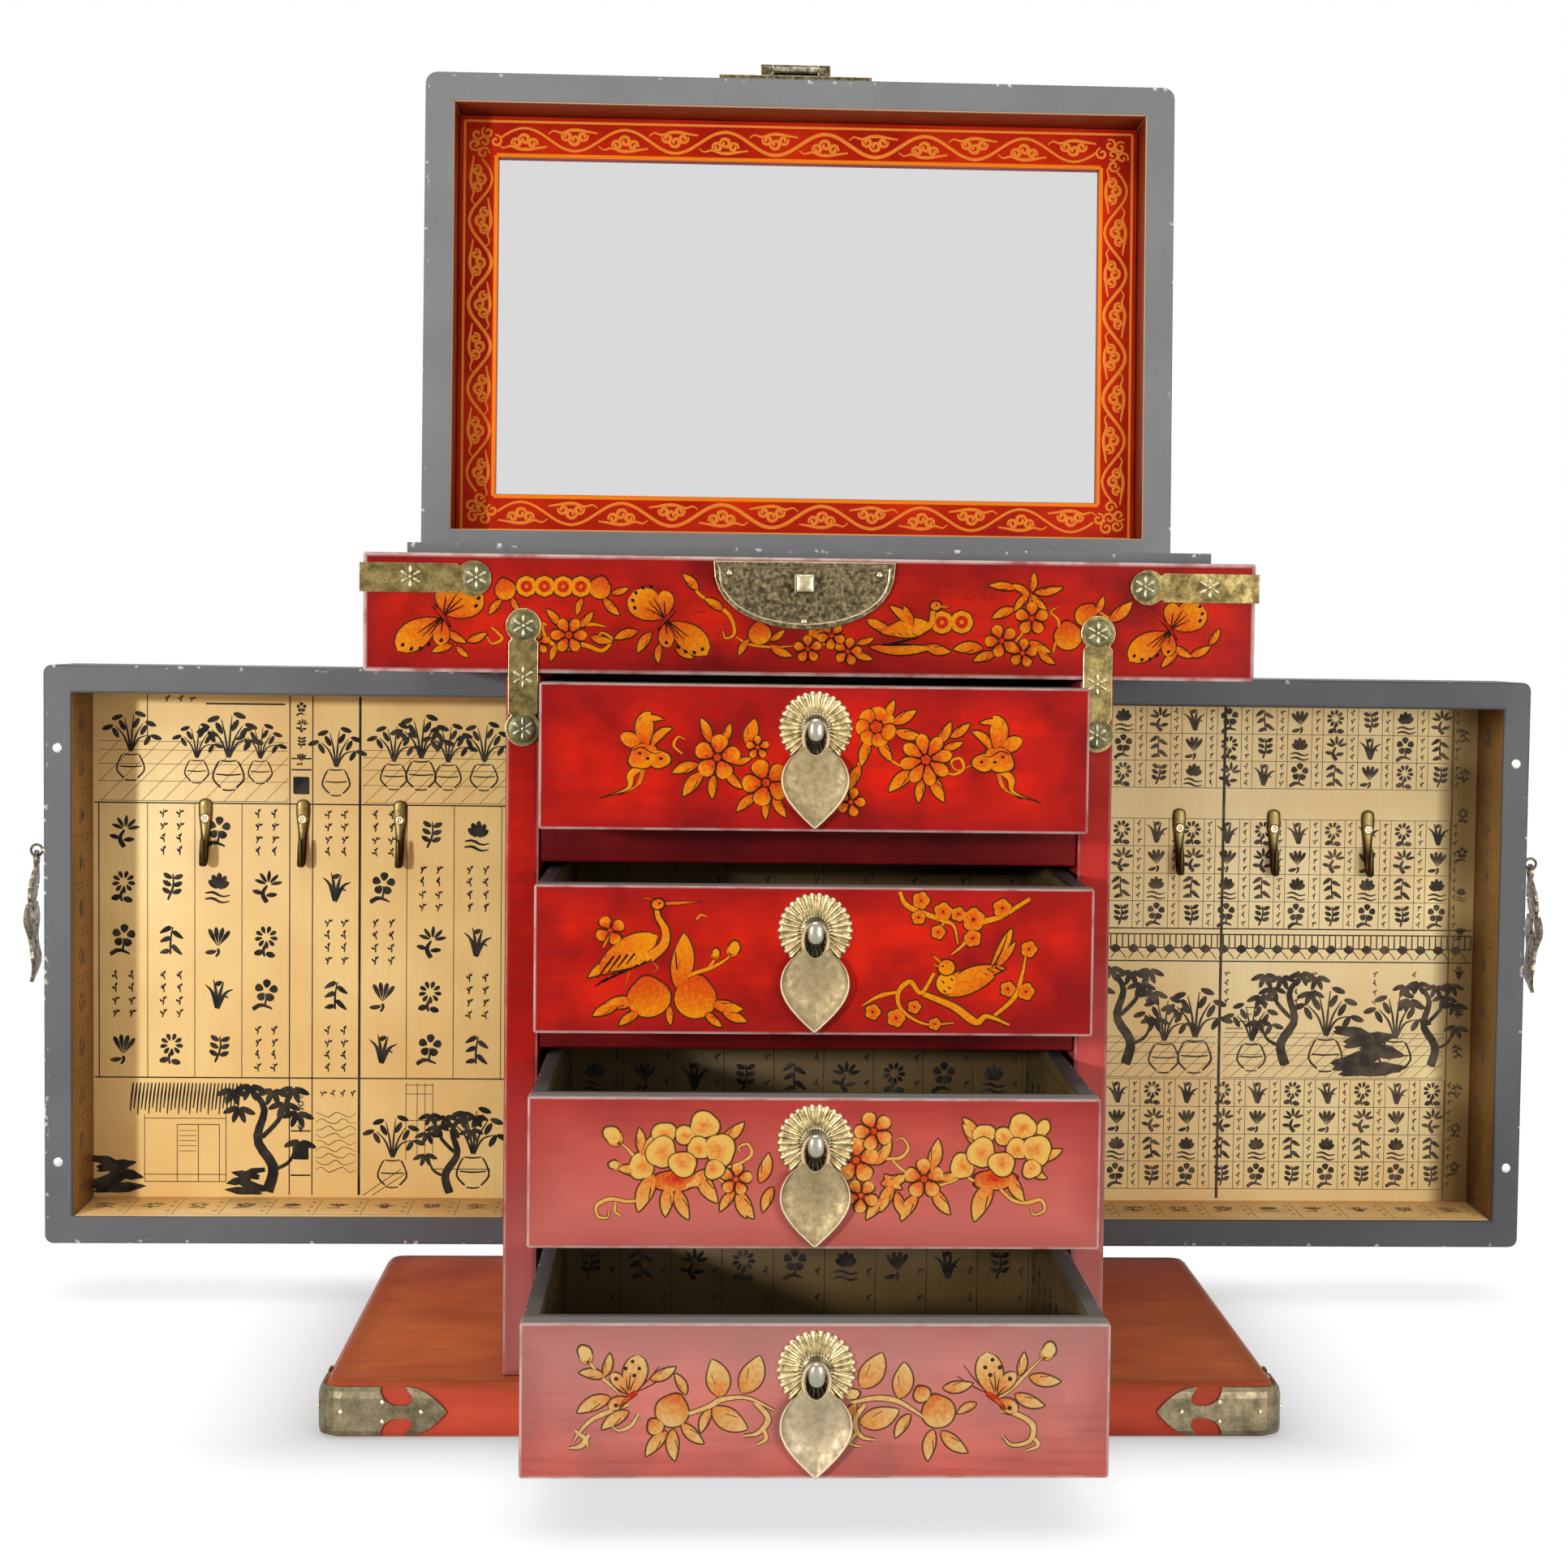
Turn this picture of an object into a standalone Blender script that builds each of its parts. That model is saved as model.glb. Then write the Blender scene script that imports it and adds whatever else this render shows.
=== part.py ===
"""Lacquered jewelry cabinet with a mirror lid, two swing-out door trays and four drawers.

Metres, +Z up. The front faces -Y and the origin is the middle of the plinth's underside. The cabinet is
modelled open: lid up, doors swung out by a right angle, drawers pulled out.
"""
import math

import bmesh
import bpy
from mathutils import Matrix, Vector

# Clearances
SEAT = 0.0003                    # between pieces that touch
RUN_GAP = 0.0003                 # round a hinge pin
WELD = 0.0001                    # overlap of the solids that are fused into one piece
OFFSET_STEP = 0.00005            # keeps two fused solids from sharing a flat face
CUT_OVERRUN = 0.01               # how far a cutter reaches past what it cuts

# Plinth
BASE_THICKNESS = 0.020
BASE_FRONT_OVERHANG = 0.011
BASE_BACK_OVERHANG = 0.011
BASE_SIDE_OVERHANG = 0.0135
BASE_CORNER_RADIUS = 0.008
BASE_TOP_ROUND = 0.005
BASE_BOTTOM_ROUND = 0.003

# Drawer stack
STACK_WIDTH = 0.221
STACK_HEIGHT = 0.2575
SIDE_WALL = 0.0123
BACK_PANEL = 0.008
RAIL_HEIGHT = 0.015
RAIL_DEPTH = 0.016
RAIL_SETBACK = 0.0015
SHELF = 0.005
BOARD_EDGE = 0.0008              # eased edges of the lacquered boards

# Top case
CASE_WIDTH = 0.324
CASE_DEPTH = 0.209
CASE_HEIGHT = 0.043
CASE_WALL = 0.014
CASE_FLOOR = 0.006
LINER_WALL = 0.003
LINER_FLOOR = 0.002
LINER_LIP = 0.004                # liner standing above the case rim

# Lid
LID_HEIGHT = 0.040
LID_WALL = 0.0123
LID_PANEL = 0.007
LID_SEAM = 0.0006
LID_CORNER = 0.005               # radius of the lid's outer corners
LID_LEAN = math.radians(3.5)     # past upright, where the hinges stop it
MIRROR_RECESS = 0.027            # lid rim to mirror frame
MIRROR_FRAME = 0.0028
MIRROR_GLASS = 0.0024
MIRROR_SIDE_BORDER = 0.017
MIRROR_END_BORDER = 0.018
MIRROR_REBATE = 0.006            # glass hidden behind the frame

# Doors
DOOR_WALL = 0.0118
DOOR_PANEL = 0.006
DOOR_CORNER = 0.0036             # radius of a door's outer corners
DOOR_BOTTOM_GAP = 0.0055
DOOR_TOP_GAP = 0.0022
DOOR_SIDE_GAP = 0.0006
HOOK_COUNT = 3
HOOK_SPACING = 0.043
HOOK_BELOW_TOP = 0.060           # hook top below the door top
HOOK_STRAP = 0.024
HOOK_WIDTH = 0.0045
HOOK_THICKNESS = 0.0015
HOOK_BEND = 0.0034
HOOK_TONGUE = 0.008
HOOK_FLARE = 0.0012              # lean of the tongue away from the strap
HOOK_SINK = 0.0004               # strap let into the panel

# Drawers, from the top one down
DRAWER_OUT = (0.052, 0.074, 0.102, 0.136)
DRAWER_SIDE_GAP = 0.0026
DRAWER_TOP_GAP = 0.0018
DRAWER_LIFT = 0.0004
DRAWER_FRONT = 0.010
DRAWER_BACK_GAP = 0.002
DRAWER_WALL = 0.005
DRAWER_FLOOR = 0.004
DRAWER_BOX_INSET = 0.0006        # box inside the front's outline

# Drawer pulls
PULL_BELOW_TOP = 0.0150
ROSETTE_RADIUS = 0.0130
ROSETTE_BOSS = 0.0050
ROSETTE_THICKNESS = 0.0014
ROSETTE_FLUTES = 30
FLUTE_HEIGHT = 0.0005
POST_RADIUS = 0.0012
POST_HEAD_WIDTH = 0.0052
POST_HEAD_HEIGHT = 0.0076
POST_HEAD_DEPTH = 0.0026
DROP_THICKNESS = 0.0016
DROP_BAR = 0.0013
DROP_RING_HALF_WIDTH = 0.00475
DROP_RING_HALF_HEIGHT = 0.0067
DROP_RING_RIM = 0.0010
DROP_LEAF_RADIUS = 0.0119
DROP_LEAF_DEPTH = 0.0208         # pivot to the leaf's widest place
DROP_LENGTH = 0.0378             # pivot to tip
DROP_LEAF_RIM = 0.0010           # raised edge round the leaf's field
DROP_FIELD_SINK = 0.0004

# Door handles
HANDLE_BELOW_TOP = 0.0815
HANDLE_STAND = 0.0085            # eye centre from the wall
ROSE_RADIUS = 0.0065
ROSE_THICKNESS = 0.0014
EYE_RADIUS = 0.0025
EYE_WIRE = 0.0006
EYE_STEM = 0.0018
HANDLE_THICKNESS = 0.0015
HANDLE_BAR = 0.0013
HANDLE_RING = 0.0036
HANDLE_HOLE = 0.0022
HANDLE_LENGTH = 0.058
HANDLE_HALF_WIDTH = 0.0135
HANDLE_NECK = 0.0010             # ring to plate
HANDLE_TIP = 0.0012              # half width at the pointed end
HANDLE_BOW = 0.0022              # how far the plate's middle bows away from the door
HANDLE_FLARE = 0.0024            # turn of the foot away from the door
HANDLE_FLARE_LENGTH = 0.0095

# Hinges
KNUCKLE_RADIUS = 0.0022
PIN_RADIUS = 0.00085
LEAF_THICKNESS = 0.0009
LEAF_LENGTH = 0.016
HINGE_WIDTH = 0.030
LID_HINGE_SPACING = 0.190
DOOR_HINGE_SPACING = 0.160

# Lock
LOCK_OFFSET = -0.003             # left of the middle
LOCK_WIDTH = 0.066
LOCK_HEIGHT = 0.0245
LOCK_THICKNESS = 0.0010
LOCK_RIM = 0.0020
LOCK_RIM_RISE = 0.0006
LOCK_BELOW_RIM = 0.0015
STAPLE_BELOW_RIM = 0.0095
STAPLE_WIDTH = 0.0064
STAPLE_LENGTH = 0.0100
HASP_KNUCKLE_HEIGHT = 0.0050     # pin above the lid's face
HASP_ABOVE_RIM = 0.0045          # pin from the lid's rim
HASP_LUG = 0.0050
HASP_LUG_SPAN = 0.030
HASP_LENGTH = 0.0215
HASP_HALF_WIDTH = 0.0125
HASP_THICKNESS = 0.0012
HASP_PLAY = 0.0010               # round the staple
HASP_SHOULDER = 0.0010

# Brass straps and mounts
STRAP_THICKNESS = 0.0009
CORNER_STRAP_LENGTH = 0.046
CORNER_STRAP_HEIGHT = 0.0105
CORNER_STRAP_BELOW_RIM = 0.0038
STILE_STRAP_UP = 0.0235
STILE_STRAP_DOWN = 0.0265
STILE_STRAP_WIDTH = 0.0108
STRAP_LOBE_RADIUS = 0.0064
STRAP_NECK_HALF_WIDTH = 0.0043   # between the band and its lobe
STRAP_SHOULDER = 0.0012
MOUNT_LENGTH = 0.046
MOUNT_HEAD = 0.0150              # cloud head at the end of each wing
MOUNT_NECK_LENGTH = 0.0026
MOUNT_NECK_HALF_HEIGHT = 0.0023
MOUNT_NOTCH = 0.0025             # hollow behind each barb of the head
MOUNT_MARGIN = 0.0012            # bare wood above and below the mount

# Places worked out from the sizes above
front = -CASE_DEPTH / 2
back = CASE_DEPTH / 2
base_top = BASE_THICKNESS
stack_bottom = base_top + SEAT
stack_top = base_top + STACK_HEIGHT
case_bottom = stack_top + SEAT
case_top = case_bottom + CASE_HEIGHT
half_case = CASE_WIDTH / 2
half_stack = STACK_WIDTH / 2
half_opening = half_stack - SIDE_WALL
drawer_count = len(DRAWER_OUT)
opening_height = (STACK_HEIGHT - (drawer_count - 1) * RAIL_HEIGHT) / drawer_count
pin_offset = KNUCKLE_RADIUS + SEAT                   # hinge pin from the wood it is fixed to
base_width = CASE_WIDTH + 2 * BASE_SIDE_OVERHANG
base_depth = CASE_DEPTH + BASE_FRONT_OVERHANG + BASE_BACK_OVERHANG
base_middle_y = (BASE_BACK_OVERHANG - BASE_FRONT_OVERHANG) / 2


def finish(name, colour, roughness, metallic=0.0):
    """A Principled material with one colour, roughness and metallic value."""
    material = bpy.data.materials.new(name)
    material.use_nodes = True
    shader = material.node_tree.nodes["Principled BSDF"]
    shader.inputs["Base Color"].default_value = (*colour, 1.0)
    shader.inputs["Roughness"].default_value = roughness
    shader.inputs["Metallic"].default_value = metallic
    return material


def world_place(item):
    """Sum of the locations from an empty up to the scene, all of them unturned."""
    place = Vector()
    while item:
        place += item.location
        item = item.parent
    return place


def new_axis(name, at, parent=None):
    """An empty on a joint's axis, which carries that joint's moving pieces."""
    axis = bpy.data.objects.new(name, None)
    bpy.context.scene.collection.objects.link(axis)
    axis.location = Vector(at) - world_place(parent)
    axis.parent = parent
    return axis


def new_object(name, mesh_data, material):
    """A named object from a bmesh."""
    bmesh.ops.recalc_face_normals(mesh_data, faces=mesh_data.faces)
    mesh = bpy.data.meshes.new(name)
    mesh_data.to_mesh(mesh)
    mesh_data.free()
    mesh.materials.append(material)
    part = bpy.data.objects.new(name, mesh)
    bpy.context.scene.collection.objects.link(part)
    return part


def combine(target, tool, operation):
    """Apply a Boolean between two unplaced objects and delete the tool."""
    modifier = target.modifiers.new(operation.lower(), "BOOLEAN")
    modifier.operation = operation
    modifier.solver = "EXACT"
    modifier.object = tool
    depsgraph = bpy.context.evaluated_depsgraph_get()
    result = bpy.data.meshes.new_from_object(target.evaluated_get(depsgraph))
    target.modifiers.clear()
    target.data = result
    bpy.data.objects.remove(tool)


def joined(name, material, body, additions=(), cuts=()):
    """One solid from a body, the solids added to it and the solids cut from it."""
    part = new_object(name, body, material)
    for number, addition in enumerate(additions):
        combine(part, new_object(f"{name}_add{number}", addition, material), "UNION")
    for number, cut in enumerate(cuts):
        combine(part, new_object(f"{name}_cut{number}", cut, material), "DIFFERENCE")
    return part


def put(part, at=(0, 0, 0), parent=None, turn=0.0):
    """Place a finished object at a point of the open cabinet, turned about Z, under its joint's empty."""
    part.location = Vector(at) - world_place(parent)
    part.rotation_euler.z = turn
    part.parent = parent
    return part


def ease(part, width, segments=2):
    """Round an object's edges."""
    bevel = part.modifiers.new("eased_edges", "BEVEL")
    bevel.width = width
    bevel.segments = segments
    bevel.limit_method = "ANGLE"
    return part


def smooth(part, angle=math.radians(35)):
    """Shade a round piece smooth between its sharp edges."""
    part.data.shade_smooth()
    part.data.set_sharp_from_angle(angle=angle)
    return part


def box_mesh(low, high):
    """A box between two corners."""
    mesh_data = bmesh.new()
    bmesh.ops.create_cube(mesh_data, size=1.0)
    low, high = Vector(low), Vector(high)
    bmesh.ops.scale(mesh_data, vec=high - low, verts=mesh_data.verts)
    bmesh.ops.translate(mesh_data, vec=(low + high) / 2, verts=mesh_data.verts)
    return mesh_data


def loft_mesh(loops):
    """A solid through rings of points, with a flat cap at each end."""
    mesh_data = bmesh.new()
    rings = [[mesh_data.verts.new(point) for point in loop] for loop in loops]
    for ring, following in zip(rings, rings[1:]):
        for index, vert in enumerate(ring):
            after = (index + 1) % len(ring)
            mesh_data.faces.new((vert, ring[after], following[after], following[index]))
    mesh_data.faces.new(rings[0])
    mesh_data.faces.new(rings[-1])
    return mesh_data


def plate_mesh(outline, near, far):
    """An outline of (x, z) points with thickness along Y."""
    return loft_mesh([[(x, y, z) for x, z in outline] for y in (near, far)])


def profile_mesh(outline, near, far):
    """An outline of (y, z) points carried along X."""
    return loft_mesh([[(x, y, z) for y, z in outline] for x in (near, far)])


def rod_mesh(radius, near, far, sides=10):
    """A round rod along X on the X axis."""
    return profile_mesh(arc((0, 0), radius, 0, 2 * math.pi, sides)[:-1], near, far)


def tube_mesh(radius, bore, near, far, sides=14):
    """A round tube along X on the X axis."""
    outer = arc((0, 0), radius, 0, 2 * math.pi, sides)[:-1]
    inner = arc((0, 0), bore, 0, 2 * math.pi, sides)[:-1]
    mesh_data = bmesh.new()
    loops = [[mesh_data.verts.new((x, y, z)) for y, z in ring]
             for x, ring in ((near, inner), (near, outer), (far, outer), (far, inner))]
    for loop, following in zip(loops, loops[1:] + loops[:1]):
        for index, vert in enumerate(loop):
            after = (index + 1) % sides
            mesh_data.faces.new((vert, loop[after], following[after], following[index]))
    return mesh_data


def ring_mesh(low, high, side_wall, end_wall, through):
    """A rectangular frame between two corners, open along Y or Z."""
    across, along = (0, 2) if through == "Y" else (0, 1)
    depth = 1 if through == "Y" else 2
    mesh_data = bmesh.new()
    loops = []
    for level, inset in ((low, 0), (high, 0), (high, 1), (low, 1)):
        corners = []
        for u, v in ((0, 0), (1, 0), (1, 1), (0, 1)):
            point = [0, 0, 0]
            point[across] = (high[across] - inset * side_wall) if u else (low[across] + inset * side_wall)
            point[along] = (high[along] - inset * end_wall) if v else (low[along] + inset * end_wall)
            point[depth] = level[depth]
            corners.append(mesh_data.verts.new(point))
        loops.append(corners)
    for loop, following in zip(loops, loops[1:] + loops[:1]):
        for index in range(4):
            after = (index + 1) % 4
            mesh_data.faces.new((loop[index], loop[after], following[after], following[index]))
    return mesh_data


def rounded_outline(low, high, radius):
    """The (x, z) outline of a board between two corners, with round outer corners."""
    outline = []
    for quarter, (x, z) in enumerate(((high[0], high[2]), (low[0], high[2]), (low[0], low[2]), (high[0], low[2]))):
        middle = (x - math.copysign(radius, x - (low[0] + high[0]) / 2),
                  z - math.copysign(radius, z - (low[2] + high[2]) / 2))
        outline += arc(middle, radius, quarter * math.pi / 2, (quarter + 1) * math.pi / 2, 4)
    return outline


def tray_mesh(low, high, wall, floor):
    """A box with an open top."""
    inner_low = (low[0] + wall, low[1] + wall, low[2] + floor)
    inner_high = (high[0] - wall, high[1] - wall, high[2])
    levels = ((low, high, low[2]), (low, high, high[2]),
              (inner_low, inner_high, high[2]), (inner_low, inner_high, inner_low[2]))
    return loft_mesh([[(a[0], a[1], z), (b[0], a[1], z), (b[0], b[1], z), (a[0], b[1], z)]
                      for a, b, z in levels])


def slab_mesh(grow):
    """The plinth's pillow-edged slab, its whole skin moved out by grow."""
    corner_steps, edge_steps = 5, 4
    profile = []
    for step in range(edge_steps + 1):
        angle = math.pi / 2 * step / edge_steps
        reach = BASE_BOTTOM_ROUND + grow
        profile.append((reach * (1 - math.sin(angle)), -grow + reach * (1 - math.cos(angle))))
    for step in range(edge_steps + 1):
        angle = math.pi / 2 * step / edge_steps
        reach = BASE_TOP_ROUND + grow
        profile.append((reach * (1 - math.cos(angle)), BASE_THICKNESS + grow - reach * (1 - math.sin(angle))))
    loops = []
    for inset, height in profile:
        radius = BASE_CORNER_RADIUS + grow - inset
        reach_x = base_width / 2 + grow - inset - radius
        reach_y = base_depth / 2 + grow - inset - radius
        loop = []
        for quarter, (side_x, side_y) in enumerate(((1, 1), (-1, 1), (-1, -1), (1, -1))):
            middle = (side_x * reach_x, base_middle_y + side_y * reach_y)
            start = quarter * math.pi / 2
            loop += [(x, y, height) for x, y in arc(middle, radius, start, start + math.pi / 2, corner_steps)]
        loops.append(loop)
    return loft_mesh(loops)


def arc(middle, radius, start, end, steps):
    """Points on a circle, both ends included."""
    angles = [start + (end - start) * step / steps for step in range(steps + 1)]
    return [(middle[0] + radius * math.cos(a), middle[1] + radius * math.sin(a)) for a in angles]


def mirrored(half):
    """A closed outline from its right half, which runs from top to bottom."""
    right = [(max(x, 0.0), z) for x, z in half]
    left = [(-x, z) for x, z in reversed(right) if x > OFFSET_STEP]
    return right + left


def opening_bottom(index):
    """Height of the floor of a drawer opening, counted from the top."""
    return stack_top - (index + 1) * opening_height - index * RAIL_HEIGHT


def make_base():
    """The plinth and the brass mounts that wrap its front corners."""
    smooth(new_object("base_plinth", slab_mesh(0.0), red_lacquer))
    for side, word in ((-1, "left"), (1, "right")):
        shell = joined(f"base_corner_{word}", brass, slab_mesh(SEAT + STRAP_THICKNESS), (), [slab_mesh(SEAT)])
        combine(shell, new_object("mount_cutter", corner_cutter(side), brass), "INTERSECT")
        smooth(shell)


def cloud_wing(shrink=0.0):
    """One wing of a corner mount: full height at the corner, a narrow neck, then a barbed cloud head."""
    middle = BASE_THICKNESS / 2
    half = middle - MOUNT_MARGIN - shrink
    barb = MOUNT_LENGTH - MOUNT_HEAD
    hollow = half - MOUNT_NECK_HALF_HEIGHT
    upper = [(-CUT_OVERRUN, half)]
    upper += arc((barb - MOUNT_NECK_LENGTH, half), hollow, math.pi, 1.5 * math.pi, 6)
    upper += arc((barb, MOUNT_NECK_HALF_HEIGHT + MOUNT_NOTCH), MOUNT_NOTCH, -math.pi / 2, math.pi / 3, 6)
    steps, fullness = 8, 2.2
    for step in range(steps):
        share = step / steps
        upper.append((barb + MOUNT_HEAD * share, half * (1 - share ** fullness)))
    lower = [(s, -z) for s, z in reversed(upper)]
    return [(s, middle + z) for s, z in upper + [(MOUNT_LENGTH, 0.0)] + lower]


def corner_cutter(side):
    """A solid that keeps the two wings of the mount on one front corner."""
    corner_x = base_width / 2
    corner_y = base_middle_y - base_depth / 2
    depth = BASE_CORNER_RADIUS + SEAT + STRAP_THICKNESS
    front_wing = plate_mesh([(side * (corner_x - s), z) for s, z in cloud_wing()],
                            corner_y - CUT_OVERRUN / 2, corner_y + depth)
    side_wing = profile_mesh([(corner_y + s, z) for s, z in cloud_wing(OFFSET_STEP)],
                             side * (corner_x + CUT_OVERRUN / 2), side * (corner_x - depth))
    cutter = joined("mount_wings", brass, front_wing, [side_wing])
    mesh_data = bmesh.new()
    mesh_data.from_mesh(cutter.data)
    bpy.data.objects.remove(cutter)
    return mesh_data


def make_stack():
    """The carcase that the drawers run in."""
    for side, word in ((-1, "left"), (1, "right")):
        outer, inner = side * half_stack, side * half_opening
        panel = box_mesh((min(outer, inner), front, stack_bottom), (max(outer, inner), back, stack_top))
        ease(new_object(f"stack_side_{word}", panel, red_lacquer), BOARD_EDGE, 1)
    inside = half_opening - SEAT
    new_object("stack_back", box_mesh((-inside, back - BACK_PANEL, stack_bottom), (inside, back, stack_top)),
               dark_lacquer)
    rail_front = front + RAIL_SETBACK
    for index in range(drawer_count - 1):
        top = opening_bottom(index)
        outline = [(rail_front, top), (rail_front, top - RAIL_HEIGHT),
                   (rail_front + RAIL_DEPTH, top - RAIL_HEIGHT), (rail_front + RAIL_DEPTH, top - SHELF),
                   (back - BACK_PANEL - SEAT, top - SHELF), (back - BACK_PANEL - SEAT, top)]
        new_object(f"divider_{index + 1}", profile_mesh(outline, -inside, inside), red_lacquer)


def make_case():
    """The wide top case with its floor, liner tray, lock plate and straps."""
    low, high = (-half_case, front, case_bottom), (half_case, back, case_top)
    walls = ring_mesh(low, high, CASE_WALL, CASE_WALL, "Z")
    ease(new_object("case_walls", walls, red_lacquer), BOARD_EDGE)
    reach_x = half_case - CASE_WALL - SEAT
    reach_y = CASE_DEPTH / 2 - CASE_WALL - SEAT
    floor_top = case_bottom + CASE_FLOOR
    new_object("case_floor", box_mesh((-reach_x, -reach_y, case_bottom), (reach_x, reach_y, floor_top)),
               red_lacquer)
    liner = tray_mesh((-reach_x, -reach_y, floor_top + SEAT), (reach_x, reach_y, case_top + LINER_LIP),
                      LINER_WALL, LINER_FLOOR)
    new_object("case_liner", liner, dark_lacquer)
    make_lock_plate()
    for side, word in ((-1, "left"), (1, "right")):
        make_corner_strap(side, word)
        stile = side * (half_stack - SIDE_WALL / 2)
        strap = plate_mesh(stile_strap_outline(), 0.0, -STRAP_THICKNESS)
        put(new_object(f"stile_strap_{word}", strap, brass), (stile, front - SEAT, case_bottom))


def half_moon(width, height, steps=18):
    """A half-moon outline with its straight edge on top at z = 0."""
    return [(width / 2 * math.cos(a), -height * math.sin(a) ** 0.8)
            for a in (math.pi * step / steps for step in range(steps + 1))]


def half_moon_mesh(near, face, rim_face):
    """A half-moon plate whose edge is raised from its face."""
    outer = half_moon(LOCK_WIDTH, LOCK_HEIGHT)
    inner = [(x * (1 - 2 * LOCK_RIM / LOCK_WIDTH), -LOCK_RIM + z * (1 - 2 * LOCK_RIM / LOCK_HEIGHT))
             for x, z in outer]
    rings = ((outer, near), (outer, rim_face), (inner, rim_face), (inner, face))
    return loft_mesh([[(x, y, z) for x, z in ring] for ring, y in rings])


def make_lock_plate():
    """The lower lock plate with the square staple post that the hasp drops over."""
    face = -LOCK_THICKNESS
    plate = half_moon_mesh(0.0, face, face - LOCK_RIM_RISE)
    half = STAPLE_WIDTH / 2
    drop = STAPLE_BELOW_RIM - LOCK_BELOW_RIM
    neck, tip = -STAPLE_LENGTH + half / 2, half / 2
    loops = [[(u * reach, y, v * reach - drop) for u, v in ((-1, -1), (1, -1), (1, 1), (-1, 1))]
             for reach, y in ((half, face / 2), (half, neck), (tip, -STAPLE_LENGTH))]
    place = (LOCK_OFFSET, front - SEAT, case_top - LOCK_BELOW_RIM)
    put(joined("lock_plate", brass, plate, [loft_mesh(loops)]), place)


def make_corner_strap(side, word):
    """A brass band bent round a front corner of the top case, with a round lobe at each end."""
    skin = SEAT + STRAP_THICKNESS
    half = CORNER_STRAP_HEIGHT / 2
    front_wing = plate_mesh([(-side * s, z) for s, z in lobed_band(-skin, half)], -SEAT, -skin)
    side_wing = profile_mesh(lobed_band(-skin, half - OFFSET_STEP), side * SEAT, side * skin)
    place = (side * half_case, front, case_top - CORNER_STRAP_BELOW_RIM - half)
    put(joined(f"case_corner_{word}", brass, front_wing, [side_wing]), place)


def lobe_turn():
    """Angle at which a strap's lobe meets its neck."""
    return math.asin(STRAP_NECK_HALF_WIDTH / STRAP_LOBE_RADIUS)


def lobed_band(start, half):
    """A band outline of (s, z) points that ends in a round lobe; s = 0 is the corner."""
    middle = (CORNER_STRAP_LENGTH - STRAP_LOBE_RADIUS, 0)
    lobe = arc(middle, STRAP_LOBE_RADIUS, -math.pi + lobe_turn(), math.pi - lobe_turn(), 14)
    waist = lobe[0][0] - STRAP_SHOULDER
    return [(start, -half), (waist, -half)] + lobe + [(waist, half), (start, half)]


def stile_strap_outline():
    """A flat strap with a round lobe at its top and bottom; z = 0 is the seam it bridges."""
    half = STILE_STRAP_WIDTH / 2
    top = STILE_STRAP_UP - STRAP_LOBE_RADIUS
    bottom = -STILE_STRAP_DOWN + STRAP_LOBE_RADIUS
    upper = arc((0, top), STRAP_LOBE_RADIUS, math.pi / 2, -math.pi / 2 + lobe_turn(), 8)
    lower = arc((0, bottom), STRAP_LOBE_RADIUS, math.pi / 2 - lobe_turn(), -math.pi / 2, 8)
    sides = [(half, upper[-1][1] - STRAP_SHOULDER), (half, lower[0][1] + STRAP_SHOULDER)]
    return mirrored(upper + sides + lower)


def leaf_meshes(moving):
    """Half of a butt hinge: pin on the X axis, wood on the -Y side, leaf hanging along -Z."""
    third = (HINGE_WIDTH - 2 * RUN_GAP) / 3
    half = HINGE_WIDTH / 2
    step_z = -KNUCKLE_RADIUS - 2 * RUN_GAP
    inner = half - third
    if moving:
        tab = inner - RUN_GAP
        outline = [(-half, step_z), (-tab, step_z), (-tab, 0), (tab, 0), (tab, step_z), (half, step_z)]
        barrels = [tube_mesh(KNUCKLE_RADIUS, PIN_RADIUS + RUN_GAP, -tab, tab)]
    else:
        outline = [(-half, 0), (-inner, 0), (-inner, step_z), (inner, step_z), (inner, 0), (half, 0)]
        barrels = [rod_mesh(KNUCKLE_RADIUS, -half, -inner, 16), rod_mesh(KNUCKLE_RADIUS, inner, half, 16),
                   rod_mesh(PIN_RADIUS, -half + third / 2, half - third / 2)]
    outline += [(half, -LEAF_LENGTH), (-half, -LEAF_LENGTH)]
    face = -KNUCKLE_RADIUS + WELD
    return plate_mesh(outline, face, face + LEAF_THICKNESS), barrels


def make_hinge(name, at, fixed_turn, moving_turn, carrier):
    """Both leaves of a hinge, each turned from the pattern position about its pin."""
    for moving, turn, parent in ((False, fixed_turn, None), (True, moving_turn, carrier)):
        plate, barrels = leaf_meshes(moving)
        word = "moving" if moving else "fixed"
        leaf = joined(f"{name}_{word}", brass, plate, barrels)
        leaf.data.transform(turn)
        put(smooth(leaf), at, parent)


def laid_back():
    """Turn of a piece made for the cabinet's face to the open lid: down becomes back, front becomes up."""
    return Matrix.Rotation(math.pi / 2, 4, "X") @ Matrix.Rotation(math.pi, 4, "Z")


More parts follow.
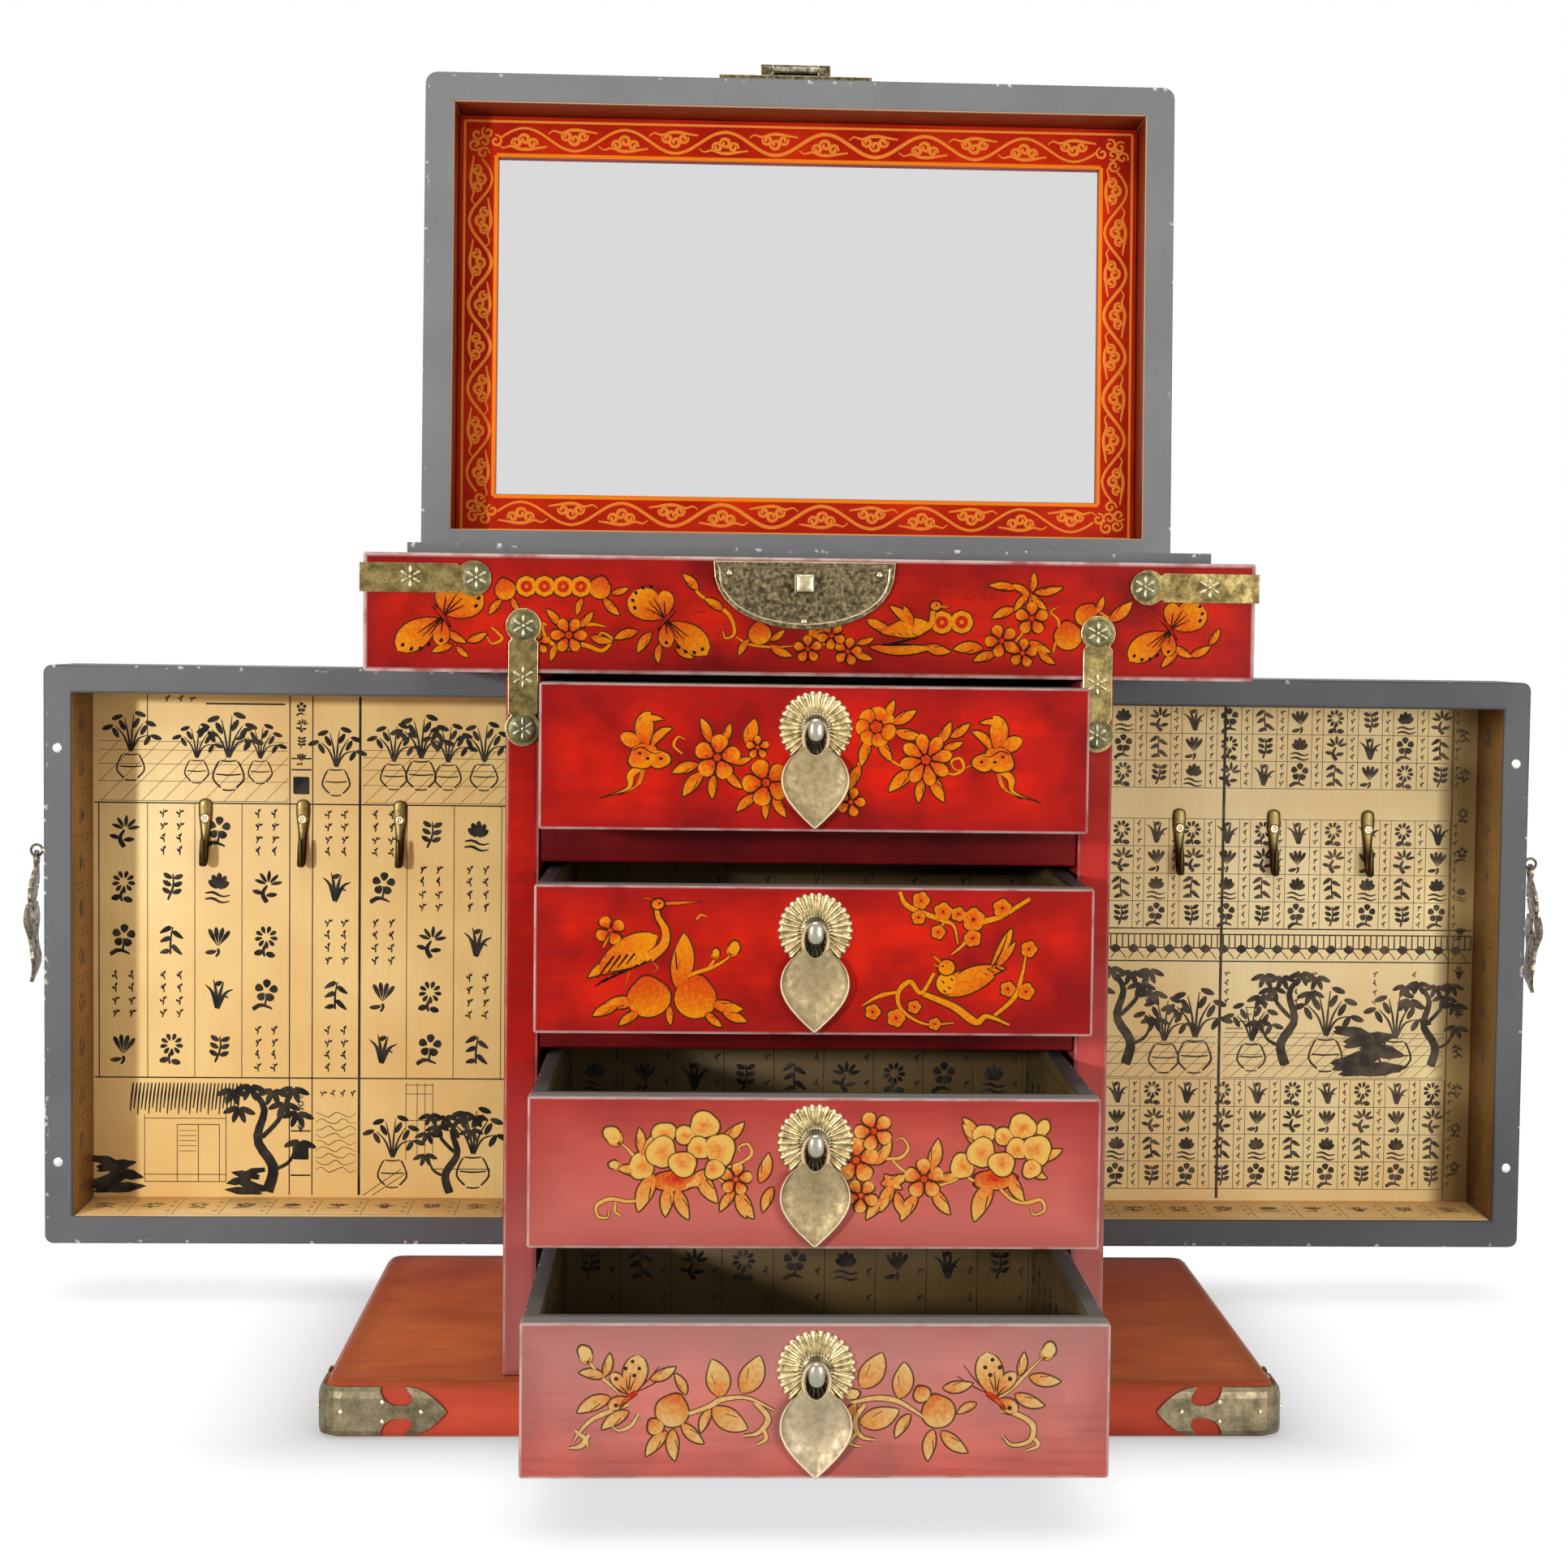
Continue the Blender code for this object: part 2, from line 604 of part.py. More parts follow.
def make_lid():
    """The mirror lid, built upright on its hinge axis and then leaned back."""
    pin = (0, back + pin_offset, case_top + LID_SEAM / 2)
    axis = new_axis("lid_axis", pin)
    rim = pin[1] + LID_SEAM / 2
    low = (-half_case, rim, pin[2] + pin_offset)
    high = (half_case, rim + LID_HEIGHT, low[2] + CASE_DEPTH)
    ring_back = high[1] - LID_PANEL - SEAT
    outline = rounded_outline(low, high, LID_CORNER)
    hollow = box_mesh((low[0] + LID_WALL, rim - CUT_OVERRUN, low[2] + LID_WALL),
                      (high[0] - LID_WALL, high[1] + CUT_OVERRUN, high[2] - LID_WALL))
    walls = joined("lid_walls", dark_lacquer, plate_mesh(outline, rim, ring_back), (), [hollow])
    ease(put(walls, parent=axis), BOARD_EDGE)
    panel = plate_mesh(outline, high[1] - LID_PANEL, high[1])
    ease(put(new_object("lid_panel", panel, red_lacquer), parent=axis), BOARD_EDGE)
    inset = LID_WALL + SEAT
    frame_face = rim + MIRROR_RECESS
    frame_back = frame_face + MIRROR_FRAME
    frame_low = (low[0] + inset, frame_face, low[2] + inset)
    frame_high = (high[0] - inset, frame_back, high[2] - inset)
    frame = ring_mesh(frame_low, frame_high, MIRROR_SIDE_BORDER, MIRROR_END_BORDER, "Y")
    put(new_object("mirror_frame", frame, red_lacquer), parent=axis)
    hidden_x = MIRROR_SIDE_BORDER - MIRROR_REBATE
    hidden_z = MIRROR_END_BORDER - MIRROR_REBATE
    glass = box_mesh((frame_low[0] + hidden_x, frame_back + SEAT, frame_low[2] + hidden_z),
                     (frame_high[0] - hidden_x, frame_back + SEAT + MIRROR_GLASS, frame_high[2] - hidden_z))
    put(new_object("mirror_glass", glass, mirror), parent=axis)
    make_hasp(axis, rim, high[2])
    for side, word in ((-1, "left"), (1, "right")):
        place = (side * LID_HINGE_SPACING / 2, pin[1], pin[2])
        make_hinge(f"lid_hinge_{word}", place, Matrix.Identity(4), laid_back(), axis)
    axis.rotation_euler.x = -LID_LEAN


def make_hasp(lid_axis, rim, face):
    """The lid's lock plate with two lugs and a pin, and the hasp that folds back on it."""
    pin_y = rim + HASP_ABOVE_RIM
    pin_z = face + HASP_KNUCKLE_HEIGHT
    plate = half_moon_mesh(0.0, -LOCK_THICKNESS, -LOCK_THICKNESS - LOCK_RIM_RISE)
    plate.transform(laid_back())
    bmesh.ops.translate(plate, vec=(LOCK_OFFSET, rim + LOCK_BELOW_RIM, face + SEAT), verts=plate.verts)
    half_span = HASP_LUG_SPAN / 2
    lug_outline = arc((pin_y, pin_z), KNUCKLE_RADIUS, 0, math.pi, 8)
    lug_foot = face + SEAT + LOCK_THICKNESS / 2
    lug_outline += [(pin_y - KNUCKLE_RADIUS, lug_foot), (pin_y + KNUCKLE_RADIUS, lug_foot)]
    pin = rod_mesh(PIN_RADIUS, -half_span + HASP_LUG / 2, half_span - HASP_LUG / 2)
    pivot = (LOCK_OFFSET, pin_y, pin_z)
    bmesh.ops.translate(pin, vec=pivot, verts=pin.verts)
    lugs = []
    for side in (-1, 1):
        outer = LOCK_OFFSET + side * half_span
        lugs.append(profile_mesh(lug_outline, outer, outer - side * HASP_LUG))
    smooth(put(joined("lid_plate", brass, plate, lugs + [pin]), parent=lid_axis))
    axis = new_axis("hasp_axis", pivot, lid_axis)
    half_tube = half_span - HASP_LUG - RUN_GAP
    tube = tube_mesh(KNUCKLE_RADIUS, PIN_RADIUS + RUN_GAP, -half_tube, half_tube)
    clear = KNUCKLE_RADIUS + 2 * RUN_GAP + HASP_THICKNESS
    end = arc((0, HASP_LENGTH - HASP_HALF_WIDTH), HASP_HALF_WIDTH, 0, math.pi, 12)
    flap_outline = [(-half_tube + RUN_GAP, 0), (half_tube - RUN_GAP, 0), (half_tube - RUN_GAP, clear),
                    (HASP_HALF_WIDTH, clear + HASP_SHOULDER)] + end
    flap_outline += [(-HASP_HALF_WIDTH, clear + HASP_SHOULDER), (-half_tube + RUN_GAP, clear)]
    under = -KNUCKLE_RADIUS + WELD
    flap = loft_mesh([[(x, y, z) for x, y in flap_outline] for z in (under, under + HASP_THICKNESS)])
    slot_half = STAPLE_WIDTH / 2 + HASP_PLAY
    slot_middle = HASP_ABOVE_RIM + LID_SEAM + STAPLE_BELOW_RIM
    slot = box_mesh((-slot_half, slot_middle - slot_half, -CUT_OVERRUN),
                    (slot_half, slot_middle + slot_half, CUT_OVERRUN))
    put(smooth(joined("hasp", brass, flap, [tube], [slot])), pivot, axis)


def make_door(side, word):
    """A door tray swung out by a right angle, its open side to the front."""
    pin_x = side * (half_stack + DOOR_SIDE_GAP / 2)
    pin_y = back + pin_offset
    axis = new_axis(f"{word}_door_axis", (pin_x, pin_y, stack_bottom))
    near = pin_x + side * pin_offset
    far = near + side * CASE_DEPTH
    rim = pin_y + DOOR_SIDE_GAP / 2
    depth = half_case - half_stack - DOOR_SIDE_GAP
    low = (min(near, far), rim, base_top + DOOR_BOTTOM_GAP)
    high = (max(near, far), rim + depth, case_bottom - DOOR_TOP_GAP)
    panel_face = high[1] - DOOR_PANEL
    outline = rounded_outline(low, high, DOOR_CORNER)
    hollow = box_mesh((low[0] + DOOR_WALL, rim - CUT_OVERRUN, low[2] + DOOR_WALL),
                      (high[0] - DOOR_WALL, high[1] + CUT_OVERRUN, high[2] - DOOR_WALL))
    walls = joined(f"{word}_door_walls", dark_lacquer, plate_mesh(outline, rim, panel_face - SEAT), (), [hollow])
    ease(put(walls, parent=axis), BOARD_EDGE)
    panel = plate_mesh(outline, panel_face, high[1])
    hooks = [hook_mesh((near + far) / 2 + (number - (HOOK_COUNT - 1) / 2) * HOOK_SPACING, panel_face,
                       high[2] - HOOK_BELOW_TOP) for number in range(HOOK_COUNT)]
    put(joined(f"{word}_door_panel", lined_board, panel, hooks), parent=axis)
    handle_place = (far, (low[1] + high[1]) / 2, high[2] - HANDLE_BELOW_TOP)
    make_handle(side, word, handle_place, axis)
    fixed_turn = Matrix.Rotation(side * math.pi / 2, 4, "Y")
    moving_turn = Matrix.Rotation(side * math.pi / 2, 4, "Z") @ Matrix.Rotation(-side * math.pi / 2, 4, "Y")
    for level, place in ((-1, "lower"), (1, "upper")):
        height = (low[2] + high[2]) / 2 + level * DOOR_HINGE_SPACING / 2
        make_hinge(f"{word}_door_hinge_{place}", (pin_x, pin_y, height), fixed_turn, moving_turn, axis)


def hook_mesh(middle, panel_face, top):
    """A necklace hook: a strap against the panel that turns out and up at its foot."""
    line = panel_face - HOOK_THICKNESS / 2 + HOOK_SINK
    foot = top - HOOK_STRAP
    bend = arc((line - HOOK_BEND, foot), HOOK_BEND, 0, -math.pi, 8)
    tip = (line - 2 * HOOK_BEND - HOOK_FLARE, foot + HOOK_TONGUE)
    path = [Vector((line, top)), *[Vector(point) for point in bend], Vector(tip)]
    left, right = [], []
    for index, point in enumerate(path):
        before, after = path[max(index - 1, 0)], path[min(index + 1, len(path) - 1)]
        run = (after - before).normalized()
        across = Vector((-run.y, run.x)) * HOOK_THICKNESS / 2
        left.append(tuple(point + across))
        right.append(tuple(point - across))
    return profile_mesh(left + right[::-1], middle - HOOK_WIDTH / 2, middle + HOOK_WIDTH / 2)


def make_handle(side, word, place, door_axis):
    """A pierced drop handle hanging in an eye on the door's outer wall."""
    turn = side * math.pi / 2
    rose_back, rose_face = -SEAT, -SEAT - ROSE_THICKNESS
    rings = ((ROSE_RADIUS, rose_back), (ROSE_RADIUS, rose_face + ROSE_THICKNESS / 2),
             (ROSE_RADIUS * 0.7, rose_face), (EYE_STEM, rose_face - ROSE_THICKNESS / 2),
             (EYE_STEM * 0.8, -HANDLE_STAND + EYE_RADIUS))
    rose = loft_mesh([[(x, y, z) for x, z in arc((0, 0), radius, 0, 2 * math.pi, 16)[:-1]]
                      for radius, y in rings])
    eye = eye_mesh(-HANDLE_STAND)
    put(smooth(joined(f"{word}_handle_eye", brass, rose, [eye])), place, door_axis, turn)
    bar_drop = EYE_RADIUS - EYE_WIRE - RUN_GAP - math.hypot(HANDLE_BAR, HANDLE_THICKNESS) / 2
    pivot = (place[0] + side * HANDLE_STAND, place[1], place[2] - bar_drop)
    axis = new_axis(f"{word}_handle_axis", pivot, door_axis)
    ring_middle = HANDLE_BAR / 2 - HANDLE_RING
    holes = [(0, ring_middle, HANDLE_HOLE)] + handle_piercings()
    cuts = [plate_mesh(arc((x, z), radius, 0, 2 * math.pi, 10)[:-1], -CUT_OVERRUN, CUT_OVERRUN)
            for x, z, radius in holes]
    put(smooth(joined(f"{word}_handle", brass, handle_mesh(), (), cuts)), pivot, axis, turn)


def eye_mesh(middle_y, around=16, section=8):
    """A wire ring in the YZ plane."""
    mesh_data = bmesh.new()
    rings = []
    for step in range(around):
        angle = 2 * math.pi * step / around
        ring = []
        for across, out in arc((0, 0), EYE_WIRE, 0, 2 * math.pi, section)[:-1]:
            reach = EYE_RADIUS + out
            place = (across, middle_y + reach * math.cos(angle), reach * math.sin(angle))
            ring.append(mesh_data.verts.new(place))
        rings.append(ring)
    for ring, following in zip(rings, rings[1:] + rings[:1]):
        for index in range(section):
            after = (index + 1) % section
            mesh_data.faces.new((ring[index], ring[after], following[after], following[index]))
    return mesh_data


def handle_edge():
    """Half widths down the handle: a ring, then a lobed plate that tapers to a point; z = 0 is the pivot."""
    ring_middle = HANDLE_BAR / 2 - HANDLE_RING
    right = arc((0, ring_middle), HANDLE_RING, math.pi / 2, -math.pi / 3, 8)
    start = right[-1][1] - HANDLE_NECK
    end = HANDLE_BAR / 2 - HANDLE_LENGTH
    steps = 18
    for step in range(1, steps):
        share = step / steps
        lobes = 0.78 + 0.22 * math.cos(5.2 * math.pi * share - 0.9)
        width = HANDLE_HALF_WIDTH * math.sin(math.pi * share ** 0.8) ** 0.8 * lobes
        right.append((max(width, HANDLE_TIP), start + (end - start) * share))
    return right + [(0.0, end)]


def handle_mesh():
    """The handle as sections down its length, bowed away from the door and turned out at its foot."""
    top = HANDLE_BAR / 2 - 2 * HANDLE_RING
    foot = HANDLE_BAR / 2 - HANDLE_LENGTH + HANDLE_FLARE_LENGTH
    half = HANDLE_THICKNESS / 2
    sections = []
    for width, z in handle_edge():
        bow = HANDLE_BOW * math.sin(math.pi * min(max((top - z) / (top - foot), 0.0), 1.0))
        flare = HANDLE_FLARE * (max(foot - z, 0.0) / HANDLE_FLARE_LENGTH) ** 1.5
        reach, middle = max(width, HANDLE_TIP / 2), -bow - flare
        sections.append([(-reach, middle - half, z), (reach, middle - half, z),
                         (reach, middle + half, z), (-reach, middle + half, z)])
    return loft_mesh(sections)


def handle_piercings():
    """Round piercings of the handle plate as (x, z, radius): pairs above and below one in the middle."""
    half, length = HANDLE_HALF_WIDTH, HANDLE_LENGTH
    rows = ((0.26, 0.42, 0.12), (0.38, 0.50, 0.14), (0.48, 0.0, 0.28), (0.58, 0.42, 0.13), (0.70, 0.0, 0.14))
    return [(side * across * half, -down * length, size * half)
            for down, across, size in rows for side in ((-1, 1) if across else (0,))]


def make_drawer(index):
    """A drawer pulled out on its shelf, with its pull."""
    number = index + 1
    bottom = opening_bottom(index) + DRAWER_LIFT
    top = opening_bottom(index) + opening_height - DRAWER_TOP_GAP
    face = front - DRAWER_OUT[index]
    half = half_opening - DRAWER_SIDE_GAP
    axis = new_axis(f"drawer_{number}_slide", (0, face, bottom))
    board = box_mesh((-half, face, bottom), (half, face + DRAWER_FRONT, top))
    ease(put(new_object(f"drawer_{number}_front", board, red_lacquer), parent=axis), BOARD_EDGE)
    reach = half - DRAWER_BOX_INSET
    length = CASE_DEPTH - BACK_PANEL - DRAWER_BACK_GAP
    box = tray_mesh((-reach, face + DRAWER_FRONT + SEAT, bottom),
                    (reach, face + length, top - DRAWER_BOX_INSET), DRAWER_WALL, DRAWER_FLOOR)
    put(new_object(f"drawer_{number}_box", box, dark_lacquer), parent=axis)
    make_pull(number, (0, face, top - PULL_BELOW_TOP), axis)


def make_pull(number, place, drawer_axis):
    """A chrysanthemum rosette with a headed post, and the leaf that hangs on the post by its ring."""
    drop_back = -SEAT - ROSETTE_THICKNESS - FLUTE_HEIGHT - SEAT
    drop_middle = drop_back - DROP_THICKNESS / 2
    head_back = drop_back - DROP_THICKNESS - 2 * SEAT
    head_middle = head_back - POST_HEAD_DEPTH / 2
    swing = math.hypot(DROP_BAR, DROP_THICKNESS) / 2
    pivot_z = POST_RADIUS + RUN_GAP + swing
    post = rod_mesh(POST_RADIUS, -ROSETTE_THICKNESS / 2, head_middle)
    post.transform(Matrix.Rotation(math.pi / 2, 4, "Z"))
    head = bmesh.new()
    bmesh.ops.create_uvsphere(head, u_segments=12, v_segments=8, radius=1.0)
    head_size = Vector((POST_HEAD_WIDTH, POST_HEAD_DEPTH, POST_HEAD_HEIGHT))
    bmesh.ops.scale(head, vec=head_size / 2, verts=head.verts)
    bmesh.ops.translate(head, vec=(0, head_middle, -POST_HEAD_HEIGHT / 8), verts=head.verts)
    plate = smooth(joined(f"pull_{number}_plate", brass, rosette_mesh(), [post, head]), math.radians(25))
    put(plate, place, drawer_axis)
    pivot = (place[0], place[1] + drop_middle, place[2] + pivot_z)
    axis = new_axis(f"pull_{number}_axis", pivot, drawer_axis)
    half = DROP_THICKNESS / 2
    body = plate_mesh(drop_outline(), -half, half)
    hole = ring_ellipse(DROP_RING_RIM, 0, 2 * math.pi, 20)[:-1]
    field = plate_mesh(drop_field(), -half - CUT_OVERRUN, -half + DROP_FIELD_SINK)
    cuts = [plate_mesh(hole, -CUT_OVERRUN, CUT_OVERRUN), field]
    put(joined(f"pull_{number}_drop", brass, body, (), cuts), pivot, axis)


def rosette_mesh():
    """A round plate with radial flutes and a scalloped edge, its flat back on the wood."""
    count = 2 * ROSETTE_FLUTES
    crown, dish = ROSETTE_RADIUS * 0.93, ROSETTE_BOSS * 0.9
    rings = ((ROSETTE_RADIUS, 0.0, 0.0, 0.5), (ROSETTE_RADIUS, 0.55, 0.0, 0.5), (crown, 1.0, 1.0, 0.0),
             (ROSETTE_BOSS, 0.9, 0.3, 0.0), (dish, 0.7, 0.0, 0.0))
    loops = []
    for radius, height, flute, scallop in rings:
        loop = []
        for step in range(count):
            wave = 1 if step % 2 == 0 else -1
            reach = radius + scallop * FLUTE_HEIGHT * (wave - 1)
            lift = ROSETTE_THICKNESS * height + flute * FLUTE_HEIGHT * (wave + 1) / 2
            angle = 2 * math.pi * step / count
            loop.append((reach * math.cos(angle), -SEAT - lift, reach * math.sin(angle)))
        loops.append(loop)
    return loft_mesh(loops)


def ring_ellipse(rim, start, end, steps):
    """Points on the drop's ring, moved in by rim; z = 0 is the pivot in the ring's top bar."""
    middle = DROP_BAR / 2 - DROP_RING_HALF_HEIGHT
    across = DROP_RING_HALF_WIDTH - rim
    up = DROP_RING_HALF_HEIGHT - (DROP_BAR if rim else 0.0)
    angles = [start + (end - start) * step / steps for step in range(steps + 1)]
    return [(across * math.cos(a), middle + up * math.sin(a)) for a in angles]


def drop_outline():
    """The pendant: a ring, a round shoulder and an ogive point."""
    middle = -DROP_LEAF_DEPTH
    ring = ring_ellipse(0.0, math.pi / 2, -math.pi / 2, 16)
    outside = [(x, z) for x, z in ring if math.hypot(x, z - middle) > DROP_LEAF_RADIUS]
    joint_angle = math.atan2(outside[-1][1] - middle, outside[-1][0])
    shoulder = arc((0, middle), DROP_LEAF_RADIUS, joint_angle - 0.06, 0, 7)
    point = DROP_LENGTH - DROP_LEAF_DEPTH
    steps = 9
    ogive = [(DROP_LEAF_RADIUS * math.cos(math.pi / 2 * step / steps), middle - point * step / steps)
             for step in range(1, steps)]
    return mirrored(outside + shoulder + ogive + [(0.0, -DROP_LENGTH)])


def drop_field():
    """The sunk field of the leaf, inside its raised rim and below its ring."""
    middle, radius = -DROP_LEAF_DEPTH, DROP_LEAF_RADIUS - DROP_LEAF_RIM
    ring_foot = DROP_BAR / 2 - 2 * DROP_RING_HALF_HEIGHT - DROP_LEAF_RIM
    shoulder = arc((0, middle), radius, math.asin((ring_foot - middle) / radius), 0, 4)
    point = DROP_LENGTH - DROP_LEAF_DEPTH - 1.6 * DROP_LEAF_RIM
    steps = 6
    ogive = [(radius * math.cos(math.pi / 2 * step / steps), middle - point * step / steps)
             for step in range(1, steps)]
    return mirrored(shoulder + ogive + [(0.0, middle - point)])


for leftover in list(bpy.data.objects):
    bpy.data.objects.remove(leftover)
red_lacquer = finish("red_lacquer", (0.36, 0.012, 0.010), 0.30)
dark_lacquer = finish("dark_lacquer", (0.075, 0.08, 0.085), 0.50)
lined_board = finish("lined_board", (0.62, 0.42, 0.18), 0.70)
brass = finish("antique_brass", (0.42, 0.35, 0.20), 0.38, 1.0)
mirror = finish("mirror_silver", (0.85, 0.85, 0.85), 0.02, 1.0)
make_base()
make_stack()
make_case()
make_lid()
make_door(-1, "left")
make_door(1, "right")
for drawer in range(drawer_count):
    make_drawer(drawer)
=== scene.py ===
import math
import bpy
import numpy as np
from mathutils import Matrix, Vector


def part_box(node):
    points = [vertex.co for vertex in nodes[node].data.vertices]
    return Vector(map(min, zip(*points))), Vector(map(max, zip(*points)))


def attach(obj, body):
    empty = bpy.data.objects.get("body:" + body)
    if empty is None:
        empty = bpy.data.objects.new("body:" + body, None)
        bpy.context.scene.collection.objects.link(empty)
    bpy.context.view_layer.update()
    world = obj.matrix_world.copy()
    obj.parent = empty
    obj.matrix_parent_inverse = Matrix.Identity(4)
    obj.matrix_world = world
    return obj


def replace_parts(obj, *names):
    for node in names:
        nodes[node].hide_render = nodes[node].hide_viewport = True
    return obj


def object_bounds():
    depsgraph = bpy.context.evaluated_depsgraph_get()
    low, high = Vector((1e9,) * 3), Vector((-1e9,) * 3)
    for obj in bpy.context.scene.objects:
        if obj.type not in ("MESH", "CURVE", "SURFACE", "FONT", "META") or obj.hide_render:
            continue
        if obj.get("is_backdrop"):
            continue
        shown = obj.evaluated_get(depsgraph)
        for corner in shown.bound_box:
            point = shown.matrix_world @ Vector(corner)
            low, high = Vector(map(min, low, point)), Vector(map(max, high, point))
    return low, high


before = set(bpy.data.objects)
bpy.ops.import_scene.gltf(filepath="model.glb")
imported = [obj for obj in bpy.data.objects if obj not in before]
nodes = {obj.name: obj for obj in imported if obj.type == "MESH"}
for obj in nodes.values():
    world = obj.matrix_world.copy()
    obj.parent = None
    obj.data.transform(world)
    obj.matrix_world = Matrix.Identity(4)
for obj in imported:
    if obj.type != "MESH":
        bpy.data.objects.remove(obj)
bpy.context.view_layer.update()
scene = bpy.context.scene
mm = 0.001
hands = (("left", -1), ("right", 1))
print("cabinet loaded:", len(nodes), "CAD nodes")


# colours and nodes

def hexColour(code):  # sRGB hex to linear: c / 12.92 near black, else ((c + 0.055) / 1.055) to the power 2.4
    part = np.array([int(code[i:i + 2], 16) for i in (1, 3, 5)]) / 255
    linear = np.where(part <= 0.04045, part / 12.92, ((part + 0.055) / 1.055) ** 2.4)
    return (*[float(value) for value in linear], 1.0)


def addNode(tree, kind, inputs=None, stops=None, **settings):  # one node, its settings, then its values and links
    node = tree.nodes.new("ShaderNode" + kind)
    for name, value in settings.items():
        setattr(node, name, value)
    for socket, value in (inputs or {}).items():
        if isinstance(value, bpy.types.NodeSocket):
            tree.links.new(value, node.inputs[socket])
        else:
            node.inputs[socket].default_value = value
    for index, (place, code) in enumerate(stops or []):
        ramp = node.color_ramp.elements
        stop = ramp[index] if index < len(ramp) else ramp.new(place)
        stop.position, stop.color = place, hexColour(code)
    return node


def calc(tree, operation, first, second, **settings):
    return addNode(tree, "Math", {0: first, 1: second}, operation=operation, **settings).outputs[0]


def vector(tree, operation, first, second=(0, 0, 0)):
    node = addNode(tree, "VectorMath", {0: first, 1: second}, operation=operation)
    return node.outputs["Value" if operation == "LENGTH" else "Vector"]


def split(tree, place):
    return addNode(tree, "SeparateXYZ", {0: place}).outputs


def stretched(tree, place, scale):
    return addNode(tree, "Mapping", {"Vector": place, "Scale": scale}).outputs[0]


def noise(tree, place, size, detail, **more):  # cloudy patches of about this size
    return addNode(tree, "TexNoise", {"Vector": place, "Scale": 1 / size, "Detail": detail, **more}).outputs[0]


def spread(tree, value, start, end, low=0.0, high=1.0, **settings):  # start to end becomes low to high
    return addNode(tree, "MapRange", {0: value, 1: start, 2: end, 3: low, 4: high}, **settings).outputs[0]


def mark(tree, name):  # a value stored on the mesh's points
    return addNode(tree, "Attribute", attribute_name=name).outputs["Fac"]


def mixColour(tree, share, under, over):  # two colours, each a hex code or another node's colour
    pair = {slot: hexColour(value) if isinstance(value, str) else value for slot, value in ((6, under), (7, over))}
    return addNode(tree, "Mix", {0: share, **pair}, data_type="RGBA").outputs[2]


def startFinish(name, **sockets):  # a Principled material with the values that are the same all over it
    material = bpy.data.materials.new(name)
    material.use_nodes = True
    shader = material.node_tree.nodes["Principled BSDF"]
    for socket, value in sockets.items():
        shader.inputs[socket].default_value = value
    return material, material.node_tree, shader


def evenFinish(name, code, **sockets):
    return startFinish(name, **{"Base Color": hexColour(code)}, **sockets)[0]


def layColour(tree, shader, colour, height=None, depth=0.0, strength=0.0):  # the colour, and a bump where asked
    tree.links.new(colour, shader.inputs["Base Color"])
    if height is not None:
        bump = addNode(tree, "Bump", {"Height": height, "Distance": depth * mm, "Strength": strength}).outputs[0]
        tree.links.new(bump, shader.inputs["Normal"])


def objectPlace(tree, lean=0.0):  # Object coordinates, turned upright about the lid's hinge for the leaning lid
    place = addNode(tree, "TexCoord").outputs["Object"]
    if not lean:
        return place
    turn = Matrix.Rotation(lean, 3, "X")
    shift = lidHinge - turn @ lidHinge
    return addNode(tree, "Mapping", {"Vector": place, "Location": shift, "Rotation": (lean, 0, 0)}).outputs[0]


def boxDepths(tree, place, low, high):  # x, y and z distances in from the faces of a box
    away = vector(tree, "ABSOLUTE", vector(tree, "SUBTRACT", place, (low + high) / 2))
    return split(tree, vector(tree, "SUBTRACT", (high - low) / 2, away))


def edgeDistance(tree, depths):  # the middle one of three depths: how far a face's point is from its nearest edge
    x, y, z = depths
    inner = calc(tree, "MINIMUM", calc(tree, "MAXIMUM", x, y), z)
    return calc(tree, "MAXIMUM", calc(tree, "MINIMUM", x, y), inner)


lidLean = math.radians(3.5)
lidHinge = Vector((0, 0.107, 0.3211))
lidLow, lidHigh = Vector((-0.162, 0.1073, 0.3236)), Vector((0.162, 0.1473, 0.5326))  # the lid before it leans


def leaned(x, y, z):  # a point of the upright lid, turned back about its hinge
    return Matrix.Rotation(-lidLean, 3, "X") @ (Vector((x, y, z)) - lidHinge) + lidHinge


# red lacquer: brushed and rubbed over wood, a soft gloss, with painted shade in deeper crimson towards the edges, and
# pale edge lines that are partly rubbed wear and partly a painted highlight
redLook = {"cloud": 30 * mm, "streak": 2.5 * mm, "ripple": 1.7 * mm, "rub": 9 * mm, "edgeShadeBand": 13 * mm,
           "wearAndSheenBand": 1.1 * mm, "topEdge": 0.4 * mm, "crimson": "#640e14", "wearAndSheen": "#d0bdb5"}


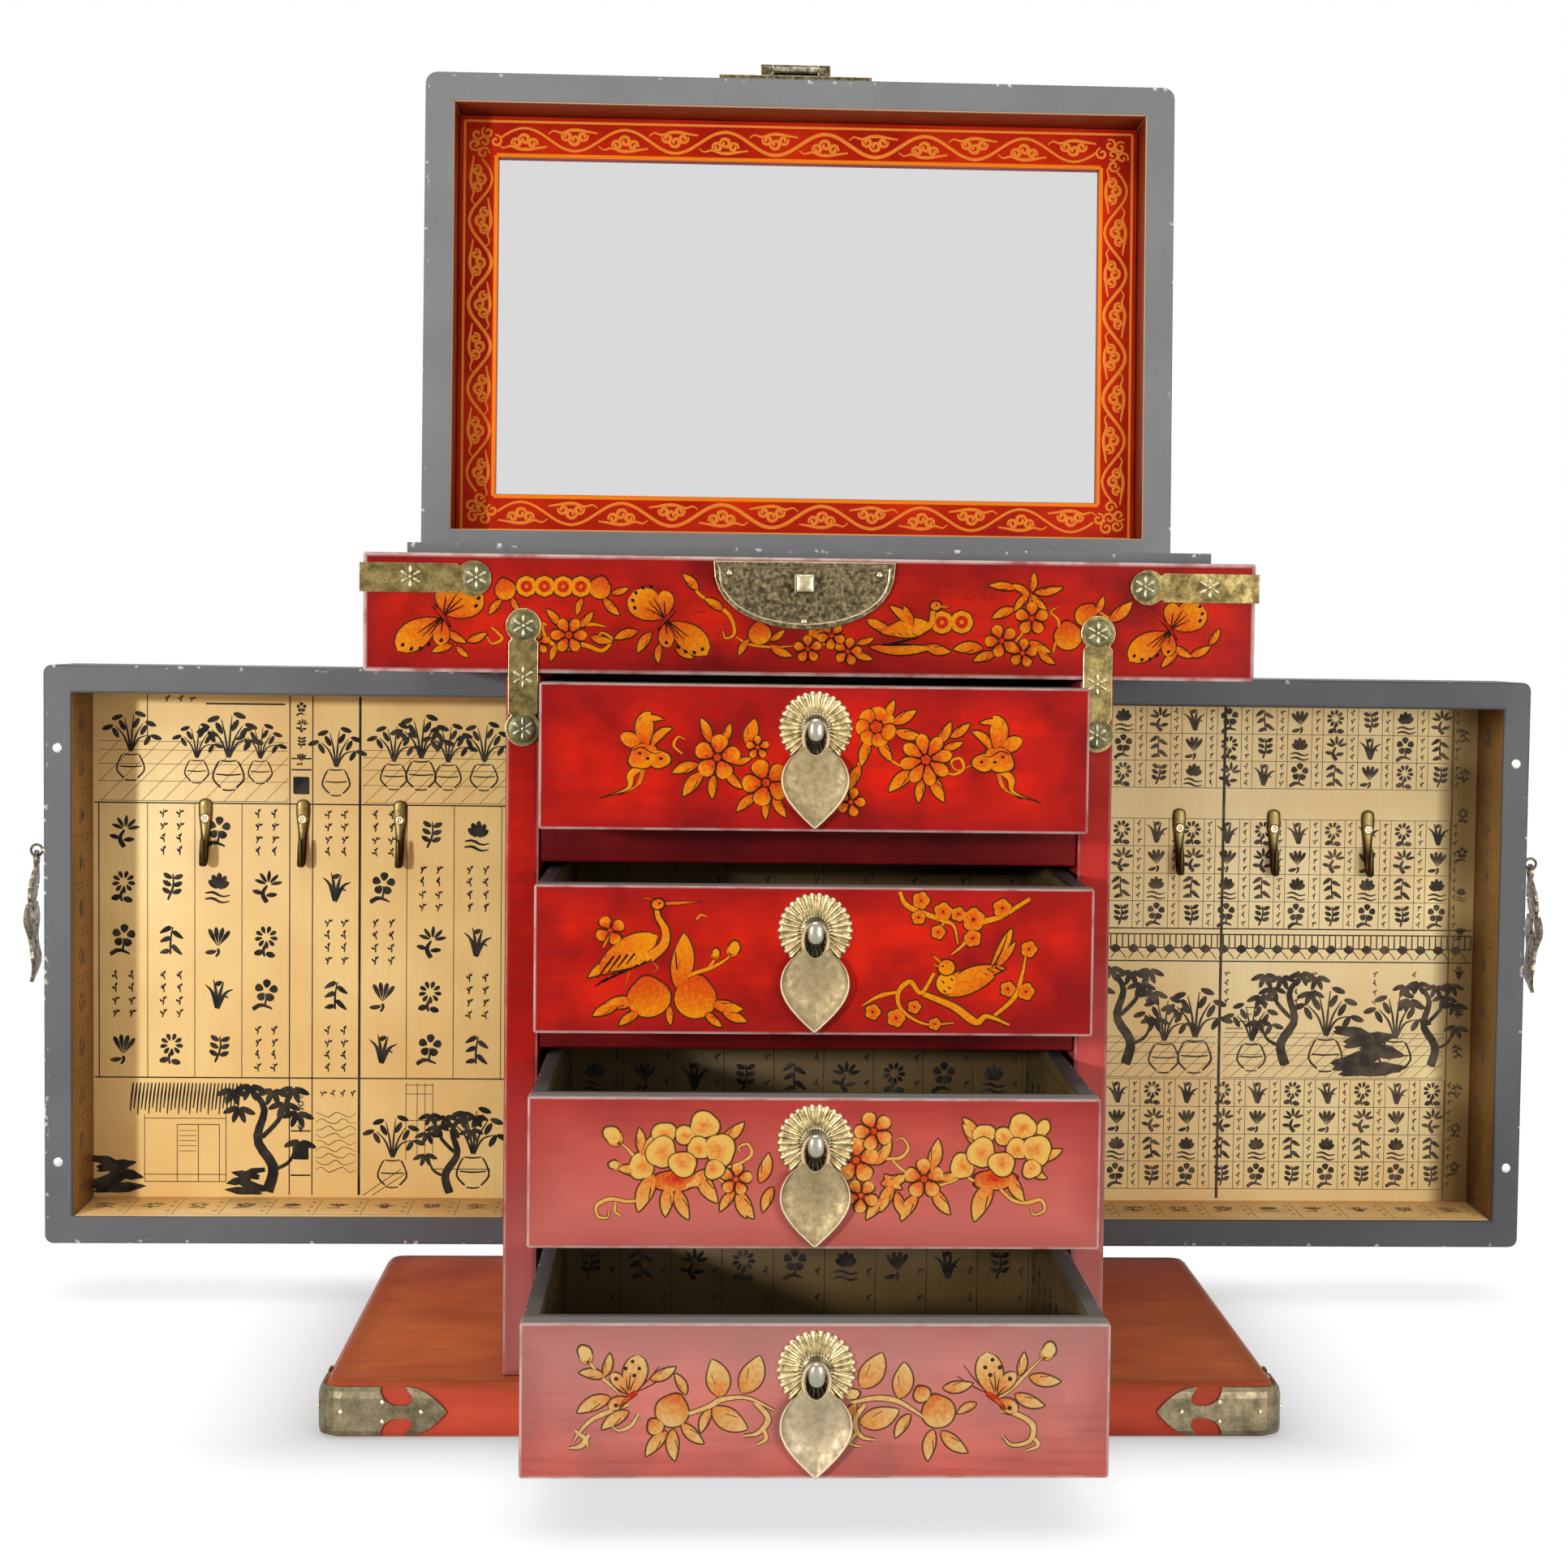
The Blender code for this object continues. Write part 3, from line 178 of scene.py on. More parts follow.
def redLacquer(name, low, high, look, lean=0.0):
    material, tree, shader = startFinish(name, Roughness=0.33, IOR=1.13)
    place = objectPlace(tree, lean)
    height = split(tree, place)[2]
    edge = edgeDistance(tree, boxDepths(tree, place, low, high))
    cloud = noise(tree, place, redLook["cloud"], 3.0)
    colour = mixColour(tree, spread(tree, cloud, 0.36, 0.64), look["deep"], look["bright"])
    streak = noise(tree, stretched(tree, place, (0.08, 1, 1)), redLook["streak"], 2.0)  # drawn out along x
    line = spread(tree, streak, 0.45, 0.75, 0.0, look.get("streaks", 0.25))
    colour = mixColour(tree, line, colour, redLook["crimson"])
    if "sheenAndDust" in look:  # mixed in from one height to another: on the stiles and lower drawers a pale veil of dust and painted reflection of the white floor, on the plinth a redder front face under its top
        code, clear, full, share = look["sheenAndDust"]
        colour = mixColour(tree, spread(tree, height, clear, full, 0.0, share), colour, code)
    # painted shade: deeper crimson in a band along every edge
    edgeShade = spread(tree, edge, 0.0, redLook["edgeShadeBand"], look.get("crimson", 0.7), 0.0)
    colour = mixColour(tree, calc(tree, "MULTIPLY", edgeShade, cloud), colour, redLook["crimson"])
    # pale edge lines: partly rubbed wear, partly a painted highlight along the eased edges
    wearAndSheen = spread(tree, edge, look.get("wearAndSheen", redLook["wearAndSheenBand"]), 0.2 * mm)
    chance = spread(tree, noise(tree, place, redLook["rub"], 4.0), 0.3, 0.55, 0.25, 0.85)
    colour = mixColour(tree, calc(tree, "MULTIPLY", wearAndSheen, chance), colour, redLook["wearAndSheen"])
    if "greyTopSheen" in look:  # the board's top face in pale grey: the inside's grey lacquer with a painted reflection of light along the top edge, paler on the lower drawers
        above = calc(tree, "GREATER_THAN", height, high.z - redLook["topEdge"])
        colour = mixColour(tree, above, colour, look["greyTopSheen"])
    ripple = noise(tree, stretched(tree, place, (0.35, 1, 1)), redLook["ripple"], 2.0)
    layColour(tree, shader, colour, ripple, 0.14, look.get("ripple", 0.3))
    return material


# black lacquer worn to grey: matt, streaked along the board, with small pale nicks on its edges
greyLook = {"cloud": 40 * mm, "grit": 3 * mm, "nick": 3.4 * mm, "wearAndSheenBand": (2.2 * mm, 0.4 * mm), "skin": 0.4 * mm,
            "rimDepth": 2.5 * mm, "chip": "#d9d2c4", "outside": ("#b4200f", "#92150b")}


def greyLacquer(name, low, high, light, dark, lean=0.0, redOutside=False, redTop=False):
    material, tree, shader = startFinish(name, Roughness=0.48, IOR=1.4)
    place = objectPlace(tree, lean)
    depths = boxDepths(tree, place, low, high)
    cloud, grit = noise(tree, place, greyLook["cloud"], 4.0), noise(tree, place, greyLook["grit"], 3.0)
    colour = mixColour(tree, spread(tree, grit, 0.5, 0.75, 0.0, 0.25), mixColour(tree, cloud, dark, light), dark)
    nick = spread(tree, noise(tree, place, greyLook["nick"], 1.0), 0.67, 0.7)
    wearAndSheen = spread(tree, edgeDistance(tree, depths), *greyLook["wearAndSheenBand"], 0.0, 0.8)
    colour = mixColour(tree, calc(tree, "MULTIPLY", nick, wearAndSheen), colour, greyLook["chip"])
    if redOutside:  # red outer faces, which start a little behind the rim
        side = calc(tree, "MINIMUM", depths[0], depths[2 if redTop else 0])
        skin = calc(tree, "LESS_THAN", side, greyLook["skin"])
        behind = calc(tree, "GREATER_THAN", split(tree, place)[1], low.y + greyLook["rimDepth"])
        bright, deep = greyLook["outside"]
        colour = mixColour(tree, calc(tree, "MULTIPLY", skin, behind), colour, mixColour(tree, cloud, deep, bright))
    layColour(tree, shader, colour, grit, 0.08, 0.4)
    return material


# antiqued brass: stamped sheet, darkened in a bath and rubbed back, so dull olive with paler and greener patches
def agedBrass(name, light, mid, dark, roughness, patch=4 * mm):
    material, tree, shader = startFinish(name, Metallic=1.0)
    place = objectPlace(tree)
    cloud, grain = noise(tree, place, patch, 5.0, Roughness=0.65), noise(tree, place, 0.8 * mm, 2.0)
    tone = addNode(tree, "ValToRGB", {0: cloud}, stops=[(0.34, dark), (0.66, light), (0.5, mid)]).outputs[0]
    gloss = spread(tree, cloud, 0.3, 0.7, roughness + 0.1, roughness - 0.08)
    tree.links.new(gloss, shader.inputs["Roughness"])
    pitted = mixColour(tree, spread(tree, grain, 0.5, 0.72, 0.0, 0.55), tone, dark)
    layColour(tree, shader, pitted, grain, 0.05, 0.35)
    return material


plateBrass = agedBrass("agedBrassPlate", "#86785a", "#544a34", "#2a2418", 0.42, 1.8 * mm)
strapBrass = agedBrass("agedBrassStrap", "#8a7a4c", "#685a36", "#443a20", 0.36)
lobeBrass = agedBrass("agedBrassDark", "#6a6648", "#54513a", "#3c3a28", 0.42)
mountBrass = agedBrass("agedBrassMount", "#98886c", "#7c7058", "#5c563e", 0.45, 6 * mm)
hardwareBrass = agedBrass("darkenedBrass", "#a8a392", "#77715c", "#3e3a30", 0.36, 3 * mm)
# pale rounded edges: partly rubbed wear, partly a painted highlight
edgeWearAndSheenBrass = agedBrass("rubbedEdgeWithSheen", "#d2c2a0", "#bfae8a", "#98886a", 0.38)

# silvered float glass: a clean even grey reflection
mirrorSilver = evenFinish("silveredGlass", "#dadada", Metallic=1.0, Roughness=0.03)


# finishes on the CAD pieces

def dress(node, material):
    nodes[node].data.materials.clear()
    nodes[node].data.materials.append(material)


def soften(node, width, edgeMaterial=None):  # rounded edges, in a second finish for their rubbed and highlighted rims where one is given
    nodes[node].modifiers.new("weld", "WELD").merge_threshold = 0.01 * mm
    bevel = nodes[node].modifiers.new("bevel", "BEVEL")
    bevel.width, bevel.segments, bevel.limit_method, bevel.angle_limit = width * mm, 2, "ANGLE", math.radians(40)
    bevel.harden_normals = False
    if edgeMaterial:
        nodes[node].data.materials.append(edgeMaterial)
        bevel.material = len(nodes[node].data.materials) - 1


plainRed = {"bright": "#b4200f", "deep": "#96160c", "crimson": 0.6, "streaks": 0.2}
# painted shade: the rails are dark red for the shadow of the drawer above each
shadedRailRed = {"bright": "#68100e", "deep": "#480a0c", "crimson": 0.6, "wearAndSheen": 0.21 * mm}
redBoards = {  # sheenAndDust: its colour, the height where it starts, the height where it is full, and its share
    "case_walls": {"bright": "#b01c0a", "deep": "#6a0c08", "crimson": 1.1, "streaks": 0.3, "wearAndSheen": 1.7 * mm},
    "stack_side_left": {"bright": "#c41e0c", "deep": "#9c140a", "crimson": 0.6, "sheenAndDust": ("#b06a64", 0.14, 0.04, 0.9)},
    "stack_side_right": {"bright": "#c03028", "deep": "#ac261e", "crimson": 0.5, "sheenAndDust": ("#c47a72", 0.19, 0.04, 0.85)},
    "divider_1": shadedRailRed, "divider_2": shadedRailRed, "divider_3": shadedRailRed,
    "drawer_1_front": {"bright": "#ba1a08", "deep": "#7a0e0a", "crimson": 1.0, "greyTopSheen": "#77706a"},
    "drawer_2_front": {"bright": "#bc1c08", "deep": "#7c0e0a", "crimson": 1.0, "greyTopSheen": "#77706a"},
    # painted reflection: the lower fronts are paler and pinker for the white floor they reflect
    "drawer_3_front": {"bright": "#a63c32", "deep": "#8e302a", "crimson": 0.6, "streaks": 0.2, "greyTopSheen": "#8a8580",
                       "sheenAndDust": ("#b06258", 0.139, 0.096, 0.75), "ripple": 0.6},
    "drawer_4_front": {"bright": "#ba6054", "deep": "#96544c", "crimson": 0.6, "streaks": 0.2, "greyTopSheen": "#8a8580",
                       "sheenAndDust": ("#9a726c", 0.026, 0.068, 0.65), "ripple": 0.6},
    # painted light: the plinth's top is bright orange for the lined doors it reflects and the light falling on it from
    # above
    "base_plinth": {"bright": "#de7240", "deep": "#c65c36", "crimson": 0.9, "streaks": 0.3,
                    "sheenAndDust": ("#cc4a3a", 0.0195, 0.0165, 0.7)},
    "lid_panel": plainRed}
for node, look in redBoards.items():
    low, high = (lidLow, lidHigh) if node == "lid_panel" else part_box(node)
    dress(node, redLacquer("redLacquer." + node, low, high, look, lidLean if node == "lid_panel" else 0.0))
    soften(node, 0.9)

dress("lid_walls", greyLacquer("greyLacquer.lid", lidLow, lidHigh, "#787878", "#5e5e5e", lidLean, True, True))
soften("lid_walls", 0.8)
doorGreys = {"left": ("#626466", "#464749"), "right": ("#505254", "#3a3b3d")}
for word, greys in doorGreys.items():
    node = word + "_door_walls"
    dress(node, greyLacquer(f"greyLacquer.{word}Door", *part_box(node), *greys, redOutside=True))
    soften(node, 0.8)
# painted shade: the upper drawers' boxes are darkest and the lowest lightest, for the shade cast by the drawers above
darkBoards = {"case_liner": ("#646666", "#4e5050"), "stack_back": ("#4c4846", "#3a3634"),
              "case_floor": ("#4c4846", "#3a3634"), "drawer_1_box": ("#343432", "#262624"),
              "drawer_2_box": ("#343432", "#262624"), "drawer_3_box": ("#50524e", "#3c3e3a"),
              "drawer_4_box": ("#626662", "#484c48")}
for node, greys in darkBoards.items():
    dress(node, greyLacquer("greyLacquer." + node, *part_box(node), *greys))

brassNodes = {"lock_plate": plateBrass, "lid_plate": plateBrass, "hasp": hardwareBrass}
for word, side in hands:
    brassNodes.update({"base_corner_" + word: mountBrass, "case_corner_" + word: strapBrass,
                       "stile_strap_" + word: strapBrass, word + "_handle": hardwareBrass,
                       word + "_handle_eye": hardwareBrass})
    for end in ("fixed", "moving"):
        for hinge in (f"lid_hinge_{word}", f"{word}_door_hinge_lower", f"{word}_door_hinge_upper"):
            brassNodes[f"{hinge}_{end}"] = hardwareBrass
for number in (1, 2, 3, 4):
    brassNodes.update({f"pull_{number}_plate": hardwareBrass, f"pull_{number}_drop": hardwareBrass})
for node, material in brassNodes.items():
    dress(node, material)
    if node.startswith(("lock_", "lid_plate", "base_corner", "case_corner", "stile_strap", "hasp")):
        soften(node, 0.9 if "plate" in node else 0.45, edgeWearAndSheenBrass)
dress("mirror_glass", mirrorSilver)
print("finishes on", len(redBoards) + len(darkBoards) + len(brassNodes) + 4, "CAD pieces")


# new surfaces: grids of points gathered into one mesh for each piece

def newSheaf():
    return {"points": [], "faces": [], "rim": [], "tone": [], "count": 0}


def addGrid(sheaf, points, rim=0.0, tone=0.0, closeRows=False, closeCols=False):  # points in rows, joined by quads
    rows, cols = points.shape[:2]
    index = np.arange(rows * cols).reshape(rows, cols) + sheaf["count"]
    if closeRows:
        index = np.vstack([index, index[:1]])
    if closeCols:
        index = np.hstack([index, index[:, :1]])
    quads = np.stack([index[:-1, :-1], index[1:, :-1], index[1:, 1:], index[:-1, 1:]], axis=-1)
    sheaf["points"].append(points.reshape(-1, 3))
    sheaf["faces"].append(quads.reshape(-1, 4))
    sheaf["rim"].append(np.broadcast_to(rim, (rows, cols)).ravel())
    sheaf["tone"].append(np.broadcast_to(tone, (rows, cols)).ravel())
    sheaf["count"] += rows * cols


def makePiece(name, sheaf, body, material, marked=False):  # one mesh at the origin that rides on a body
    mesh = bpy.data.meshes.new(name)
    mesh.from_pydata(np.vstack(sheaf["points"]).tolist(), [], np.vstack(sheaf["faces"]).tolist())
    for value in ("rim", "tone") if marked else ():
        mesh.attributes.new(value, "FLOAT", "POINT").data.foreach_set("value", np.concatenate(sheaf[value]))
    mesh.polygons.foreach_set("use_smooth", np.ones(len(mesh.polygons), bool))
    mesh.materials.append(material)
    piece = bpy.data.objects.new(name, mesh)
    scene.collection.objects.link(piece)
    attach(piece, body)
    return piece


def flatFrame(origin, right=(1, 0, 0), up=(0, 0, 1)):  # a flat face: where its middle is and which way it looks
    right, up = np.array(right, float), np.array(up, float)
    return {"origin": np.array(origin, float), "right": right, "up": up, "out": np.cross(right, up)}


def raised(flat, height):  # the same face, some millimetres further out
    return dict(flat, origin=flat["origin"] + height * mm * flat["out"])


def onFrame(flat, x, z, height):  # millimetres on a flat face to metres in the room
    x, z, height = np.broadcast_arrays(x, z, height)
    offset = x[..., None] * flat["right"] + z[..., None] * flat["up"] + height[..., None] * flat["out"]
    return flat["origin"] + mm * offset


def unit(angle):  # a step of one in a direction in degrees
    return np.array([math.cos(math.radians(angle)), math.sin(math.radians(angle))])


def around(count):  # a full turn in equal steps
    return np.linspace(0, 2 * math.pi, count, endpoint=False)


# brush work: every dab is a thin raised patch whose rim sinks just under the surface that it lies on

def newCanvas(flat, rise=1.0, step=0.012, sheaf=None):
    return {"flat": flat, "sheaf": sheaf or newSheaf(), "rise": rise, "step": step, "layer": 0,
            "place": (0, 0, 1, 0, 1)}


def setPlace(canvas, x=0.0, z=0.0, size=1.0, turn=0.0, flip=1):  # where the next dabs go, their size, turn and side
    canvas["place"], canvas["layer"] = (x, z, size, math.radians(turn), flip), 0


def dab(canvas, x, z, height, rim, tone, closeCols=False):
    px, pz, size, turn, flip = canvas["place"]
    x, z = x * flip * size, z * size
    spotX = px + x * math.cos(turn) - z * math.sin(turn)
    spotZ = pz + x * math.sin(turn) + z * math.cos(turn)
    lift = np.where(height < 0, height, (height + canvas["layer"] * canvas["step"]) * canvas["rise"])
    points = onFrame(canvas["flat"], spotX, spotZ, lift)
    tone = np.broadcast_to(tone, x.shape)
    small = max(1.0, 2.0 / (np.max(rim) * size + 1e-6))  # small dabs keep some gold
    rim = np.broadcast_to(rim * size * small, x.shape)
    order = slice(None, None, -1 if flip < 0 else 1)
    addGrid(canvas["sheaf"], points[:, order], rim[:, order], tone[:, order], closeCols=closeCols)
    canvas["layer"] += 1


sunk = -0.03  # how far a dab's rim goes under the surface, in millimetres
leafAcross = np.array([-1, -0.9, -0.45, 0, 0.45, 0.9, 1])
leafHeight = np.array([sunk, 0.08, 0.12, 0.14, 0.12, 0.08, sunk])
strokeAcross = np.array([-1, -0.75, 0, 0.75, 1])
strokeHeight = np.array([sunk, 0.08, 0.1, 0.08, sunk])
blobAcross = np.array([0.02, 0.4, 0.75, 0.93, 1])
blobHeight = np.array([0.14, 0.135, 0.12, 0.08, sunk])


def sunkEnds(height, rows):  # the first and last rows of a dab go under the surface
    lift = np.repeat(height[None, :], rows, axis=0)
    lift[[0, -1]] = sunk
    return lift


def leaf(canvas, start, angle, length, width, bend=0.0, belly=0.5, full=0.8, tone=(0.3, 0.0), rows=11):
    # centre line is an arc; half width is sin(pi * u^k)^full, with k putting the widest place at belly
    u = np.linspace(0, 1, rows)
    heading = np.radians(angle + bend * (u - 0.5))
    step = length / (rows - 1)
    along = np.concatenate([[0], np.cumsum(np.cos(heading[:-1]))]) * step + start[0]
    upward = np.concatenate([[0], np.cumsum(np.sin(heading[:-1]))]) * step + start[1]
    swell = np.sin(math.pi * u ** (math.log(0.5) / math.log(belly)))
    half = np.maximum(width / 2 * np.maximum(swell, 0) ** full, 0.015 * width)
    side = half[:, None] * leafAcross
    x = along[:, None] - np.sin(heading)[:, None] * side
    z = upward[:, None] + np.cos(heading)[:, None] * side
    shade = (tone[0] + (tone[1] - tone[0]) * u)[:, None]
    dab(canvas, x, z, sunkEnds(leafHeight, rows), half[:, None] * (1 - np.abs(leafAcross)), shade)


def smoothPath(points, count):  # a Catmull-Rom curve through a few given points
    knots = np.array(points, float)
    knots = np.vstack([2 * knots[0] - knots[1], knots, 2 * knots[-1] - knots[-2]])
    spot = np.linspace(0, len(knots) - 3.0001, count)
    cell, t = spot.astype(int), (spot % 1)[:, None]
    a, b, c, d = knots[cell], knots[cell + 1], knots[cell + 2], knots[cell + 3]
    return 0.5 * (2 * b + (c - a) * t + (2 * a - 5 * b + 4 * c - d) * t ** 2 + (3 * b - a - 3 * c + d) * t ** 3)


def stroke(canvas, points, width, ends=(0.5, 0.2), tone=0.0, rows=None):
    # a brush line along a curve, full width at 0.4 of its length and thinner at both ends
    rows = rows or 6 * len(points)
    path = smoothPath(points, rows)
    slope = np.gradient(path, axis=0)
    slope /= np.linalg.norm(slope, axis=1)[:, None] + 1e-9
    half = width / 2 * np.interp(np.linspace(0, 1, rows), [0, 0.4, 1], [ends[0], 1, ends[1]])
    side = half[:, None] * strokeAcross
    x = path[:, :1] - slope[:, 1:] * side
    z = path[:, 1:] + slope[:, :1] * side
    dab(canvas, x, z, sunkEnds(strokeHeight, rows), half[:, None] * (1 - np.abs(strokeAcross)), tone)


def blob(canvas, centre, radii, turn=0.0, lobes=0, depth=0.0, point=0.0, tone=(0.0, 0.0), shade=0.0, sides=26):
    # a disc whose radius swells in lobes, drawn to a point at its top where asked; shade warms its upper part
    angle = around(sides)
    edge = 1 - depth * (1 - np.abs(np.cos(lobes * angle / 2))) if lobes else np.ones(sides)
    edge = edge + point * np.maximum(np.sin(angle), 0) ** 12
    x = blobAcross[:, None] * (edge * np.cos(angle) * radii[0])
    z = blobAcross[:, None] * (edge * np.sin(angle) * radii[1])
    c, s = unit(turn)
    hue = tone[0] + (tone[1] - tone[0]) * blobAcross[:, None] + shade * (z / radii[1] + 1) / 2
    lift = np.repeat(blobHeight[:, None], sides, axis=1)
    rim = (1 - blobAcross[:, None]) * min(radii)
    dab(canvas, centre[0] + x * c - z * s, centre[1] + x * s + z * c, lift, rim, hue, closeCols=True)


def dots(canvas, places, radii, tone=1.9, sides=10, turn=0.0):  # small dark spots
    for spot in places:
        blob(canvas, spot, radii, turn, tone=(tone, tone), sides=sides)


def ribs(canvas, root, tips, width, bow=(0.5, 0.5)):  # dark veins from a root most of the way to each tip
    for tip in tips:
        stroke(canvas, [root, (bow[0] * tip[0], bow[1] * tip[1]), (0.8 * tip[0], 0.8 * tip[1])], width, (1, 0.3), 1.9,
               6)


# painted motifs, tone 0 is gold, 0.5 orange, 1 red, 2 dark brown

def paintLeaf(canvas, x, z, angle, length, width=0.0, bend=25.0):
    setPlace(canvas, x, z, 1.36, angle)
    leaf(canvas, (-length / 2, 0), 0, length, width or 0.44 * length, bend, 0.45, 0.75, (0.55, 0.0))
    for side in (-1, 0, 1):  # the vein and two branches
        vein = length * np.array([[-0.4 + 0.2 * abs(side), 0.0], [-0.1, 0.03 * side], [0.24, 0.1 * side]])
        stroke(canvas, vein, 0.05 * length, (0.8, 0.3), 2.0, 6)


def paintFlower(canvas, x, z, size, turn=0.0, petals=5, heart=0.25, wide=1.0):
    setPlace(canvas, x, z, 1.2 * size, turn)
    if size < 3:  # a small blossom is one lobed dab
        blob(canvas, (0, 0), (1.4, 1.4), 0, 5, 0.2, tone=(0.6, 0.1))
        dots(canvas, [(0, 0)], (0.3, 0.3), 1.5, 8)
        return
    for index in range(petals):
        angle = 360 * index / petals
        leaf(canvas, 0.12 * unit(angle), angle, 0.92, wide * 5.8 / (petals + 1.5), 0, 0.64, 0.46, (0.8, 0.0))
        for fan in (-0.35, 0, 0.35):  # veins
            tip = unit(angle + math.degrees(fan))
            stroke(canvas, np.outer([0.3, 0.46, 0.62 - 0.12 * abs(fan)], tip), 0.05, (0.8, 0.4), 1.9, 5)
    blob(canvas, (0, 0), (heart, heart), lobes=5, depth=0.2, tone=(0.95, 0.7))
    dots(canvas, [0.36 * unit(360 * (index + 0.5) / petals) for index in range(petals)], (0.045, 0.045), 1.8, 8)


peony = [(-1.0, -0.2, 190, 0.3), (-0.48, 0.56, 120, 0.28), (0.02, 0.54, 95, 0.24), (0.46, 0.78, 75, 0.32),
         (-0.54, 0.14, 160, 0.35), (0.34, 0.24, 60, 0.27), (0.82, 0.2, 10, 0.36), (0.7, -0.26, 320, 0.24),
         (-0.04, -0.14, 250, 0.31)]  # x, z, direction and size of each petal


def paintPeony(canvas, x, z, size, flip=1):
    setPlace(canvas, x, z, 1.25 * size, 0, flip)
    blob(canvas, (-0.2, -0.52), (0.62, 0.3), 4, 5, 0.12, tone=(0.7, 0.2), shade=0.5)
    for px, pz, turn, wide in peony:  # round petals that overlap, gold at the rim and warm at the root
        blob(canvas, (px, pz), (1.24 * wide, 1.12 * wide), turn - 90, 3, 0.14, tone=(0.75, 0.05), shade=-0.6)
        way, across = unit(turn), unit(turn + 90)
        for bend in (-0.12, 0.12):
            vein = np.array([-0.2 * way, bend * across, 0.16 * way + 1.5 * bend * across]) + (px, pz)
            stroke(canvas, vein, 0.04, (0.8, 0.3), 1.6, 5)


def paintPeach(canvas, x, z, wide, tall, turn=0.0):
    setPlace(canvas, x, z, 1, turn)
    blob(canvas, (0, 0), (wide, tall), 0, 0, 0, 0.22, (0.05, 0.0), 0.7)
    crease = [(0.1 * wide, 0.95 * tall), (0.3 * wide, 0.2 * tall), (0.1 * wide, -0.7 * tall)]
    stroke(canvas, crease, 0.07 * wide, (0.3, 0.2), 1.5)


def paintButterfly(canvas, x, z, size, turn=0.0, flip=1):
    setPlace(canvas, x, z, size, turn, flip)
    stroke(canvas, [(-0.2, 0.3), (-0.55, 0.5), (-0.72, 0.68), (-0.9, 0.6)], 0.05, (1, 0.6), 1.0)
    stroke(canvas, [(-0.2, 0.3), (-0.7, 0.28), (-1.1, 0.32)], 0.05, (1, 0.6), 1.0)
    leaf(canvas, (0.02, 0.0), 80, 0.8, 0.58, -20, 0.64, 0.55, (0.7, 0.05))
    leaf(canvas, (0.05, 0.0), 38, 1.15, 1.0, 25, 0.62, 0.5, (0.6, 0.0))
    leaf(canvas, (-0.02, -0.1), 213, 1.5, 0.84, 25, 0.6, 0.55, (0.6, 0.0))
    leaf(canvas, (0.02, -0.12), 252, 0.72, 0.52, -15, 0.6, 0.55, (0.8, 0.1))
    dots(canvas, [(0.5, 0.84), (0.72, 0.78), (0.9, 0.62), (0.96, 0.4), (0.88, 0.2), (-1.12, -0.72), (-0.9, -0.84),
                  (-0.66, -0.84), (-0.44, -0.74), (-0.1, -0.66)], (0.065, 0.05), 2.0, 10, 40)
    ribs(canvas, (0, 0), [(0.56, 0.76), (0.74, 0.58), (0.8, 0.32), (0.14, 0.7), (-1.0, -0.6), (-0.82, -0.72),
                          (-0.56, -0.7), (-0.12, -0.6)], 0.045, (0.46, 0.48))
    stroke(canvas, [(-0.26, 0.3), (-0.02, 0.0), (0.18, -0.34)], 0.16, (0.7, 0.3), 1.2)


def paintMoth(canvas, x, z, size, flip=1):  # a butterfly from the side with its wings up
    setPlace(canvas, x, z, size, 0, flip)
    for tip in ((1.05, 0.95), (1.25, 0.6)):
        stroke(canvas, [(0.2, 0.0), (0.65 * tip[0], 0.5 * tip[1]), tip], 0.05, (1, 0.6), 1.4)
    leaf(canvas, (-0.05, -0.05), 130, 0.95, 0.55, 30, 0.6, 0.5, (0.7, 0.05))
    leaf(canvas, (0.0, -0.1), 78, 1.5, 0.95, 12, 0.58, 0.5, (0.6, 0.0))
    leaf(canvas, (0.0, -0.15), 215, 0.8, 0.55, 30, 0.6, 0.5, (0.8, 0.1))
    dots(canvas, [(0.14, 1.1), (0.36, 0.86), (-0.1, 0.86), (0.2, 0.62), (-0.42, 0.5), (-0.42, -0.42)], (0.08, 0.08))
    ribs(canvas, (0, -0.05), [(0.1, 1.0), (0.32, 0.72), (-0.12, 0.7), (-0.4, 0.36)], 0.05)
    stroke(canvas, [(0.3, 0.06), (0.0, -0.16), (-0.34, -0.5)], 0.24, (0.8, 0.3), 0.9)


def paintBat(canvas, x, z, size, flip=1):
    setPlace(canvas, x, z, size, 0, flip)
    stroke(canvas, [(-0.1, -0.25), (-0.42, -0.5), (-0.5, -0.85), (-1.25, -1.12)], 0.26, (1, 0.1), 0.1)
    stroke(canvas, [(-0.1, -0.35), (-0.25, -0.75), (-0.75, -1.05)], 0.16, (1, 0.1), 0.3)
    leaf(canvas, (-0.1, 0.1), 150, 0.75, 0.46, 40, 0.6, 0.55, (0.6, 0.0))
    leaf(canvas, (0.05, 0.2), 85, 1.0, 0.56, -75, 0.55, 0.6, (0.6, 0.0))
    leaf(canvas, (0.45, 0.9), 185, 0.75, 0.22, 40, 0.5, 0.8, (0.2, 0.0))
    leaf(canvas, (0.1, 0.15), 40, 0.85, 0.3, -80, 0.5, 0.7, (0.5, 0.0))
    blob(canvas, (-0.12, -0.02), (0.46, 0.36), 30, 4, 0.12, tone=(0.15, 0.0), shade=0.5)
    blob(canvas, (0.3, -0.1), (0.34, 0.28), 0, 3, 0.14, tone=(0.5, 0.0))
    dots(canvas, [(-0.2, 0.05), (0.0, -0.08), (0.34, -0.08)], (0.06, 0.045), 1.9, 8)
    stroke(canvas, [(-0.4, 0.1), (-0.15, 0.2), (0.15, 0.05), (0.45, 0.12)], 0.05, (0.6, 0.2), 1.7)


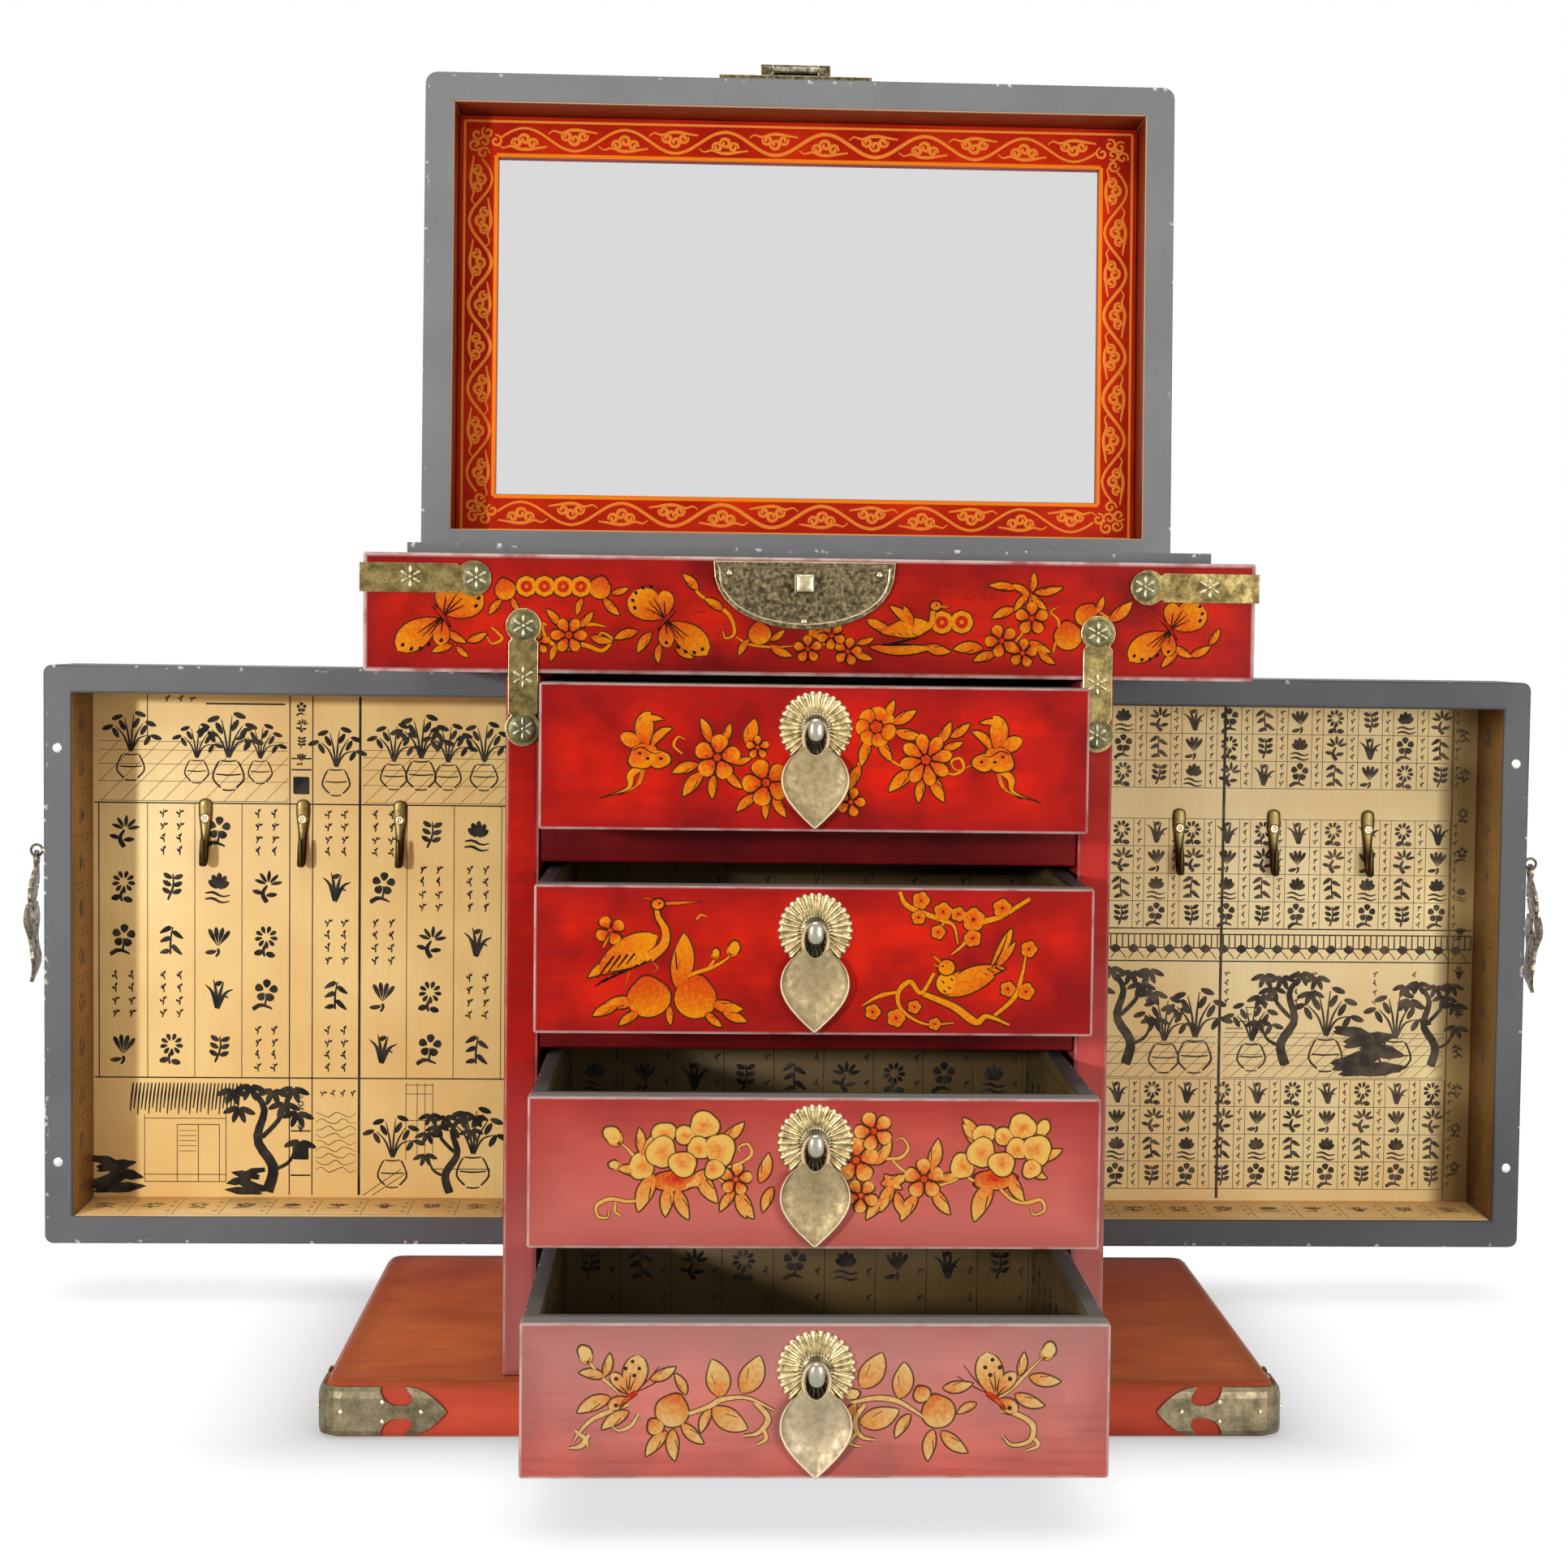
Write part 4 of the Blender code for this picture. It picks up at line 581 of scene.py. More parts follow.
def paintCoin(canvas, x, z, size):
    setPlace(canvas, x, z, size)
    blob(canvas, (0, 0), (1, 1), 0, 8, 0.06, tone=(0.2, 0.0))
    dots(canvas, [(0, 0)], (0.64, 0.64), 1.0, 26)
    blob(canvas, (0, 0), (0.26, 0.26), 45, 4, 0.2, tone=(0.2, 0.1), sides=16)


def paintBud(canvas, x, z, size, angle=90.0):
    setPlace(canvas, x, z, 1.2 * size, angle - 90)
    for side in (1, -1):
        leaf(canvas, (0, -1.1), 90 + 30 * side, 1.2, 0.5, -30 * side, 0.5, 0.8, (0.6, 0.1))
    blob(canvas, (0, 0), (0.8, 1.0), 0, 3, 0.14, tone=(0.25, 0.0), shade=-0.4)
    stroke(canvas, [(-0.1, 0.8), (0.05, 0.1), (-0.1, -0.7)], 0.1, (0.3, 0.6), 1.6)


def paintStem(canvas, points, width):
    setPlace(canvas)
    stroke(canvas, points, 1.5 * width, (0.75, 0.5), 0.1)


painters = {"stems": paintStem, "leaves": paintLeaf, "flowers": paintFlower, "peonies": paintPeony,
            "peaches": paintPeach, "coins": paintCoin, "buds": paintBud, "bats": paintBat,
            "butterflies": paintButterfly, "moths": paintMoth}


def paintAll(canvas, art):  # everything that one panel carries, stems first
    for motif, painter in painters.items():
        for row in art.get(motif, []):
            painter(canvas, *row)


# raised gold painting: bronze powder in size, shaded orange and outlined in dark brown, under clear lacquer
def goldPaint(name, gold, orange, outline):
    material, tree, shader = startFinish(name, Roughness=0.4, IOR=1.13)
    brush = noise(tree, objectPlace(tree), 1.2 * mm, 3.0)
    tone = calc(tree, "ADD", mark(tree, "tone"), spread(tree, brush, 0.3, 0.7, -0.16, 0.2))
    stops = [(0.0, gold), (0.8, outline), (0.26, orange), (0.5, "#a8200a")]
    body = addNode(tree, "ValToRGB", {0: calc(tree, "MULTIPLY", tone, 0.5)}, stops=stops).outputs[0]
    line = spread(tree, mark(tree, "rim"), 0.5, 0.85, 0.95, 0.0)
    layColour(tree, shader, mixColour(tree, line, body, outline))
    return material


freshGold = goldPaint("raisedGold", "#c67a08", "#b44606", "#1c0804")
# the lower drawers' golds are paler and duller, with a painted reflection of the white floor
fadedGoldWithSheen = goldPaint("fadedGoldWithSheen", "#c09648", "#ba6022", "#30140c")
dustyGoldWithSheen = goldPaint("dustyGoldWithSheen", "#b89a62", "#b07036", "#3a2014")

drawerArt = {  # millimetres from the middle of each front; leaves: x, z, angle, length
    1: {"bats": [(-58, 0.5, 13.6, 1), (62.5, 0.5, 13.6, -1)],
        "flowers": [(-34, 0, 6.6, 10), (-17, -8.5, 6.8, 40), (-20, 3.6, 3.4, 20), (38.5, 0, 7.6, 12, 8, 0.26),
                    (21, 11.2, 5.8, 30, 7, 0.4, 1.5), (12.5, -15, 4.2, 0)],
        "leaves": [(-45, -4.3, 200, 8), (-42, -9.6, 232, 9), (-35, -10.4, 268, 7), (-27.8, -7.6, 315, 7),
                   (-38.5, 9.4, 112, 7.5), (-31, 8.8, 70, 6), (-22.9, 9.4, 72, 7.5, 4.4), (-25.5, -0.6, 15, 6),
                   (-23.6, -16, 222, 7.5), (-11.8, -16.6, 300, 7.5), (-16.5, -18, 268, 6), (24.8, 17, 62, 7.5),
                   (30.6, 15.2, 30, 8), (32.4, 9.2, 350, 8), (24.8, 3.2, 300, 7.5), (17.6, 2, 255, 8),
                   (14, -6.8, 248, 8), (30.2, -7.8, 222, 9.5), (43.2, -9.9, 296, 8.5), (37, -11, 262, 7),
                   (44.6, 9.6, 62, 7.5), (50.2, 10.6, 38, 7), (48, 5.4, 20, 6)],
        "stems": [([(44, -3), (48, -5), (51.6, -3), (50.4, 0.6), (47.4, -0.6), (49.6, -3.6), (56, -1)], 1.1),
                  ([(-46, 1), (-49, 4), (-47.5, 7), (-45, 6)], 0.9), ([(20, 6), (16, 0), (13, -9), (12, -14)], 0.9),
                  ([(31, -3), (26, 0), (22, 5)], 0.9)]},
    2: {"flowers": [(-69.7, 9.9, 4.2, 30, 4), (36, 21, 2.2, 0), (35.2, 15.2, 1.9, 20), (43.6, 17.2, 2.3, 10),
                    (48.8, 16.4, 1.9, 0), (54, 14.6, 2.8, 15), (42, 10.2, 1.9, 0), (53.8, 8.2, 2.2, 30),
                    (63.8, 18.6, 2.3, 10), (28, -19.4, 2.3, 0), (34.2, -15.6, 1.8, 0), (20, -17.4, 2.0, 0),
                    (41.3, -21.4, 1.7, 0), (66.2, -9.2, 2.0, 0), (72.4, -10, 2.2, 0), (73.2, 4.6, 2.1, 0)],
        "peaches": [(-56.4, -13.2, 8.2, 7.0, 10), (-40.6, -13.2, 7.8, 7.4, -8)],
        "leaves": [(-46.2, 0, 84, 15, 6.5), (-66.5, -15.6, 190, 9), (-71, -17.8, 205, 8), (-29.5, -15.4, 350, 9),
                   (-27, -18.6, 335, 8), (-63, -20.6, 215, 7), (-48.8, -19.2, 275, 5.6), (-34, -20.2, 320, 6.5)],
        "buds": [(-27.6, 4.2, 2.7, 60), (-33.8, 2.4, 1.9, 80)],
        "stems": [([(-48, -9), (-42, -5), (-35, -2.5), (-30, 0.5), (-28, 3.4)], 1.3),
                  ([(-36.5, -3), (-34.6, -0.5), (-33.9, 1.6)], 1.0), ([(-72, 4), (-69.5, 9), (-66, 13)], 0.8),
                  ([(28.6, 24), (30.6, 19.8), (35.2, 17.2), (44.3, 14), (47.5, 12), (48.8, 6.1)], 1.9),
                  ([(73.6, 22.1), (63.8, 15.9), (56, 13), (50.8, 6.1), (46.5, 2.4)], 1.9),
                  ([(41, -3.6), (36.5, -10.8), (32.6, -6.9), (28.6, -10.8), (29.9, -16.6), (37.8, -21.4),
                  (48, -21)], 1.7),
                  ([(28.6, -10.4), (22, -12), (16.3, -15.3)], 1.4),
                  ([(36.5, -10.8), (47.5, -15.3), (55.3, -20.6), (59.2, -18.6), (67.1, -21.6)], 2.6),
                  ([(61, -19), (68.4, -12.1), (71, -4.3), (72.3, 3.5)], 1.7),
                  ([(44.3, 14), (42, 11), (39.5, 11)], 1.0), ([(54, 12), (53.9, 9.5), (55.5, 7)], 1.0),
                  ([(-40.6, 13.8), (-38.8, 15.4), (-36.5, 14.6)], 0.8)]},
    3: {"peonies": [(-43.5, 5, 11.5, 1), (62.8, 5.4, 11.0, 1)],
        "flowers": [(36.4, -1.6, 5.6, 20), (13.6, 4.6, 6.4, 15), (19.4, 14.4, 5.4, 40), (15.4, -7.4, 4.8, 50),
                    (-26.4, -2.0, 4.6, 10)],
        "buds": [(-67.5, 12.6, 3.4, 130), (-66.8, 2.6, 2.1, 160), (76, 15.8, 3.0, 50)],
        "leaves": [(-56.3, 9, 62, 7.5), (-61.6, 0.4, 172, 7.5), (-55.7, -7, 248, 11), (-48.5, -9.4, 262, 9),
                   (-43.6, -10.4, 292, 9), (-27.6, 14.2, 42, 8), (-35.2, -4.6, 302, 10), (-22.6, -10.4, 300, 9),
                   (-29, -9.6, 236, 7), (24.4, -8.3, 248, 8.5), (20.6, -12, 230, 8), (26.3, -2.6, 322, 6.5),
                   (39.4, 6.6, 78, 9), (42.8, -9.2, 304, 8.5), (31.8, -11.6, 240, 8.5), (44.8, -0.4, 18, 6.5),
                   (51.8, 12.6, 128, 8.5), (78, 7.2, 20, 8), (56.6, -9.6, 248, 11.5), (67.8, -4.6, 300, 8.5),
                   (74.2, 1, 330, 7), (-23.8, -10.4, 285, 8), (-17.2, 2.0, 75, 8.5), (-15.4, -9.0, 250, 7.5),
                   (22.4, 7.4, 60, 8),
                   (26.6, -1.6, 20, 8), (29.0, -10.4, 290, 7.5), (-58.6, 11.0, 95, 7), (-37.6, -2.6, 205, 10),
                   (51.4, 15.6, 130, 7)],
        "stems": [([(-56, 2), (-59.6, 4.8), (-63, 8.6), (-66.6, 11)], 1.0), ([(-58, 1), (-62, 2), (-65.6, 2.4)], 0.8),
                  ([(-57, -9), (-62, -9.6), (-68, -8.8), (-72.4, -11), (-72, -14.6), (-68.8, -15),
                  (-68.4, -12.6)], 1.3),
                  ([(-66, -9.4), (-66.4, -13), (-63.6, -14.8)], 1.0), ([(-32, -2), (-28.4, -4.6), (-26, -4)], 1.0),
                  ([(-29, 2), (-24.6, 3.6), (-21.2, 6.4), (-22.6, 9.8), (-25.6, 8.6), (-24.6, 6.8)], 1.1),
                  ([(17.8, 3.8), (23, 5), (28.3, 5.4), (31, 8.6), (29, 12), (26.4, 11)], 1.1),
                  ([(25.7, 4.6), (29, 1.4), (32.2, 0)], 1.0), ([(40.7, -4.2), (46, -2.2), (49.9, 0.2),
                  (54, 2.6)], 1.2),
                  ([(49.9, 0.2), (52.6, -2), (56, -2.2)], 1.0), ([(69, 9), (73, 12.6), (75.6, 15)], 1.0),
                  ([(61, -4), (66, -8.6), (71, -9.6), (75.6, -8.6), (77, -12), (73.4, -13.6), (72.2, -11.2)], 1.3)]},
    4: {"moths": [(-60.5, 2.6, 9.4, 1), (58.5, 2.2, 10.4, -1)],
        "peaches": [(-46.4, -3.4, 6.0, 5.6, -20), (39.8, -3.6, 6.0, 5.6, 20), (-51.6, -8.4, 3.4, 3.0, 40),
                    (34.4, 2.2, 3.4, 3.0, 30)],
        "buds": [(-74.6, 15.6, 2.9, 110), (75.4, 16.8, 2.9, 60), (12.0, 2.4, 2.4, 0)],
        "leaves": [(-67.6, 12.0, 78, 6.5), (-72.4, 8.4, 172, 7), (-71.6, -1.6, 206, 9.5), (-64.6, -6.6, 215, 8.5),
                   (-49.4, 9.4, 28, 7.5), (-44.0, 5.6, 120, 6.5), (-51.2, -14.2, 232, 8.5), (-45.4, -14.4, 275, 8.5),
                   (-39.4, -10.4, 318, 8), (-32.6, 7.4, 104, 10, 6.4), (-21.4, 9.0, 66, 10.5, 6.4),
                   (-27.4, -5.4, 330, 10.5, 6.0),
                   (-35.4, -6.6, 250, 7), (17.6, 10.4, 60, 10.5, 6.4), (27.4, 7.0, 84, 9.5, 5.6),
                   (20.6, -4.6, 20, 10.5, 6.0),
                   (11.4, -5.4, 250, 8), (28.4, -8.4, 240, 7.5), (37.6, -14.6, 262, 8.5), (45.4, -13.2, 322, 9),
                   (46.0, 5.4, 10, 8), (66.4, 12.4, 80, 6.5), (74.4, 7.6, 352, 8.5), (69.6, 0.6, 340, 8.5),
                   (49.0, -2.6, 210, 6)],
        "stems": [([(-73.6, 13.6), (-70, 8.6), (-66, 5.0), (-62, 1)], 1.1),
                  ([(-60, -1), (-66, -3.2), (-72, -6), (-76, -10), (-78.2, -13.6)], 1.5),
                  ([(-73, -11), (-75.6, -14.6), (-79.6, -15.4)], 1.8), ([(-77.6, -9.6), (-74, -12.6),
                  (-73.4, -16)], 1.3),
                  ([(-57, -4), (-59.6, -8), (-63.6, -9.6), (-66, -7.6)], 1.2),
                  ([(-42, -4.4), (-35, -2), (-30, 0.6), (-22, 1.0), (-13, -3.2)], 1.7),
                  ([(-20, 0), (-15.4, -5.6), (-18.6, -10.4), (-23.4, -11.4)], 1.9), ([(-17, -8.6), (-16, -12.4),
                  (-19.4, -14.4)], 1.4),
                  ([(11, -0.6), (19, 1.0), (26, 0.2), (32, -3.2), (36, -6)], 1.7),
                  ([(16, -1), (12.6, -6.4), (14.6, -11.4), (19.4, -12.8)], 1.9), ([(14, -9.6), (11, -13.6),
                  (15, -15)], 1.4),
                  ([(58, 0), (64, 4.6), (70, 11), (74.6, 15.6)], 1.1),
                  ([(60, -3), (66, -4.6), (70.6, -8), (69.6, -13), (64, -14.4), (60.6, -11.4)], 1.8),
                  ([(70, -11), (72.4, -14.4), (68.4, -16.4)], 1.4)]}}

def paintCrane(canvas):
    setPlace(canvas)
    stroke(canvas, [(-63, -4), (-63.8, -7), (-64.6, -10.6)], 0.9, (1, 0.5), 0.5)
    stroke(canvas, [(-55, -1), (-53.4, -3), (-55.6, -4.6)], 0.9, (1, 0.5), 0.5)
    leaf(canvas, (-66, 1), 214, 14, 4.6, 10, 0.5, 0.7, (0.3, 0.1))
    leaf(canvas, (-75, -5.6), 32, 26, 11, -12, 0.56, 0.6, (0.6, 0.0))
    leaf(canvas, (-53.6, 3.6), 204, 21, 7.6, 14, 0.34, 0.65, (0.0, 0.35))
    for reach in range(2, 20, 3):  # wing feathers
        stroke(canvas, [(-54 - 0.8 * reach, 4.0 - 0.1 * reach), (-57 - reach, 1.0 - 0.45 * reach)], 0.9, (1, 0.4),
               1.9, 6)
        stroke(canvas, [(-55 - 0.9 * reach, 0.6 - 0.4 * reach), (-58 - reach, -1.0 - 0.5 * reach)], 0.8, (1, 0.4),
               1.7, 6)
    stroke(canvas, [(-56.5, 0.6), (-51.6, 5), (-51, 10), (-53.4, 14.4), (-54.2, 18.4)], 4.0, (1.2, 0.62), 0.15)
    stroke(canvas, [(-53.4, 4.6), (-52.2, 9), (-54.0, 14)], 0.5, (0.5, 0.4), 1.2)
    blob(canvas, (-53.6, 19), (2.8, 2.3), 10, tone=(0.1, 0.0), shade=0.5)
    leaf(canvas, (-52, 19.2), 4, 14, 1.7, 4, 0.2, 0.7, (0.5, 0.2))
    stroke(canvas, [(-55.4, 20.4), (-58, 21), (-59.6, 19.6)], 0.7, (1, 0.3), 0.6)
    dots(canvas, [(-53, 19.3)], (0.5, 0.5), 2, 8)


def paintBird(canvas):
    setPlace(canvas)
    leaf(canvas, (58, -5), 62, 20, 4.4, 16, 0.62, 0.7, (0.5, 0.0))
    leaf(canvas, (60, -4.4), 54, 15, 3.2, 10, 0.6, 0.7, (0.6, 0.1))
    leaf(canvas, (41.6, -9.4), 16, 22, 9.6, 8, 0.4, 0.6, (0.2, 0.4))
    blob(canvas, (45.2, -7.4), (4.2, 4.4), 0, tone=(0.05, 0.0), shade=-0.3)
    leaf(canvas, (48, -6), 12, 18.5, 6, -14, 0.4, 0.65, (0.1, 0.4))
    for index in range(5):  # wing feathers
        reach = 2.6 * index
        stroke(canvas, [(50.5 + reach, -3.4 + 0.2 * reach), (54.5 + reach, -6.4 + 0.3 * reach)], 0.9, (1, 0.4), 1.9, 6)
    stroke(canvas, [(60, -3), (63.4, 3), (66, 10)], 0.8, (0.5, 0.4), 1.8)
    leaf(canvas, (43.4, -0.6), 138, 5.2, 1.5, 0, 0.3, 0.7, (0.4, 0.2))
    leaf(canvas, (43, -1.8), 162, 3.6, 1.1, 0, 0.3, 0.7, (0.4, 0.2))
    blob(canvas, (45, -1.9), (3.5, 3.2), 0, tone=(0.05, 0.0), shade=0.3)
    dots(canvas, [(43.8, -1.5)], (0.55, 0.55), 2, 8)
    for x, z in ((43.4, -6.4), (45.6, -8.4), (46.4, -5.6), (44, -9.6)):
        stroke(canvas, [(x, z), (x + 1.1, z - 1.1)], 0.7, (1, 0.4), 1.7, 6)


def spiral(canvas, centre, radius, start, turns, width, tone=0.1):  # a curl whose radius shrinks to a fifth
    t = np.linspace(0, 1, 9)
    angle = math.radians(start) + 2 * math.pi * turns * t
    size = radius * (1 - 0.8 * t)
    points = np.stack([centre[0] + size * np.cos(angle), centre[1] + size * np.sin(angle)], axis=1)
    stroke(canvas, points, width, (0.6, 0.7), tone, 26)


caseArt = {  # millimetres from the middle of the top case's front
    "butterflies": [(-133.2, -1.0, 13.6, 4, 1), (-53.2, -1.2, 13.0, -6, -1), (131, -2.6, 12.4, 4, 1)],
    "peaches": [(-111, 8.4, 4.4, 4.2, 15), (-77, 9.4, 4.6, 4.3, -15), (-19, -6.3, 4.8, 4.4, 10),
                (93.4, -5.8, 5.8, 5.4, 10), (99.8, 2, 4.6, 4.6, -35)],
    "coins": [(-103.4, 9.8, 4.4), (-96.9, 9.9, 4.4), (-90.2, 9.9, 4.4), (-83.8, 10, 4.4), (47.2, -1.2, 4.8),
              (54.4, -1, 4.8)],
    "flowers": [(-1.5, -11.5, 4.2, 20), (7, -6.5, 4.2, 50), (13, -12.2, 4.2, 5), (80, 0.6, 5.0, 18),
                (69, -7.6, 5.0, 40),
                (76.8, -12, 4.4, 10), (-88, -7.6, 5.4, 0, 6, 0.3), (-99, -10.4, 3.6, 20), (2, -4.4, 2.6, 0)],
    "leaves": [(-128, -8.6, 330, 6.5), (-121, -8.4, 25, 6.5), (-133.6, -13.4, 200, 6.5), (-126, -14, 320, 5),
               (-114.4, 2, 232, 6), (-107, 3, 300, 5), (-84, 2.6, 255, 5.5), (-72.4, 3, 315, 7), (-69.6, 9, 20, 5.5),
               (-67.4, -7.6, 200, 7.5), (-60.6, -10.2, 238, 7.5), (-55.2, -14, 268, 6), (-46, -13.2, 330, 6.5),
               (-44.6, 12, 135, 7), (-24.6, -11.4, 240, 6), (-11, -12, 335, 7.5), (-12.6, -6.4, 40, 5.5),
               (18.8, -13.4, 340, 6.5), (19.4, -8, 20, 5.5), (33.2, -9.6, 2, 20, 3.6), (69, 11.6, 176, 8.5, 3),
               (75.6, 10.8, 150, 6.5, 2.8), (86, 11.4, 12, 9, 3), (76.4, 6.2, 232, 7, 2.8), (82.8, 6.8, 318, 7, 2.8),
               (80, 14, 88, 6, 2.6), (69.6, 2, 205, 7.5), (63, -14, 200, 7.5), (83.4, -9.4, 335, 7.5),
               (86, -13.4, 325, 6.5),
               (56.8, -11, 184, 9), (112.4, 4, 42, 9), (104.6, 6, 70, 6), (135.8, -10.6, 330, 6.5),
               (142, -10.2, 28, 7),
               (130.8, -14.2, 225, 6.5), (147, -5, 60, 6), (-94, -1.4, 130, 6.5), (-82, -1.6, 50, 6.5),
               (-76, -8.6, 350, 7),
               (-104, -6.4, 190, 7), (-93, -14, 250, 6), (-36, 4.0, 150, 7), (24, -3.4, 160, 7.5),
               (46, -10.6, 350, 8), (105, -11, 300, 7)],
    "stems": [([(-116, -5), (-112, -9), (-115.6, -11), (-117.6, -8.4)], 1.1),
              ([(-98, -3), (-96, -9), (-90, -12.4), (-83, -11), (-76, -13), (-72.6, -9), (-76, -6.6), (-78, -9)], 1.7),
              ([(-96, -4), (-100, -3), (-101, -6.4), (-98.4, -7.4)], 1.3), ([(-88, -5), (-80, -3.6),
              (-74.6, -4.4)], 1.3),
              ([(-42.6, 9.6), (-40, 7), (-30.6, 0.9), (-28.2, -6), (-31.4, -8), (-32.4, -5.2)], 1.4),
              ([(-27.6, -7.4), (-23, -10), (-14.6, -11), (-6, -10.4)], 1.0), ([(3, -9), (8, -11), (14, -9)], 0.9),
              ([(74, -8), (77, -4), (79, 4), (79.6, 10)], 1.0), ([(88, -12), (90, -1), (87, 3), (89.4, 5)], 1.0),
              ([(103.6, 4.2), (108, 1.4), (111, 2)], 0.9)]}

def paintDuck(canvas):
    setPlace(canvas)
    leaf(canvas, (26.4, -2.6), 166, 7.5, 2.6, 20, 0.5, 0.7, (0.4, 0.0))
    leaf(canvas, (24, -5.4), 8, 20, 8.2, -8, 0.6, 0.6, (0.4, 0.0))
    leaf(canvas, (38, -3.6), 142, 13.5, 4.6, 18, 0.45, 0.65, (0.5, 0.0))
    leaf(canvas, (37, -3), 118, 9, 3.4, 10, 0.5, 0.65, (0.7, 0.1))
    stroke(canvas, [(39, -4.6), (43.4, -1.6), (43.8, 2), (44.4, 4)], 3.4, (1.1, 0.7), 0.15)
    blob(canvas, (44.8, 4.8), (2.6, 2.2), 10, tone=(0.1, 0.0), shade=0.5)
    leaf(canvas, (46.4, 4.6), -4, 4.4, 1.5, 0, 0.25, 0.7, (0.5, 0.3))
    dots(canvas, [(45.2, 5.1)], (0.45, 0.45), 2, 8)
    for index in range(4):
        stroke(canvas, [(28.5 + 2.6 * index, -5), (30.6 + 2.6 * index, -6.6)], 0.35, (1, 0.3), 1.7, 6)
    for start, centre in ((200, (57.4, 9.4)), (20, (61.4, 10.6)), (120, (64.6, 9.2))):
        spiral(canvas, centre, 2.4, start, 0.9, 0.5, 1.0)


def paintFront(name, node, body, gold, art, extras=()):
    low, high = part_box(node)
    canvas = newCanvas(flatFrame((0, low.y, (low.z + high.z) / 2)))
    paintAll(canvas, art)
    for painter in extras:
        painter(canvas)
    makePiece(name, canvas["sheaf"], body, gold, True)


drawerGold = {1: freshGold, 2: freshGold, 3: fadedGoldWithSheen, 4: dustyGoldWithSheen}
for number, art in drawerArt.items():
    extras = (paintCrane, paintBird) if number == 2 else ()
    paintFront(f"drawerPainting{number}", f"drawer_{number}_front", f"drawer_{number}", drawerGold[number], art, extras)
paintFront("casePainting", "case_walls", "carcase", freshGold, caseArt, (paintDuck,))
print("gold painting laid on the drawers and the top case")

# mirror frame: orange-red lacquer with a gold scroll between two lines
border = {"halfWide": 149.2, "halfTall": 91.7, "side": 17.0, "end": 18.0, "outerLine": 2.0, "innerLine": 1.2,
          "wave": 4.9, "longPeriods": 6, "shortPeriods": 4, "vine": 1.8, "curl": 3.9, "cloudOff": 1.2}
upLid = (0, math.sin(lidLean), math.cos(lidLean))
frameFace = flatFrame(leaned(0, 0.1343, 0.4281), (1, 0, 0), upLid)
scroll, lines = newCanvas(frameFace, 0.7), newCanvas(frameFace, 0.7)


def rule(canvas, start, end, width):  # a straight line of even width
    start, end = np.array(start, float), np.array(end, float)
    length = np.linalg.norm(end - start)
    along = (end - start) / length
    u = np.array([0, 0.25 * width, length - 0.25 * width, length])
    side = width / 2 * strokeAcross
    x = start[0] + along[0] * u[:, None] - along[1] * side
    z = start[1] + along[1] * u[:, None] + along[0] * side
    dab(canvas, x, z, sunkEnds(strokeHeight, 4), np.full((4, 5), width / 2) * (1 - np.abs(strokeAcross)), 0.0)
    canvas["layer"] -= 1


def cloudCurl(canvas, x, z, size, turn, flip):  # three curled lobes over a base line that trails off both ways
    setPlace(canvas, x, z, size, turn, flip)
    spiral(canvas, (0, 0.26), 0.74, -60, 1.35, 0.44)
    spiral(canvas, (-0.92, -0.16), 0.6, 200, -1.25, 0.42)
    spiral(canvas, (0.92, -0.16), 0.6, -20, 1.25, 0.42)
    trail = [(-2.6, -0.5), (-1.5, -0.66), (-0.5, -0.82), (0.5, -0.8), (1.5, -0.5), (2.4, -0.7), (3.0, -0.3)]
    stroke(canvas, trail, 0.42, (0.5, 0.3), 0.1)


def scrollRun(canvas, start, turn, length, periods):  # a waving vine with a cloud in each half wave
    setPlace(canvas, *start, 1, turn)
    x = np.linspace(-length / 2, length / 2, 8 * periods + 1)
    wave = border["wave"] * np.sin(2 * math.pi * periods * (x / length + 0.5))
    stroke(canvas, np.stack([x, wave], axis=1), border["vine"], (0.6, 0.6), 0.05, 20 * periods)
    for index in range(2 * periods):
        way = -1 if index % 2 else 1
        along = -length / 2 + length * (index + 0.5) / (2 * periods)
        spot = start + along * unit(turn) - way * border["cloudOff"] * unit(turn + 90)
        cloudCurl(canvas, *spot, border["curl"], turn + (0 if way > 0 else 180), way)


wide, tall = border["halfWide"], border["halfTall"]
setPlace(scroll)
for canvas, inX, inZ, width in ((scroll, border["outerLine"], border["outerLine"], 1.2),
                                (lines, border["side"] - border["innerLine"], border["end"] - border["innerLine"],
                                 1.8)):
    ringX, ringZ = wide - inX, tall - inZ
    corners = [(-ringX, -ringZ), (ringX, -ringZ), (ringX, ringZ), (-ringX, ringZ)]
    for index in range(4):
        rule(canvas, corners[index], corners[(index + 1) % 4], width)
midX, midZ = wide - border["side"] / 2 - 0.6, tall - border["end"] / 2 - 0.6
long, short = 2 * (wide - border["side"]), 2 * (tall - border["end"])
for turn, start, length, periods in ((0, (0, -midZ), long, border["longPeriods"]),
                                     (180, (0, midZ), long, border["longPeriods"]),
                                     (90, (midX, 0), short, border["shortPeriods"]),
                                     (-90, (-midX, 0), short, border["shortPeriods"])):
    scrollRun(scroll, start, turn, length, periods)
cornerCurls = ((1.8, 1.8, 45, 1), (-2.8, 2.8, 120, -1), (2.8, -2.8, -30, 1), (-1.4, -1.4, 225, 1),
               (-6.4, -1.0, 100, 1), (-1.0, -6.4, -10, -1))  # x, z, start and way round
for sideX in (-1, 1):
    for sideZ in (-1, 1):
        setPlace(scroll, sideX * midX, sideZ * midZ)
        for px, pz, start, way in cornerCurls:
            spiral(scroll, (sideX * px, sideZ * pz), 2.8, start, 1.2 * way * sideX * sideZ, 1.3)

